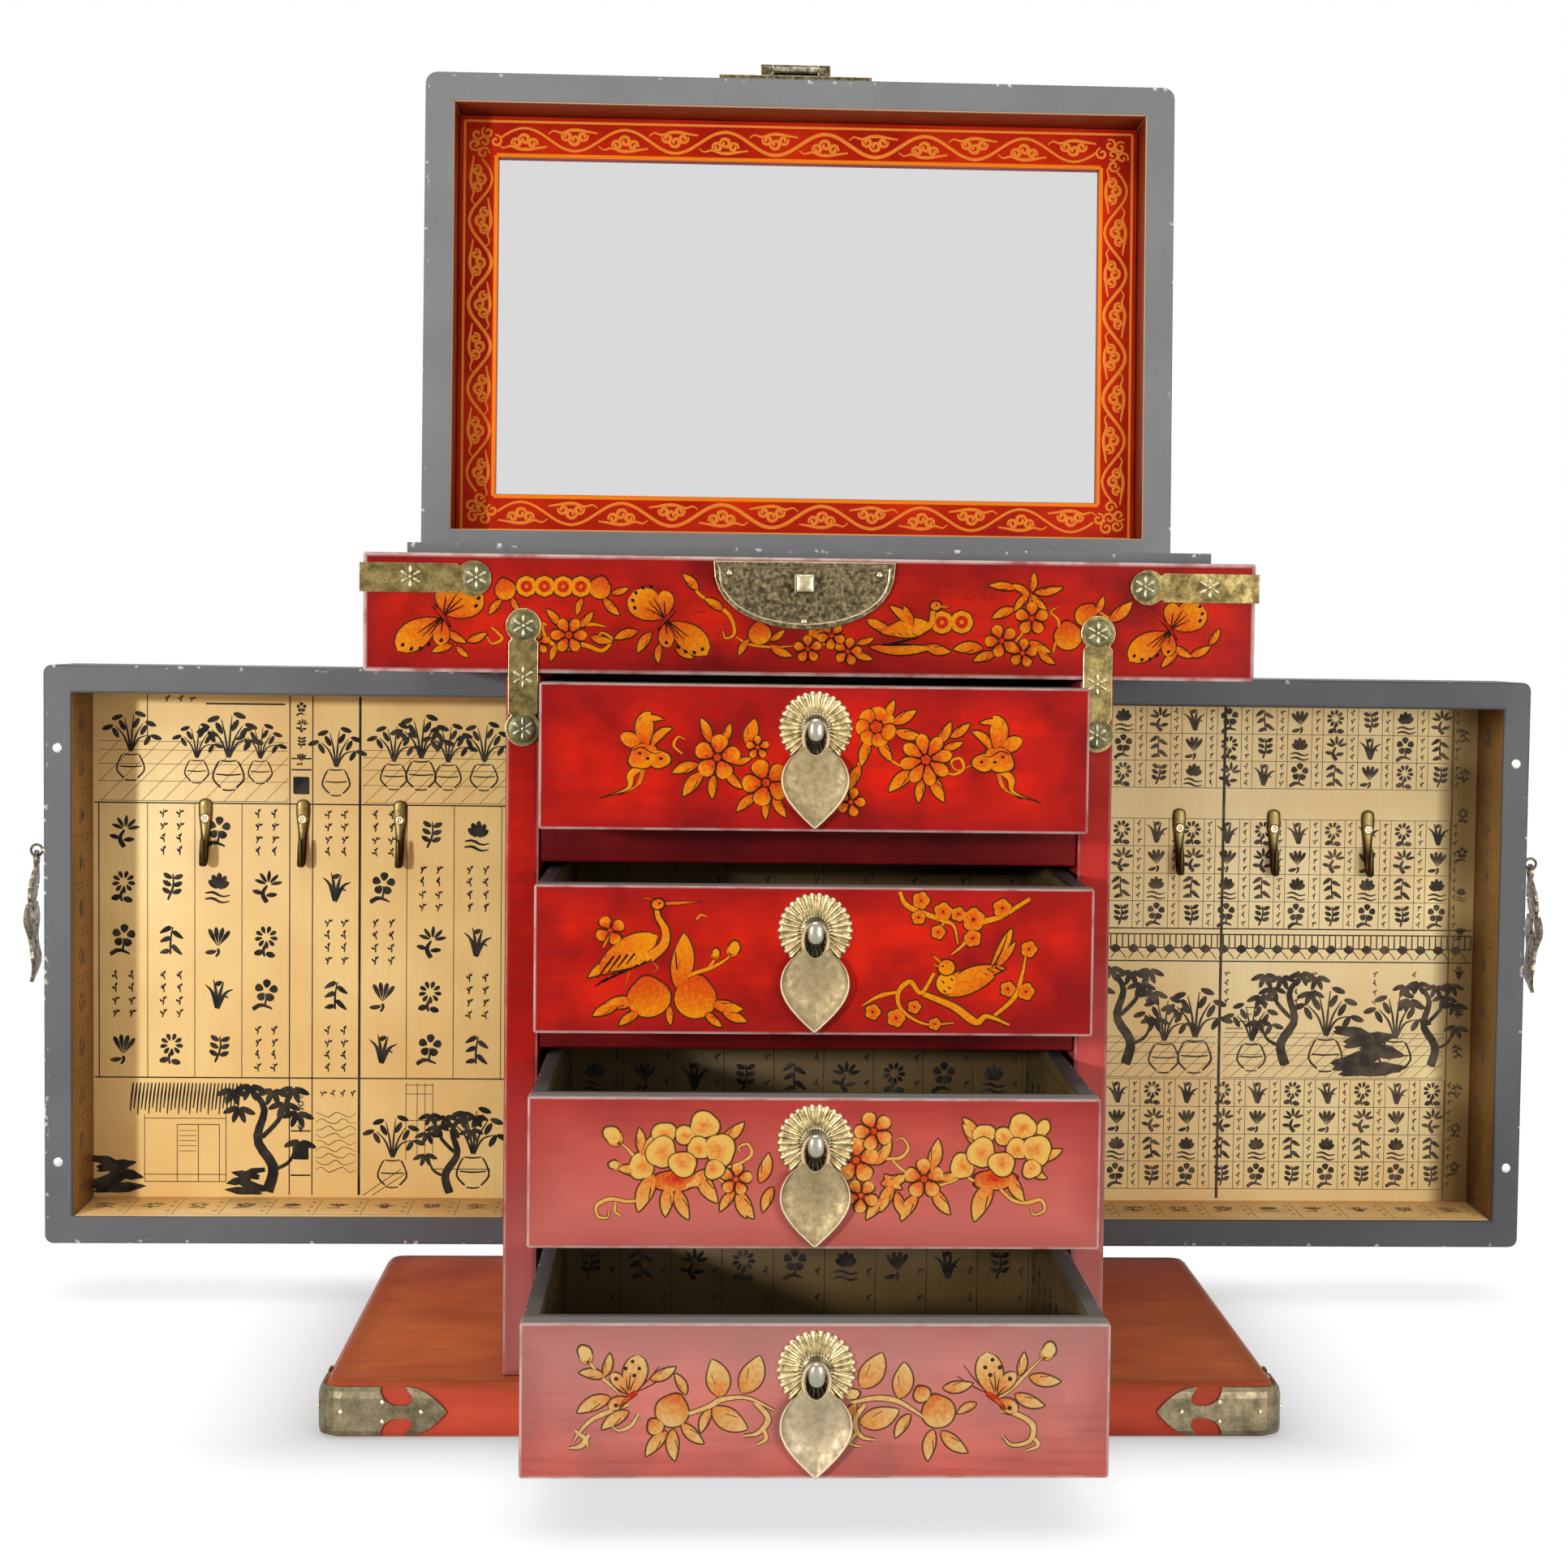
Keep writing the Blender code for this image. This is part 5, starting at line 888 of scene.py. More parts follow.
# scroll gold on the mirror frame: thin orange gilding, flat and a little shiny
scrollGold = evenFinish("scrollGold", "#d87c2a", Roughness=0.35, IOR=1.13)
lineGold = evenFinish("lineGold", "#e27a14", Roughness=0.35, IOR=1.13)
makePiece("mirrorBorder", scroll["sheaf"], "lid", scrollGold)
makePiece("mirrorLine", lines["sheaf"], "lid", lineGold)
frameRed = {"bright": "#be2806", "deep": "#9c1804", "crimson": 0.5, "streaks": 0.1, "wearAndSheen": 0.21 * mm}
frameLow, frameHigh = Vector((-0.1497, 0.1343, 0.3359)), Vector((0.1497, 0.1373, 0.5203))
dress("mirror_frame", redLacquer("redLacquer.mirrorFrame", frameLow, frameHigh, frameRed, lidLean))
print("mirror border drawn")



# printed paper linings: thin sheets pasted to the walls, with ruled columns, small plants and garden scenes in ink

def pasteSheet(sheaf, flat, wide, tall, thick=0.12):  # a flat sheet whose four borders bend into the wall behind it
    u = np.array([-0.5, -0.4985, 0.4985, 0.5])
    x, z = np.meshgrid(u * wide, u * tall)
    lift = np.where((np.abs(x) > 0.499 * wide) | (np.abs(z) > 0.499 * tall), -0.05, thick)
    addGrid(sheaf, onFrame(flat, x.T, z.T, lift.T))


def inkCanvas(flat, thick=0.12):
    return newCanvas(raised(flat, thick), 0.4, 0.0)


def inkSprig(canvas, x, z, size, kind, turn=0.0, weight=0.13):  # one printed plant or cloud, size is its height
    setPlace(canvas, x, z, size, turn)
    if kind == 0:  # bamboo
        stroke(canvas, [(0.02, -0.5), (-0.02, 0), (0.02, 0.5)], 0.5 * weight, (1, 0.6), 0, 6)
        for spot, angle, long in ((0.42, 215, 0.46), (0.3, -30, 0.44), (0.1, 210, 0.4), (-0.1, -38, 0.5),
                                  (-0.3, 200, 0.34)):
            leaf(canvas, (0, spot), angle, long, 1.1 * weight, 10, 0.35, 0.8, rows=6)
    elif kind == 1:  # plum blossom on a twig
        stroke(canvas, [(-0.4, -0.5), (-0.1, -0.3), (0.3, -0.42)], weight, (1, 0.3), 0, 6)
        for angle in range(0, 360, 72):
            c, s = unit(angle + 18)
            leaf(canvas, (0.07 * c, 0.13 + 0.07 * s), angle + 18, 0.3, 1.7 * weight, 0, 0.6, 0.6, rows=6)
        stroke(canvas, [(0.0, -0.34), (0.02, -0.1), (0.0, 0.1)], 0.5 * weight, (1, 0.6), 0, 6)
    elif kind == 2:  # orchid
        for tip, lean in ((-0.46, 0.3), (-0.2, 0.5), (0.14, 0.46), (0.46, 0.22), (0.34, -0.1)):
            stroke(canvas, [(0, -0.5), (0.4 * tip, 0.2 * lean), (tip, lean)], 0.9 * weight, (0.7, 0.1), 0, 7)
        blob(canvas, (-0.02, 0.34), (0.13, 0.09), 30, 3, 0.3, sides=9)
    elif kind == 3:  # pine
        stroke(canvas, [(0.1, -0.5), (-0.08, -0.2), (0.06, 0.1)], 1.1 * weight, (1, 0.4), 0, 7)
        for angle in (15, 50, 90, 130, 165):
            c, s = unit(angle)
            leaf(canvas, (0.06 + 0.05 * c, 0.08 + 0.05 * s), angle, 0.4, 0.8 * weight, 0, 0.5, 0.8, rows=6)
        leaf(canvas, (-0.06, -0.2), 170, 0.36, weight, 0, 0.5, 0.8, rows=6)
        leaf(canvas, (0.0, -0.25), 10, 0.38, weight, 0, 0.5, 0.8, rows=6)
    elif kind == 4:  # lotus over water
        for angle, long in ((40, 0.42), (65, 0.5), (90, 0.54), (115, 0.5), (140, 0.42)):
            leaf(canvas, (0, -0.08), angle, long, 1.3 * weight, 0, 0.55, 0.7, rows=6)
        for level in (-0.24, -0.42):
            stroke(canvas, [(-0.42, level), (-0.14, level + 0.06), (0.14, level - 0.04), (0.42, level + 0.04)],
                   0.7 * weight, (0.4, 0.3), 0, 8)
    elif kind == 5:  # ear of grain
        stroke(canvas, [(-0.1, -0.5), (0.06, 0), (0.0, 0.46)], 0.55 * weight, (1, 0.5), 0, 6)
        for level in (-0.2, 0.02, 0.24):
            leaf(canvas, (0.03, level), 150, 0.34, 1.1 * weight, -30, 0.5, 0.8, rows=6)
            leaf(canvas, (0.03, level), 30, 0.34, 1.1 * weight, 30, 0.5, 0.8, rows=6)
    elif kind == 6:  # chrysanthemum
        for angle in range(0, 360, 40):
            c, s = unit(angle)
            leaf(canvas, (0.1 * c, 0.12 + 0.1 * s), angle, 0.26, 0.9 * weight, 20, 0.6, 0.7, rows=6)
        stroke(canvas, [(0, -0.1), (-0.05, -0.3), (0.02, -0.5)], 0.7 * weight, (1, 0.6), 0, 6)
        leaf(canvas, (-0.02, -0.3), 200, 0.34, 1.3 * weight, 0, 0.5, 0.8, rows=6)
        leaf(canvas, (0, -0.36), -10, 0.34, 1.3 * weight, 0, 0.5, 0.8, rows=6)
    else:  # reed and fan leaf
        for angle in (60, 80, 100, 120):
            leaf(canvas, (0, -0.2), angle, 0.66, weight, 0, 0.7, 0.8, rows=6)
        stroke(canvas, [(0, -0.2), (0.04, -0.36), (-0.06, -0.5)], 0.7 * weight, (1, 0.6), 0, 6)
        leaf(canvas, (0, -0.3), 190, 0.4, weight, -20, 0.5, 0.8, rows=6)


def inkSpeck(canvas, x, z, size, kind):  # a tiny sprig of three touches
    setPlace(canvas, x, z, size, 37 * kind % 50 - 25)
    stroke(canvas, [(0, -0.45), (0.06, 0), (0, 0.45)], 0.14, (1, 0.6), 0, 6)
    leaf(canvas, (0.03, 0.1), 30 + 9 * kind % 40, 0.46, 0.2, 0, 0.5, 0.8, rows=5)
    leaf(canvas, (0.03, -0.12), 150 - 7 * kind % 40, 0.46, 0.2, 0, 0.5, 0.8, rows=5)


def inkRule(canvas, x0, z0, x1, z1, width=0.35):
    setPlace(canvas)
    rule(canvas, (x0, z0), (x1, z1), width)


def tiledFloor(canvas, x0, x1, z0, z1, rows, lean, pitch):  # a paved court: level lines and slanted joints
    for index in range(rows + 1):
        level = z0 + (z1 - z0) * (1 - (1 - index / rows) ** 1.4)
        inkRule(canvas, x0, level, x1, level, 0.25)
    for start in np.arange(x0 - lean, x1, pitch):
        a, b = max(x0, start), min(x1, start + lean)
        if b - a > 1:
            inkRule(canvas, a, z0 + (z1 - z0) * (a - start) / lean, b, z0 + (z1 - z0) * (b - start) / lean, 0.25)


def gardenTree(canvas, x, z, tall, lean=1):  # a leaning trunk with hanging leaf clusters
    setPlace(canvas, x, z, tall, 0, lean)
    stroke(canvas, [(0.0, 0.0), (0.06, 0.25), (-0.08, 0.5), (-0.02, 0.78), (-0.16, 0.98)], 0.1, (1.2, 0.5), 0, 16)
    stroke(canvas, [(-0.06, 0.5), (0.12, 0.7), (0.2, 0.95)], 0.05, (1, 0.5), 0, 10)
    stroke(canvas, [(0.05, 0.22), (0.2, 0.3), (0.26, 0.44)], 0.04, (1, 0.5), 0, 8)
    for px, pz in ((-0.3, 0.96), (-0.14, 1.0), (0.06, 0.96), (0.24, 0.98), (-0.24, 0.8), (0.28, 0.76), (0.3, 0.5),
                   (0.16, 0.84)):
        for angle in (205, 250, 290, 335):
            leaf(canvas, (px, pz), angle, 0.17, 0.06, 10, 0.5, 0.8, rows=6)


def gardenHouse(canvas, x, z, wide, tall):  # a thatched hut: hatched roof, plain wall, latticed door
    setPlace(canvas)
    for index in range(30):
        px = x - 0.66 * wide + 1.32 * wide * index / 29
        drop = 0.04 * tall * math.sin(2.3 * index)
        stroke(canvas, [(px + 0.03 * wide, z + tall), (px, z + 0.82 * tall), (px - 0.02 * wide,
                                                                              z + 0.66 * tall + drop)],
               1.1, (0.6, 0.5), 0, 6)
    for px in (-0.5, 0.5):
        inkRule(canvas, x + px * wide, z, x + px * wide, z + 0.66 * tall, 0.4)
    for level in (0.0, 0.07, 0.62):
        inkRule(canvas, x - 0.5 * wide, z + level * tall, x + 0.5 * wide, z + level * tall, 0.4)
    for px in (-0.1, 0.16, 0.42):
        inkRule(canvas, x + px * wide, z, x + px * wide, z + 0.56 * tall, 0.4)
    inkRule(canvas, x - 0.1 * wide, z + 0.56 * tall, x + 0.42 * wide, z + 0.56 * tall, 0.4)
    for index in range(5):
        inkRule(canvas, x - 0.08 * wide, z + (0.3 + 0.05 * index) * tall, x + 0.14 * wide,
                z + (0.3 + 0.05 * index) * tall, 0.3)


def gardenPot(canvas, x, z, tall):  # a footed jar with a plant standing in it
    setPlace(canvas, x, z, tall)
    for side in (-1, 1):
        stroke(canvas, [(side * 0.08, 0), (side * 0.2, 0.14), (side * 0.16, 0.3), (side * 0.11, 0.38)], 0.03,
               (1, 0.8), 0, 10)
    for level, half in ((0.0, 0.1), (0.2, 0.2), (0.38, 0.13)):
        stroke(canvas, [(-half, level), (0, level - 0.015), (half, level)], 0.025, (0.8, 0.8), 0, 6)
    for tip, lean in ((-0.24, 0.8), (-0.1, 0.95), (0.05, 1.0), (0.2, 0.86), (0.28, 0.66)):
        stroke(canvas, [(0, 0.38), (0.4 * tip, 0.4 + 0.3 * lean), (tip, lean)], 0.035, (0.8, 0.3), 0, 8)
        leaf(canvas, (0.7 * tip, 0.75 * lean), 60 if tip > 0 else 120, 0.2, 0.08, 0, 0.5, 0.7, rows=6)
        leaf(canvas, (tip, lean), 200 if tip < 0 else -20, 0.2, 0.08, 0, 0.5, 0.7, rows=6)


def waterLines(canvas, x0, x1, z0, z1, rows):  # waves as rows of shallow arcs
    setPlace(canvas)
    for index in range(rows):
        level = z0 + (z1 - z0) * (index + 0.5) / rows
        sway = (z1 - z0) / rows * 0.4
        x = np.linspace(x0, x1, 7)
        z = level + sway * np.sin(np.arange(7) * 2.1 + index * 1.7)
        stroke(canvas, np.stack([x, z], axis=1), 0.45, (0.5, 0.5), 0, 24)


def rockHeap(canvas, x, z, size, lean=1):  # garden rocks under a hatched bank
    setPlace(canvas, x, z, size, 0, lean)
    for px, pz, wide, tall, turn in ((-0.1, 0.2, 0.5, 0.14, 15), (0.25, 0.34, 0.4, 0.12, -12),
                                     (0.05, 0.5, 0.46, 0.12, 10),
                                     (-0.2, 0.62, 0.34, 0.1, -8), (0.1, 0.05, 0.6, 0.12, 4)):
        blob(canvas, (px, pz), (wide, tall), turn, 5, 0.25, sides=16)


leftLining = {"wide": 185.2, "tall": 226.3, "columns": (-68.6, -47.8, -27.0, -5.9, 4.2, 46.0, 66.9, 88.0),
              "heavy": 25.1,
              "upper": 63.7, "lower": -59.1, "mark": 15.0, "small": 5.0}


def inkLeftDoor(canvas):
    look = leftLining
    edge = look["wide"] / 2 - 0.6
    for level in (look["upper"], look["lower"]):
        inkRule(canvas, -edge, level, edge, level, 0.7)
    for x in look["columns"]:
        inkRule(canvas, x, look["lower"], x, look["upper"], 0.4)
    inkRule(canvas, -90, look["lower"], -90, look["upper"], 0.6)
    inkRule(canvas, look["heavy"], -112, look["heavy"], 112, 1.3)
    inkRule(canvas, -5.9, -112, -5.9, 112, 0.6)
    inkRule(canvas, 4.2, -112, 4.2, 112, 0.6)
    stacks = {-79.3: "BBBsB", -58.2: "sBBsB", -37.4: "BBBBB", -16.4: "sBBBs", 14.6: "sBsBs", 35.5: "sBsBB",
              56.4: "BsBBB", 77.4: "BsBsB"}
    kind = 0
    for x, stack in stacks.items():  # big marks one under another, or small ones in pairs
        for index, mark in enumerate(stack):
            z = look["upper"] - 13 - 24.2 * index
            kind += 3
            if mark == "B":
                inkSprig(canvas, x, z, look["mark"] + 0.6 * (kind % 3), kind % 8, 5 * (kind % 3) - 5, 0.15)
                continue
            for side in (-3.6, 3.6):
                for row in range(4):
                    inkSpeck(canvas, x + side, z + 8.4 - 5.6 * row, look["small"], kind + row)
    setPlace(canvas)
    for z in (72, -92):  # blocks of the fold strip
        stroke(canvas, [(-0.85, z + 4.5), (-0.85, z), (-0.85, z - 4.5)], 8.2, (1, 1), 0, 8)
    for z in (84, 79, -83, -103):
        inkRule(canvas, -5.4, z, 3.7, z, 0.8)
    for index in range(4):
        inkSprig(canvas, -0.85, 106 - 7.4 * index, 6.4, (2 * index + 1) % 8, 0, 0.16)
        inkSprig(canvas, -0.85, -66 - 5.2 * index, 4.6, (2 * index + 4) % 8, 0, 0.16)
    tiledFloor(canvas, -90, -6.6, 64.6, 91, 4, 26, 9)
    tiledFloor(canvas, 26.4, edge, 64.6, 88, 4, 24, 8.4)
    inkRule(canvas, -68.6, 91, -68.6, 112, 0.5)
    inkRule(canvas, -43, 108, -8, 108, 0.9)
    for x, z, tall in ((-76, 74, 30), (-47, 73, 26), (-33, 70, 34), (-19, 73, 26), (14.5, 68, 30), (40, 71, 29),
                       (52, 71, 33),
                       (64, 71, 29), (80, 71, 30)):
        gardenPot(canvas, x, z, tall)
    for x in (-60, -54, -49):
        inkSpeck(canvas, x, 110, 4, int(x) % 7)
    gardenHouse(canvas, -52, -106, 36, 46)
    gardenTree(canvas, -16, -112, 50, 1)
    rockHeap(canvas, -84, -110, 22, 1)
    rockHeap(canvas, -24, -111, 16, -1)
    waterLines(canvas, 5.4, 24.2, -102, -74, 9)
    for index in range(4):
        inkSpeck(canvas, 9 + 4.4 * index, -66, 4, index)
    for x in (46, 51, 54.5, 58):
        inkRule(canvas, x, -96, x, -61, 0.35)
    for level in (-62, -66, -78):
        inkRule(canvas, 46, level, 58, level, 0.35)
    inkRule(canvas, 58, -100, 84, -100, 0.5)
    gardenPot(canvas, 40, -108, 32)
    gardenPot(canvas, 76, -108, 36)
    gardenTree(canvas, 66, -112, 38, -1)
    inkRule(canvas, 27, -112, 44, -100, 0.4)
    inkRule(canvas, 31, -112, 46, -102, 0.4)


rightLining = {"wide": 185.2, "tall": 226.3, "first": -90.6, "pitch": 16.05, "count": 11, "heavy": -22.8,
               "bands": ((112.0, 75.2, 3), (61.2, 11.4, 4), (-57.2, -107.5, 4)), "mark": 11.6, "small": 3.4}


def inkRightDoor(canvas):
    look = rightLining
    edge = look["wide"] / 2 - 0.6
    kind = 0
    for top, bottom, rows in look["bands"]:
        step = (top - bottom) / rows
        for index in range(rows + 1):
            inkRule(canvas, -edge, top - step * index, 80, top - step * index, 0.3)
        for column in range(look["count"]):
            x = look["first"] + look["pitch"] * column
            inkRule(canvas, x, bottom, x, top, 0.3)
            inkRule(canvas, x + 11, bottom, x + 11, top, 0.3)
            for row in range(rows):
                kind += 5
                z = top - step * (row + 0.5)
                inkSprig(canvas, x + 5.6, z, look["mark"], kind % 8, 4 * (kind % 3) - 4, 0.16)
                for small in range(3):
                    inkSpeck(canvas, x + 13.4, z + 3.8 - 3.8 * small, look["small"], kind + small)
    inkRule(canvas, look["heavy"], -112, look["heavy"], 112, 1.5)
    for level in (11.4, 8.8, 2.6, -3.4):
        inkRule(canvas, -edge, level, edge, level, 0.7)
    for x in np.arange(-edge, edge, 2.7):  # railing of upright bars over a zigzag
        inkRule(canvas, x, 8.8, x, 2.6, 0.7)
    setPlace(canvas)
    for x in np.arange(-edge + 2, edge - 6, 8.2):
        leaf(canvas, (x, 2.2), 0, 5.4, 4.2, 0, 0.5, 1.0, rows=7)
        stroke(canvas, [(x, -3), (x + 4.1, 1.4), (x + 8.2, -3)], 0.5, (1, 1), 0, 8)
    tiledFloor(canvas, -21, 80, -56.4, -36, 5, 22, 6.4)
    tiledFloor(canvas, -edge, -24.6, -56.4, -38, 4, 20, 6.4)
    gardenTree(canvas, -66, -52, 46, 1)
    gardenPot(canvas, -48, -54, 34)
    gardenPot(canvas, -34, -54, 38)
    gardenTree(canvas, 8, -52, 44, -1)
    gardenPot(canvas, -8, -53, 32)
    gardenPot(canvas, 26, -53, 38)
    rockHeap(canvas, 44, -54, 30, 1)
    gardenPot(canvas, 58, -53, 36)
    gardenTree(canvas, 74, -52, 40, 1)
    for index in range(6):
        inkRule(canvas, -20 + 3 * index, -34 + 3.2 * index, -12 + 2 * index, -34 + 3.2 * index, 0.5)
    for x in (-56, -20, 12, 20, 48, 66):
        for row in range(4):
            inkSpeck(canvas, x, -9 - 4.2 * row, 3.6, row + int(x) % 5)
    inkRule(canvas, 81.5, -112, 81.5, 112, 0.6)
    for index in range(12):
        inkSprig(canvas, 86.6, 100 - 18 * index, 7, (3 * index) % 8, 0, 0.16)


def inkWall(canvas, wide, tall, seed):  # a strip of wall paper: ruled cells with a plant in each
    count = max(2, round(wide / 20))
    step = wide / count
    inkRule(canvas, -wide / 2 + 1, 0.42 * tall, wide / 2 - 1, 0.42 * tall, 0.4)
    inkRule(canvas, -wide / 2 + 1, -0.42 * tall, wide / 2 - 1, -0.42 * tall, 0.4)
    for index in range(count):
        x = -wide / 2 + step * (index + 0.5)
        inkRule(canvas, x + step / 2 - 0.4, -0.42 * tall, x + step / 2 - 0.4, 0.42 * tall, 0.35)
        inkSprig(canvas, x - 2, 0.06 * tall, min(13, 0.55 * tall), (3 * index + seed) % 8, 0, 0.16)
        for row in (-0.24, 0.0, 0.24):
            inkSpeck(canvas, x + 0.34 * step, row * tall, min(4, 0.2 * tall), index + seed)


def inkFloorSheet(canvas, wide, tall, seed):  # the lining of a drawer's floor: rows of plants over garden scenes
    rows = max(2, round(tall / 42))
    for row in range(rows):
        z = -tall / 2 + tall / rows * (row + 0.5)
        inkRule(canvas, -wide / 2 + 1, z + 0.5 * tall / rows - 0.5, wide / 2 - 1, z + 0.5 * tall / rows - 0.5, 0.6)
        for index in range(8):
            x = -wide / 2 + wide / 8 * (index + 0.5)
            inkRule(canvas, x + wide / 16 - 0.3, z - 0.48 * tall / rows, x + wide / 16 - 0.3, z + 0.48 * tall / rows,
                    0.35)
            inkSprig(canvas, x - 2, z, 13, (3 * index + 2 * row + seed) % 8, 0, 0.15)
            for small in range(4):
                inkSpeck(canvas, x + 8, z + 10 - 6.4 * small, 4.2, index + small + seed)


# sized paper: tan, faintly ribbed down its length, varnished so that it takes a soft glare
def sizedPaper(name, light, dark, roughness, paintedWallShadow=None):
    material, tree, shader = startFinish(name, Roughness=roughness, IOR=1.35)
    place = objectPlace(tree)
    cloud = noise(tree, place, 60 * mm, 4.0)
    share = spread(tree, cloud, 0.35, 0.65)
    body = mixColour(tree, share, dark, light)
    ribbed = stretched(tree, place, (1, 1, 0.02))  # laid lines down the sheet
    rib = noise(tree, ribbed, 1.3 * mm, 1.0)
    line = spread(tree, rib, 0.45, 0.7, 0.0, 0.3)
    colour = mixColour(tree, line, body, dark)
    if paintedWallShadow:  # painted shadow: darker beside the outer wall, where the wall shades the sheet
        tone, start, end = paintedWallShadow
        across = split(tree, place)[0]
        near = spread(tree, across, start, end, 0.0, 0.85)
        colour = mixColour(tree, near, colour, tone)
    layColour(tree, shader, colour)
    return material


# printing ink: carbon black soaked into the paper, greyer where it printed thin
def printInk(name, dark, thin):
    material, tree, shader = startFinish(name, Roughness=0.55, IOR=1.2)
    place = objectPlace(tree)
    patch = noise(tree, place, 7 * mm, 3.0)
    share = spread(tree, patch, 0.4, 0.68)
    colour = mixColour(tree, share, dark, thin)
    layColour(tree, shader, colour)
    return material


doorPaper = {-1: sizedPaper("sizedPaper.leftDoor", "#f6d892", "#e8c27a", 0.42),
             # the right door's paper is whiter for a painted glare on it
             1: sizedPaper("sizedPaper.rightDoor", "#fdeaae", "#f4d494", 0.42, ("#94763e", 0.292, 0.299))}
# painted shade: the door walls' paper is dark brown, darker on the right door, for the shade beside the rim
shadedWallPaper = {-1: sizedPaper("sizedPaper.leftWall", "#9c723a", "#82602c", 0.4),
             1: sizedPaper("sizedPaper.rightWall", "#86622f", "#6e4e24", 0.4)}
sillPaper = sizedPaper("sizedPaper.sill", "#f8d898", "#e8bc74", 0.4)
# painted shade: the linings inside the drawers and the top case are dark brown for the shade in there
shadedLiningPaper = sizedPaper("sizedPaper.drawer", "#6e5632", "#5a4626", 0.5)
blackInk = printInk("printInk", "#1a1816", "#403a30")
paleInk = printInk("printInk.thin", "#4a4440", "#7a6a50")
# the right door's print is greyer: faded print under a painted veil of glare
fadedInkWithSheen = printInk("printInk.faded", "#3a342c", "#665a48")

tray = {"inner": 0.1251, "outer": 0.3105, "rim": 0.1073, "face": 0.1522, "low": 0.0373, "high": 0.2638, "margin": 1.6}


def lineDoor(word, side):
    middle = side * (tray["inner"] + tray["outer"]) / 2
    midZ, midY = (tray["low"] + tray["high"]) / 2, (tray["rim"] + tray["face"]) / 2
    wide, tall = (tray["outer"] - tray["inner"]) / mm, (tray["high"] - tray["low"]) / mm
    deep = (tray["face"] - tray["rim"]) / mm - tray["margin"]
    midY += 0.5 * tray["margin"] * mm
    panel = flatFrame((middle, tray["face"], midZ))
    sheet = newSheaf()
    pasteSheet(sheet, panel, wide - 0.2, tall - 0.2)
    makePiece(word + "DoorSheet", sheet, word + "_door", doorPaper[side])
    canvas = inkCanvas(panel)
    (inkLeftDoor if side < 0 else inkRightDoor)(canvas)
    makePiece(word + "DoorPrint", canvas["sheaf"], word + "_door", blackInk if side < 0 else fadedInkWithSheen)
    walls, sill, prints = newSheaf(), newSheaf(), newSheaf()
    faces = [(flatFrame((middle, midY, tray["low"]), (1, 0, 0), (0, 1, 0)), wide, deep),
             (flatFrame((middle, midY, tray["high"]), (1, 0, 0), (0, -1, 0)), wide, deep),
             (flatFrame((middle - (tray["outer"] - tray["inner"]) / 2, midY, midZ), (0, 0, 1), (0, -1, 0)), tall, deep),
             (flatFrame((middle + (tray["outer"] - tray["inner"]) / 2, midY, midZ), (0, 0, 1), (0, 1, 0)), tall, deep)]
    for index, (flat, across, depth) in enumerate(faces):
        pasteSheet(walls if index else sill, flat, across - 0.3, depth)
        canvas = inkCanvas(flat)
        canvas["sheaf"] = prints
        inkWall(canvas, across - 2, depth - 2, index)
    makePiece(word + "DoorWallSheets", walls, word + "_door", shadedWallPaper[side])
    makePiece(word + "DoorSillSheet", sill, word + "_door", sillPaper)
    makePiece(word + "DoorWallPrint", prints, word + "_door", paleInk)


lineDoor("left", -1)
lineDoor("right", 1)

box = {"halfWide": 90.0, "front": 15.3, "back": 194.0, "floor": 4.0, "top": 50.3, "margin": 1.2}
for number in (1, 2, 3, 4):
    low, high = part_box(f"drawer_{number}_front")
    midY = low.y + (box["front"] + box["back"]) / 2 * mm
    floorZ, midZ = low.z + box["floor"] * mm, low.z + (box["floor"] + box["top"] - box["margin"]) / 2 * mm
    deep, tall, wide = box["back"] - box["front"], box["top"] - box["floor"] - box["margin"], 2 * box["halfWide"]
    sheets, prints = newSheaf(), newSheaf()
    faces = [(flatFrame((0, midY, floorZ), (1, 0, 0), (0, 1, 0)), wide, deep),
             (flatFrame((0, low.y + box["back"] * mm, midZ), (1, 0, 0), (0, 0, 1)), wide, tall),
             (flatFrame((0, low.y + box["front"] * mm, midZ), (-1, 0, 0), (0, 0, 1)), wide, tall),
             (flatFrame((-box["halfWide"] * mm, midY, midZ), (0, 1, 0), (0, 0, 1)), deep, tall),
             (flatFrame((box["halfWide"] * mm, midY, midZ), (0, -1, 0), (0, 0, 1)), deep, tall)]
    for index, (flat, across, depth) in enumerate(faces):
        pasteSheet(sheets, flat, across - 0.2, depth - 0.2)
        canvas = inkCanvas(flat)
        canvas["sheaf"] = prints
        (inkFloorSheet if index == 0 else inkWall)(canvas, across - 2, depth - 2, index + number)
    makePiece(f"drawerSheets{number}", sheets, f"drawer_{number}", shadedLiningPaper)
    makePiece(f"drawerPrint{number}", prints, f"drawer_{number}", blackInk)

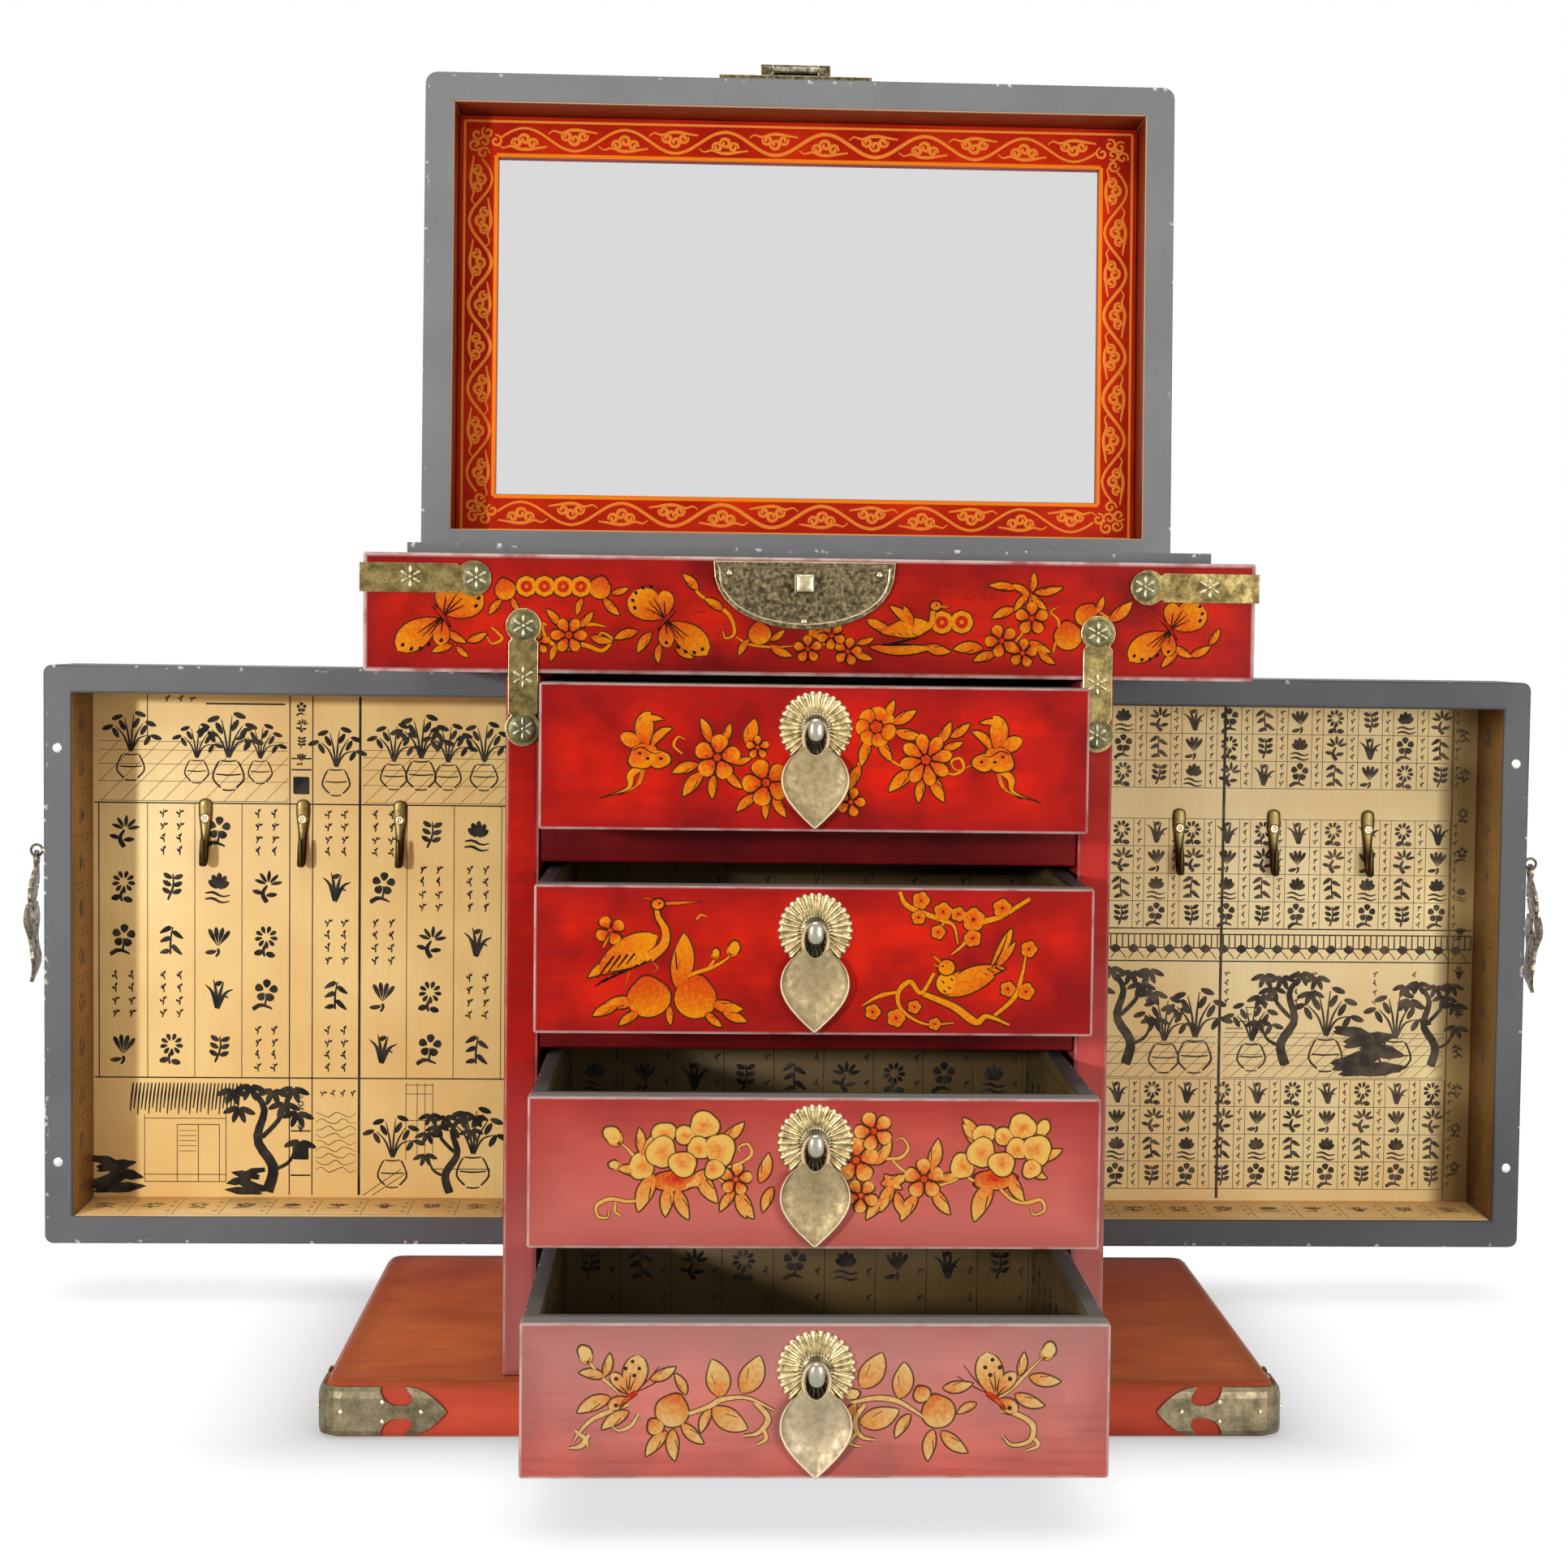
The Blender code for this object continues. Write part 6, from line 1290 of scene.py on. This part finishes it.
caseInside = {"halfWide": 144.7, "halfDeep": 87.2, "floor": 0.2861, "top": 0.3248, "margin": 1.4}
deep, wide = 2 * caseInside["halfDeep"], 2 * caseInside["halfWide"]
tall = (caseInside["top"] - caseInside["floor"]) / mm - caseInside["margin"]
midZ = caseInside["floor"] + tall / 2 * mm
sheets, prints = newSheaf(), newSheaf()
faces = [(flatFrame((0, 0, caseInside["floor"]), (1, 0, 0), (0, 1, 0)), wide, deep),
         (flatFrame((0, caseInside["halfDeep"] * mm, midZ), (1, 0, 0), (0, 0, 1)), wide, tall),
         (flatFrame((0, -caseInside["halfDeep"] * mm, midZ), (-1, 0, 0), (0, 0, 1)), wide, tall),
         (flatFrame((-caseInside["halfWide"] * mm, 0, midZ), (0, 1, 0), (0, 0, 1)), deep, tall),
         (flatFrame((caseInside["halfWide"] * mm, 0, midZ), (0, -1, 0), (0, 0, 1)), deep, tall)]
for index, (flat, across, depth) in enumerate(faces):
    pasteSheet(sheets, flat, across - 0.2, depth - 0.2)
    canvas = inkCanvas(flat)
    canvas["sheaf"] = prints
    (inkFloorSheet if index == 0 else inkWall)(canvas, across - 2, depth - 2, index)
makePiece("caseSheets", sheets, "carcase", shadedLiningPaper)
makePiece("casePrint", prints, "carcase", blackInk)
print("paper linings pasted and printed")


# brass fittings: nails, washers, stamped flowers, and the pulls in full detail

def latheGrid(sheaf, flat, x, z, radii, heights, sides=16, rim=0.0):  # a profile turned about the way the face looks
    angle = around(sides)
    radii, heights = np.array(radii, float)[:, None], np.array(heights, float)[:, None]
    points = onFrame(flat, x + radii * np.cos(angle), z + radii * np.sin(angle), heights + 0 * angle)
    addGrid(sheaf, points, rim, closeCols=True)


def domeNail(sheaf, flat, x, z, radius, rise, base=0.0):  # a round head: height falls as the cosine of its radius
    turn = np.linspace(0.03, 1, 6)
    radii = radius * np.append(np.sin(turn * math.pi / 2), 1.0)
    heights = base + np.append(rise * np.cos(turn * math.pi / 2), -0.15)
    latheGrid(sheaf, flat, x, z, radii, heights, 14)


def stampedFlower(canvas, x, z, size, petals=6):  # narrow raised petals round a bead
    setPlace(canvas, x, z, size, 90)
    for index in range(petals):
        angle = 360 * index / petals
        c, s = unit(angle)
        leaf(canvas, (0.22 * c, 0.22 * s), angle, 0.8, 0.34, 0, 0.6, 0.6, rows=7)
    blob(canvas, (0, 0), (0.16, 0.16), sides=10)


dullBrass = agedBrass("dulledBrass", "#c0b494", "#a89c7c", "#807556", 0.36, 2 * mm)
paleBrass = agedBrass("polishedBrass", "#f3e8cc", "#e2d3ac", "#c2b184", 0.3, 2 * mm)
steel = evenFinish("nickelPlate", "#d8d6d0", Metallic=1.0, Roughness=0.28)

rose = {"radius": 13.0, "flutes": 30, "ridge": 0.95, "scallop": 0.75,
        "postRadius": 1.2, "headWide": 5.7, "headTall": 8.4, "headDeep": 2.8, "headAt": 6.0, "headDrop": -0.5,
        "belowTop": 15.0}
pendant = {"back": 2.5, "thick": 1.6, "bead": 0.45, "ringWide": 5.0, "ringTall": 6.7, "bar": 1.3, "ringRim": 1.5,
           "leafRadius": 11.9, "leafDepth": 20.8, "length": 37.8, "pivotUp": 2.53}


def rosetteGrid(sheaf, flat, x, z):
    # polar: each flute is a rounded ridge, |cos| of half the flute angle, that grows outwards and ends in a scallop
    angle = around(rose["flutes"] * 8)
    ridge = np.abs(np.cos(rose["flutes"] / 2 * angle)) ** 0.8
    radii = np.array([0.1, 2.6, 4.3, 4.9, 5.3, 6.2, 7.6, 9.2, 10.8, 12.0, 12.6, 13.0, 13.0])[:, None]
    level = np.array([1.5, 1.45, 1.3, 0.8, 0.7, 0.8, 0.95, 1.05, 1.15, 1.15, 0.95, 0.5, -0.03])[:, None]
    swell = np.array([0, 0, 0, 0, 0.35, 0.75, 0.9, 0.95, 1, 1, 0.85, 0.45, 0])[:, None]
    reach = radii - rose["scallop"] * (1 - ridge) * np.clip((radii - 10.5) / 2.5, 0, 1)
    height = level + rose["ridge"] * (ridge - 0.15) * swell
    points = onFrame(flat, x + reach * np.cos(angle), z + reach * np.sin(angle), height)
    rim = 13.0 - radii + 0 * angle + 1.2 * (1 - ridge)
    away = np.hypot(reach * np.cos(angle), reach * np.sin(angle) + 5.8)
    addGrid(sheaf, points, rim, np.clip(4.4 - away, 0, 1), closeCols=True)  # tone 1 marks a painted shadow under the ring


def headGrid(sheaf, flat, x, z):  # the post and its flattened egg-shaped head
    latheGrid(sheaf, flat, x, z, [rose["postRadius"]] * 2, [6.0, 1.0], 12, 3.0)
    turn = np.linspace(0.02, math.pi - 0.02, 12)[:, None]
    circle = around(20)
    ring = np.sin(turn) ** 0.8
    px = rose["headWide"] / 2 * ring * np.sign(np.cos(circle)) * np.abs(np.cos(circle)) ** 0.85
    pz = rose["headTall"] / 2 * ring * np.sign(np.sin(circle)) * np.abs(np.sin(circle)) ** 0.85
    height = rose["headAt"] + rose["headDeep"] / 2 * np.cos(turn) + 0 * circle
    addGrid(sheaf, onFrame(flat, x + px, z + rose["headDrop"] + pz, height), 0.0, closeCols=True)


def pendantGrid(sheaf, flat, x, z):
    # spokes from the ring's middle: inner end on the ring's hole, outer end where the spoke leaves ring or leaf
    look = pendant
    middle = look["bar"] / 2 - look["ringTall"]
    angle = np.concatenate([np.linspace(0, 0.60, 22, endpoint=False), np.linspace(0.60, 0.955, 26, endpoint=False),
                            np.linspace(0.955, math.pi, 30)])
    angle = np.concatenate([angle, 2 * math.pi - angle[-2:0:-1]])  # from straight down, all the way round
    side, down = np.sin(angle), np.cos(angle)
    ring = 1 / np.sqrt((side / look["ringWide"]) ** 2 + (down / look["ringTall"]) ** 2)
    holeWide, holeTall = look["ringWide"] - look["ringRim"], look["ringTall"] - look["bar"]
    hole = 1 / np.sqrt((side / holeWide) ** 2 + (down / holeTall) ** 2)
    gap = look["leafDepth"] + middle
    root = look["leafRadius"] ** 2 - (gap * side) ** 2
    circle = np.where((root > 0) & (down > 0), gap * down + np.sqrt(np.maximum(root, 0)), 0)
    point = look["length"] - look["leafDepth"]
    t = np.linspace(0, 40, 4001)[:, None]  # steps out along each spoke, to find where it crosses the ogive
    depth = (t * down - gap) / point
    inside = (depth > 0) & (depth < 1) & (np.abs(t * side) < look["leafRadius"] * np.cos(math.pi / 2 * np.clip(depth,
                                                                                                               0, 1)))
    ogive = np.where(inside.any(0), t[:, 0][inside.shape[0] - 1 - inside[::-1].argmax(0)], 0)
    below = circle * down > gap
    outer = np.maximum(ring, np.where(below, ogive, np.maximum(circle, ogive)))
    room = outer - hole
    into = [0, 0, 0.25, 0.5]
    inner = [np.minimum(value, 0.42 * room) for value in into]
    rimRows = [np.minimum(value, 0.42 * room) for value in (1.5, 1.0, 0.45, 0.0, 0.0)]
    rows = [hole + value for value in inner] + [hole + 0.5 * room] + [outer - value for value in rimRows]
    front = look["thick"]
    heights = [0, front - 0.3, front, front - 0.1, front - 0.2, front - 0.2, front + look["bead"], front + look["bead"],
               front - 0.5, 0]
    reach = np.stack(rows)
    height = look["back"] + np.array(heights)[:, None] + 0 * reach
    away = np.minimum(outer - reach, 3.0)
    points = onFrame(flat, x + reach * side, z + middle - reach * down, height)
    addGrid(sheaf, points[:, ::-1], away[:, ::-1], closeRows=True, closeCols=True)


# matt brass with its raised rim rubbed pale, by the distance to the rim, and with a painted shadow under the pull's
# ring where asked
def rimmedBrass(name, light, mid, dark, pale, wide, roughness, deep=0.0):
    material = agedBrass(name, light, mid, dark, roughness, 2.5 * mm)
    tree = material.node_tree
    shader = tree.nodes["Principled BSDF"]
    rim = mark(tree, "rim")
    edge = spread(tree, rim, 0.75 * wide, 1.1 * wide, 0.9, 0.0)
    body = shader.inputs["Base Color"].links[0].from_socket
    if deep:  # dark brown in the middle where the rosette's centre is dark, and a painted shadow where the tone mark lies under the ring
        middle = spread(tree, rim, deep, deep + 0.8, 0.0, 0.9)
        tone = mark(tree, "tone")
        ringShadow = calc(tree, "MAXIMUM", middle, tone)
        body = mixColour(tree, ringShadow, body, "#2e2a1e")
    colour = mixColour(tree, edge, body, pale)
    layColour(tree, shader, colour)
    return material


leafBrass = rimmedBrass("rimmedBrass.leaf", "#948362", "#897959", "#7c6d51", "#d6bea2", 1.0, 0.55)
# the lowest pull's leaf is paler: a painted reflection of the white floor
leafBrassFloorSheen = rimmedBrass("rimmedBrass.lowLeaf", "#a4967a", "#98896e", "#8a7c64", "#d6c2a6", 1.0, 0.55)
flutedBrass = rimmedBrass("rimmedBrass.rosette", "#d8c8a0", "#bcab80", "#7c6c48", "#f2e0c4", 0.9, 0.36, 7.9)
# nickel made darker: a painted reflection of the dark surroundings the polished heads mirror
headMetal = evenFinish("darkReflectionNickel", "#a39d8c", Metallic=1.0, Roughness=0.22)
for number in (1, 2, 3, 4):
    low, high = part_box(f"drawer_{number}_front")
    face = flatFrame((0, low.y, high.z - rose["belowTop"] * mm))
    plate, hanging, head = newSheaf(), newSheaf(), newSheaf()
    rosetteGrid(plate, face, 0, 0)
    headGrid(head, face, 0, 0)
    makePiece(f"pullHead{number}", head, f"drawer_{number}", headMetal)
    piece = makePiece(f"pullRosette{number}", plate, f"drawer_{number}", flutedBrass, True)
    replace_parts(piece, f"pull_{number}_plate")
    pendantGrid(hanging, face, 0, pendant["pivotUp"])
    piece = makePiece(f"pullLeaf{number}", hanging, f"pull_{number}", leafBrass if number < 4 else leafBrassFloorSheen,
                      True)
    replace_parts(piece, f"pull_{number}_drop")
print("pulls made")

strap = {"bandFlower": 17.0, "lobeFlower": 40.7, "disc": 5.2, "petal": 4.1, "down": 8.7, "lobeEnd": 6.4}
caseLow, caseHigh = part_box("case_walls")
for word, side in hands:
    strapLow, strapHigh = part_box("case_corner_" + word)
    level = caseHigh.z - strap["down"] * mm
    outerX = strapLow.x if side < 0 else strapHigh.x
    edgeX = caseLow.x if side < 0 else caseHigh.x
    front = flatFrame((edgeX, strapLow.y, level), (1, 0, 0), (0, 0, 1))
    flank = flatFrame((outerX, caseLow.y, level), (0, side, 0), (0, 0, 1))
    stileLow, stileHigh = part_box("stile_strap_" + word)
    stile = flatFrame(((stileLow.x + stileHigh.x) / 2, stileLow.y, 0))
    tops = [stileHigh.z / mm - strap["lobeEnd"], (stileLow.z + stileHigh.z) / 2 / mm,
            stileLow.z / mm + strap["lobeEnd"]]
    flowers, discs = newSheaf(), newSheaf()
    ways = [(front, -side * strap["bandFlower"], 0, 0), (front, -side * strap["lobeFlower"], 0, 1),
            (stile, 0, tops[0], 1), (stile, 0, tops[1], 0), (stile, 0, tops[2], 1)]
    ways += [(flank, side * strap["bandFlower"], 0, 0), (flank, side * strap["lobeFlower"], 0, 1)]
    for flat, x, z, lobed in ways:
        if lobed:
            latheGrid(discs, flat, x, z, [0.05, 3.0, 4.9, strap["disc"]], [0.12, 0.12, 0.1, -0.05], 24)
        canvas = newCanvas(raised(flat, 0.1), 2.0, 0.0)
        canvas["sheaf"] = flowers
        stampedFlower(canvas, x, z, strap["petal"])
    makePiece(word + "StrapFlowers", flowers, "carcase", dullBrass)
    makePiece(word + "StrapLobes", discs, "carcase", lobeBrass)

lockLow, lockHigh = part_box("lock_plate")
lock = {"middle": -3.0, "nails": ((-27.2, -4.4), (27.2, -4.4), (0.0, -21.6)), "top": 1.5, "plate": 1.3, "staple": 9.5,
        "half": 3.3}
plateFace = flatFrame((lock["middle"] * mm, caseLow.y, caseHigh.z - lock["top"] * mm))
nails = newSheaf()
for x, z in lock["nails"]:
    domeNail(nails, plateFace, x, z, 1.3, 0.6, lock["plate"])
capFace = flatFrame((lock["middle"] * mm, lockLow.y, caseHigh.z - lock["staple"] * mm))
u = np.array([-1.02, -1, -0.82, -0.5, 0, 0.5, 0.82, 1, 1.02]) * lock["half"]
x, z = np.meshgrid(u, u, indexing="ij")
lift = np.where((np.abs(x) > lock["half"]) | (np.abs(z) > lock["half"]), -0.5,
                0.5 * (1 - (np.maximum(np.abs(x), np.abs(z)) / lock["half"]) ** 4) + 0.05)
addGrid(nails, onFrame(capFace, x, z, lift))  # pillowed square cap of the staple
makePiece("lockNails", nails, "carcase", dullBrass)

mount = {"nails": (9.0, 24.0, 38.0), "z": 10.0}
for word, side in hands:
    mountLow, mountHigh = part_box("base_corner_" + word)
    nails = newSheaf()
    front = flatFrame((mountLow.x if side < 0 else mountHigh.x, mountLow.y, mount["z"] * mm))
    flank = flatFrame((mountLow.x if side < 0 else mountHigh.x, mountLow.y, mount["z"] * mm), (0, side, 0))
    for reach in mount["nails"]:
        for up in ((-3.6, 3.6) if reach == 24.0 else (0.0,)):
            domeNail(nails, front, -side * reach, up, 1.0, 0.6)
            domeNail(nails, flank, reach if side > 0 else -reach, up, 1.0, 0.6)
    makePiece(word + "MountNails", nails, "carcase", paleBrass)

# path: out, up, half width, half thickness
hook = {"xs": (174.8, 217.8, 260.8), "z": 207.6, "y": 0.1504, "washer": 2.3,
        "path": [(0.8, 0.8, 2.6, 0.6), (0.8, -3, 3.0, 0.7), (0.8, -8, 2.8, 0.7), (1.0, -13.6, 2.1, 0.8),
                 (2.0, -19, 1.9, 0.9),
                 (3.8, -24, 1.9, 0.95), (5.8, -27.2, 1.85, 0.95), (7.6, -28.2, 1.7, 0.9), (9.0, -26.6, 1.5, 0.85),
                 (9.6, -23, 1.3, 0.8), (9.6, -19, 1.1, 0.7), (9.5, -16, 0.9, 0.6)]}
tack = {"x": 316.4, "zs": (240.0, 61.0), "radius": 2.1}
for word, side in hands:
    washers, tacks = newSheaf(), newSheaf()
    strapFace = flatFrame((0, hook["y"], 0))
    for x in hook["xs"]:
        latheGrid(washers, strapFace, side * x, hook["z"],
                  [0.05, 0.5, 0.6, 0.75, 0.95, 1.5, 1.8, hook["washer"], hook["washer"]],
                  [0.5, 0.5, 0.3, 0.3, 0.75, 0.75, 0.6, 0.3, -0.5], 18)
    rimFace = flatFrame((0, tray["rim"], 0))
    for z in tack["zs"]:
        domeNail(tacks, rimFace, side * tack["x"], z, tack["radius"], 0.4)
    makePiece(word + "HookWashers", washers, word + "_door", paleBrass)
    makePiece(word + "RimTacks", tacks, word + "_door", steel)


# hook brass: dark with age, with a painted highlight in olive gold across its top round the screw
def hookBrass():
    material, tree, shader = startFinish("hookBrass", Roughness=0.36, Metallic=0.9)
    place = objectPlace(tree)
    grain = noise(tree, place, 2 * mm, 3.0)
    up = split(tree, place)[2]
    share = spread(tree, up, 0.197, 0.206)
    aged = mixColour(tree, grain, "#1a1206", "#544220")
    wearAndSheen = mixColour(tree, grain, "#4a3c1e", "#8c7846")
    tree.links.new(mixColour(tree, share, aged, wearAndSheen), shader.inputs["Base Color"])
    return material


def castHook(sheaf, x, top):  # ovals along a J-shaped curve, wide at its round top and tapering to the tip
    path = np.array(smoothPath(hook["path"], 400))
    u = 0.5 - 0.5 * np.cos(np.linspace(0, math.pi, 44))
    out, up, wide, thick = path[(u * 399).astype(int)].T
    near = np.clip(np.minimum(u, 1 - u) / 0.05, 0, 1)
    ends = np.sqrt(1 - (1 - near) ** 2)
    slope = np.gradient(path[:, :2], axis=0)[(u * 399).astype(int)]
    slope /= np.linalg.norm(slope, axis=1)[:, None]
    angle = around(16)
    across = (wide * ends)[:, None] * np.cos(angle)
    over = (thick * ends)[:, None] * np.sin(angle)
    points = [x + across, -out[:, None] - over * slope[:, 1:], up[:, None] - over * slope[:, :1]]
    addGrid(sheaf, mm * np.stack(points, axis=-1) + np.array([0, tray["face"], top]), closeCols=True)


# rings of a rounded rectangle from the middle of one face to that of the other
def doorBoard(sheaf, low, high, corner=3.6 * mm):
    angle = np.concatenate([np.linspace(0, math.pi / 2, 6) + quarter * math.pi / 2 for quarter in range(4)])
    midX, midZ, halfX, halfZ = (low.x + high.x) / 2, (low.z + high.z) / 2, (high.x - low.x) / 2, (high.z - low.z) / 2
    signX, signZ = np.repeat([1, -1, -1, 1], 6), np.repeat([1, 1, -1, -1], 6)
    rows = []
    for inset, y in ((None, tray["face"]), (3 * mm, tray["face"]), (0.1 * mm, tray["face"]),
                     (0, tray["face"] + 0.1 * mm),
                     (0, high.y - 0.8 * mm), (0.25 * mm, high.y - 0.25 * mm), (0.8 * mm, high.y), (3 * mm, high.y),
                     (None, high.y)):
        curve = corner - (inset or 0)
        x = midX + signX * (halfX - corner) + curve * np.cos(angle)
        z = midZ + signZ * (halfZ - corner) + curve * np.sin(angle)
        middle = inset is None
        rows.append(np.stack([x * 0 + midX if middle else x, x * 0 + y, z * 0 + midZ if middle else z], axis=-1))
    addGrid(sheaf, np.stack(rows), closeCols=True)


# door boards and their hooks: the hooks are cast ones with a round top and a tapered, curled foot
hookLook = hookBrass()
for word, side in hands:
    low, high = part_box(word + "_door_panel")
    board, hooks = newSheaf(), newSheaf()
    doorBoard(board, low, high)
    for x in hook["xs"]:
        castHook(hooks, side * x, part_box(word + "_door_walls")[1].z - 60 * mm)
    boardRed = redLacquer(f"redLacquer.{word}DoorBoard", low, high, plainRed)
    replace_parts(makePiece(word + "DoorBoard", board, word + "_door", boardRed), word + "_door_panel")
    makePiece(word + "Hooks", hooks, word + "_door", hookLook)

# lid inside: walls behind the rim in dark red-brown, a painted shade over the red lacquer, with a bare edge where the
# board was cut
inside = {"halfWide": 149.7, "low": 335.9, "high": 520.3, "rim": 107.3, "face": 134.3, "edge": 2.0}
walls, edges = newSheaf(), newSheaf()
midZ, tall = (inside["low"] + inside["high"]) / 2, inside["high"] - inside["low"]
deep = inside["face"] - inside["rim"]
back = (0, math.cos(lidLean), -math.sin(lidLean))
fore = (0, -back[1], -back[2])
for shade, start, wide in ((walls, inside["edge"], deep - inside["edge"]), (edges, 0.15, inside["edge"])):
    midY = (inside["rim"] + start + wide / 2) * mm
    down = (0, -upLid[1], -upLid[2])
    for at, right, up, across in (((inside["halfWide"], midZ), upLid, back, tall),
                                  ((-inside["halfWide"], midZ), upLid, fore, tall),
                                  ((0, inside["high"]), (1, 0, 0), fore, 2 * inside["halfWide"]),
                                  ((0, inside["low"]), (1, 0, 0), back, 2 * inside["halfWide"])):
        flat = flatFrame(leaned(at[0] * mm, midY, at[1] * mm), right, up)
        pasteSheet(shade, flat, across - 0.3, wide, 0.1 if shade is walls else 0.14)
shadedLidWall = evenFinish("shadedLidWallRed", "#7c2c14", Roughness=0.4, IOR=1.3)
bareWood = evenFinish("bareWood", "#d0a878", Roughness=0.6, IOR=1.4)
makePiece("lidWallLining", walls, "lid", shadedLidWall)
makePiece("lidBareEdge", edges, "lid", bareWood)
print("brass fittings and lid lining placed")


# floor, light and camera

stageLook = {"size": 12.0, "white": "#f4f4f4", "paper": "#3c3c3c", "glow": 0.97, "near": 0.031, "shadowReach": 0.07,
             "ambient": 0.22}
floorMesh = bpy.data.meshes.new("paperSweep")
reach = stageLook["size"] / 2
floorMesh.from_pydata([(-reach, -reach, 0), (reach, -reach, 0), (reach, reach, 0), (-reach, reach, 0)], [],
                      [(0, 1, 2, 3)])
floor = bpy.data.objects.new("paperSweep", floorMesh)
scene.collection.objects.link(floor)
floor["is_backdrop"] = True
paperFloor, tree, shader = startFinish("paperSweep", Roughness=0.9)
path = addNode(tree, "LightPath").outputs
seen = calc(tree, "ADD", path["Is Camera Ray"], path["Is Glossy Ray"])
shown = calc(tree, "ADD", seen, path["Is Transmission Ray"], use_clamp=True)
paper = addNode(tree, "Mix", {0: shown, 6: hexColour(stageLook["white"]), 7: hexColour(stageLook["paper"])},
                data_type="RGBA")
tree.links.new(paper.outputs[2], shader.inputs["Base Color"])
# painted contact shadow close to the base, from ambient occlusion and from the distance to the plinth's foot
clear = addNode(tree, "AmbientOcclusion", {"Distance": stageLook["near"]}, samples=8).outputs["AO"]
lift = spread(tree, clear, 0.3, 0.95, 0.66, stageLook["glow"])
baseLow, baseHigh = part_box("base_plinth")
away = addNode(tree, "VectorMath", {0: objectPlace(tree), 1: (baseLow + baseHigh) / 2}, operation="SUBTRACT").outputs[0]
size = addNode(tree, "VectorMath", {0: away}, operation="ABSOLUTE").outputs[0]
past = addNode(tree, "VectorMath", {0: size, 1: (baseHigh - baseLow) / 2}, operation="SUBTRACT").outputs[0]
outer = addNode(tree, "VectorMath", {0: past, 1: (0, 0, 0)}, operation="MAXIMUM").outputs[0]
gone = addNode(tree, "VectorMath", {0: outer}, operation="LENGTH").outputs["Value"]  # distance from the plinth's foot
fade = spread(tree, gone, -0.02, stageLook["shadowReach"], 0.66, 1.0, interpolation_type="SMOOTHSTEP")
soft = calc(tree, "MULTIPLY", lift, fade)
glow = calc(tree, "MULTIPLY", shown, soft)
shader.inputs["Emission Color"].default_value = (1, 1, 1, 1)
tree.links.new(glow, shader.inputs["Emission Strength"])  # white to the eye, no more light on the object
floorMesh.materials.append(paperFloor)

world = bpy.data.worlds.new("studio")
scene.world = world
world.use_nodes = True
tree = world.node_tree
tree.nodes.clear()
path = addNode(tree, "LightPath").outputs
seen = calc(tree, "ADD", path["Is Camera Ray"], path["Is Glossy Ray"])
shown = calc(tree, "ADD", seen, path["Is Transmission Ray"], use_clamp=True)
dim = addNode(tree, "Background", {"Color": (1, 1, 1, 1), "Strength": stageLook["ambient"]}).outputs[0]
white = addNode(tree, "Background", {"Color": (1, 1, 1, 1), "Strength": 1.0}).outputs[0]
mixed = addNode(tree, "MixShader", {0: shown, 1: dim, 2: white}).outputs[0]
addNode(tree, "OutputWorld", {0: mixed})

lamps = {"leftLamp": {"at": (-1.35, -2.2, 0.5), "aim": (-0.05, 0.1, 0.22), "size": 0.14, "watts": 38},
         "rightLamp": {"at": (0.78, -1.6, 0.3), "aim": (0.2, 0.1, 0.2), "size": 0.55, "watts": 12},
         "topLamp": {"at": (-0.2, -0.75, 1.75), "aim": (0.0, 0.0, 0.1), "size": 1.0, "watts": 11}}
for name, lamp in lamps.items():
    light = bpy.data.lights.new(name, "AREA")
    light.size, light.energy = lamp["size"], lamp["watts"]
    holder = bpy.data.objects.new(name, light)
    holder.location = lamp["at"]
    holder.rotation_euler = (Vector(lamp["aim"]) - Vector(lamp["at"])).to_track_quat("-Z", "Y").to_euler()
    scene.collection.objects.link(holder)

view = {"at": (-0.0341, -1.2099, 0.2951), "pan": -2.927, "pitch": -3.353, "roll": -0.755, "lens": 69.78,
        "shift": (-0.0558, 0.0152)}
lens = bpy.data.cameras.new("camera")
lens.lens, lens.sensor_width = view["lens"], 36.0
lens.shift_x, lens.shift_y = view["shift"]
lens.clip_start, lens.clip_end = 0.01, 50.0
camera = bpy.data.objects.new("camera", lens)
turn = (Matrix.Rotation(math.radians(view["pan"]), 4, "Z") @ Matrix.Rotation(math.radians(view["pitch"]), 4, "X")
        @ Matrix.Rotation(math.radians(view["roll"]), 4, "Y") @ Matrix.Rotation(math.radians(90), 4, "X"))
camera.matrix_world = Matrix.Translation(view["at"]) @ turn
scene.collection.objects.link(camera)
scene.camera = camera
scene.view_settings.view_transform = "Standard"
print("floor, lamps and camera placed")

low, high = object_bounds()
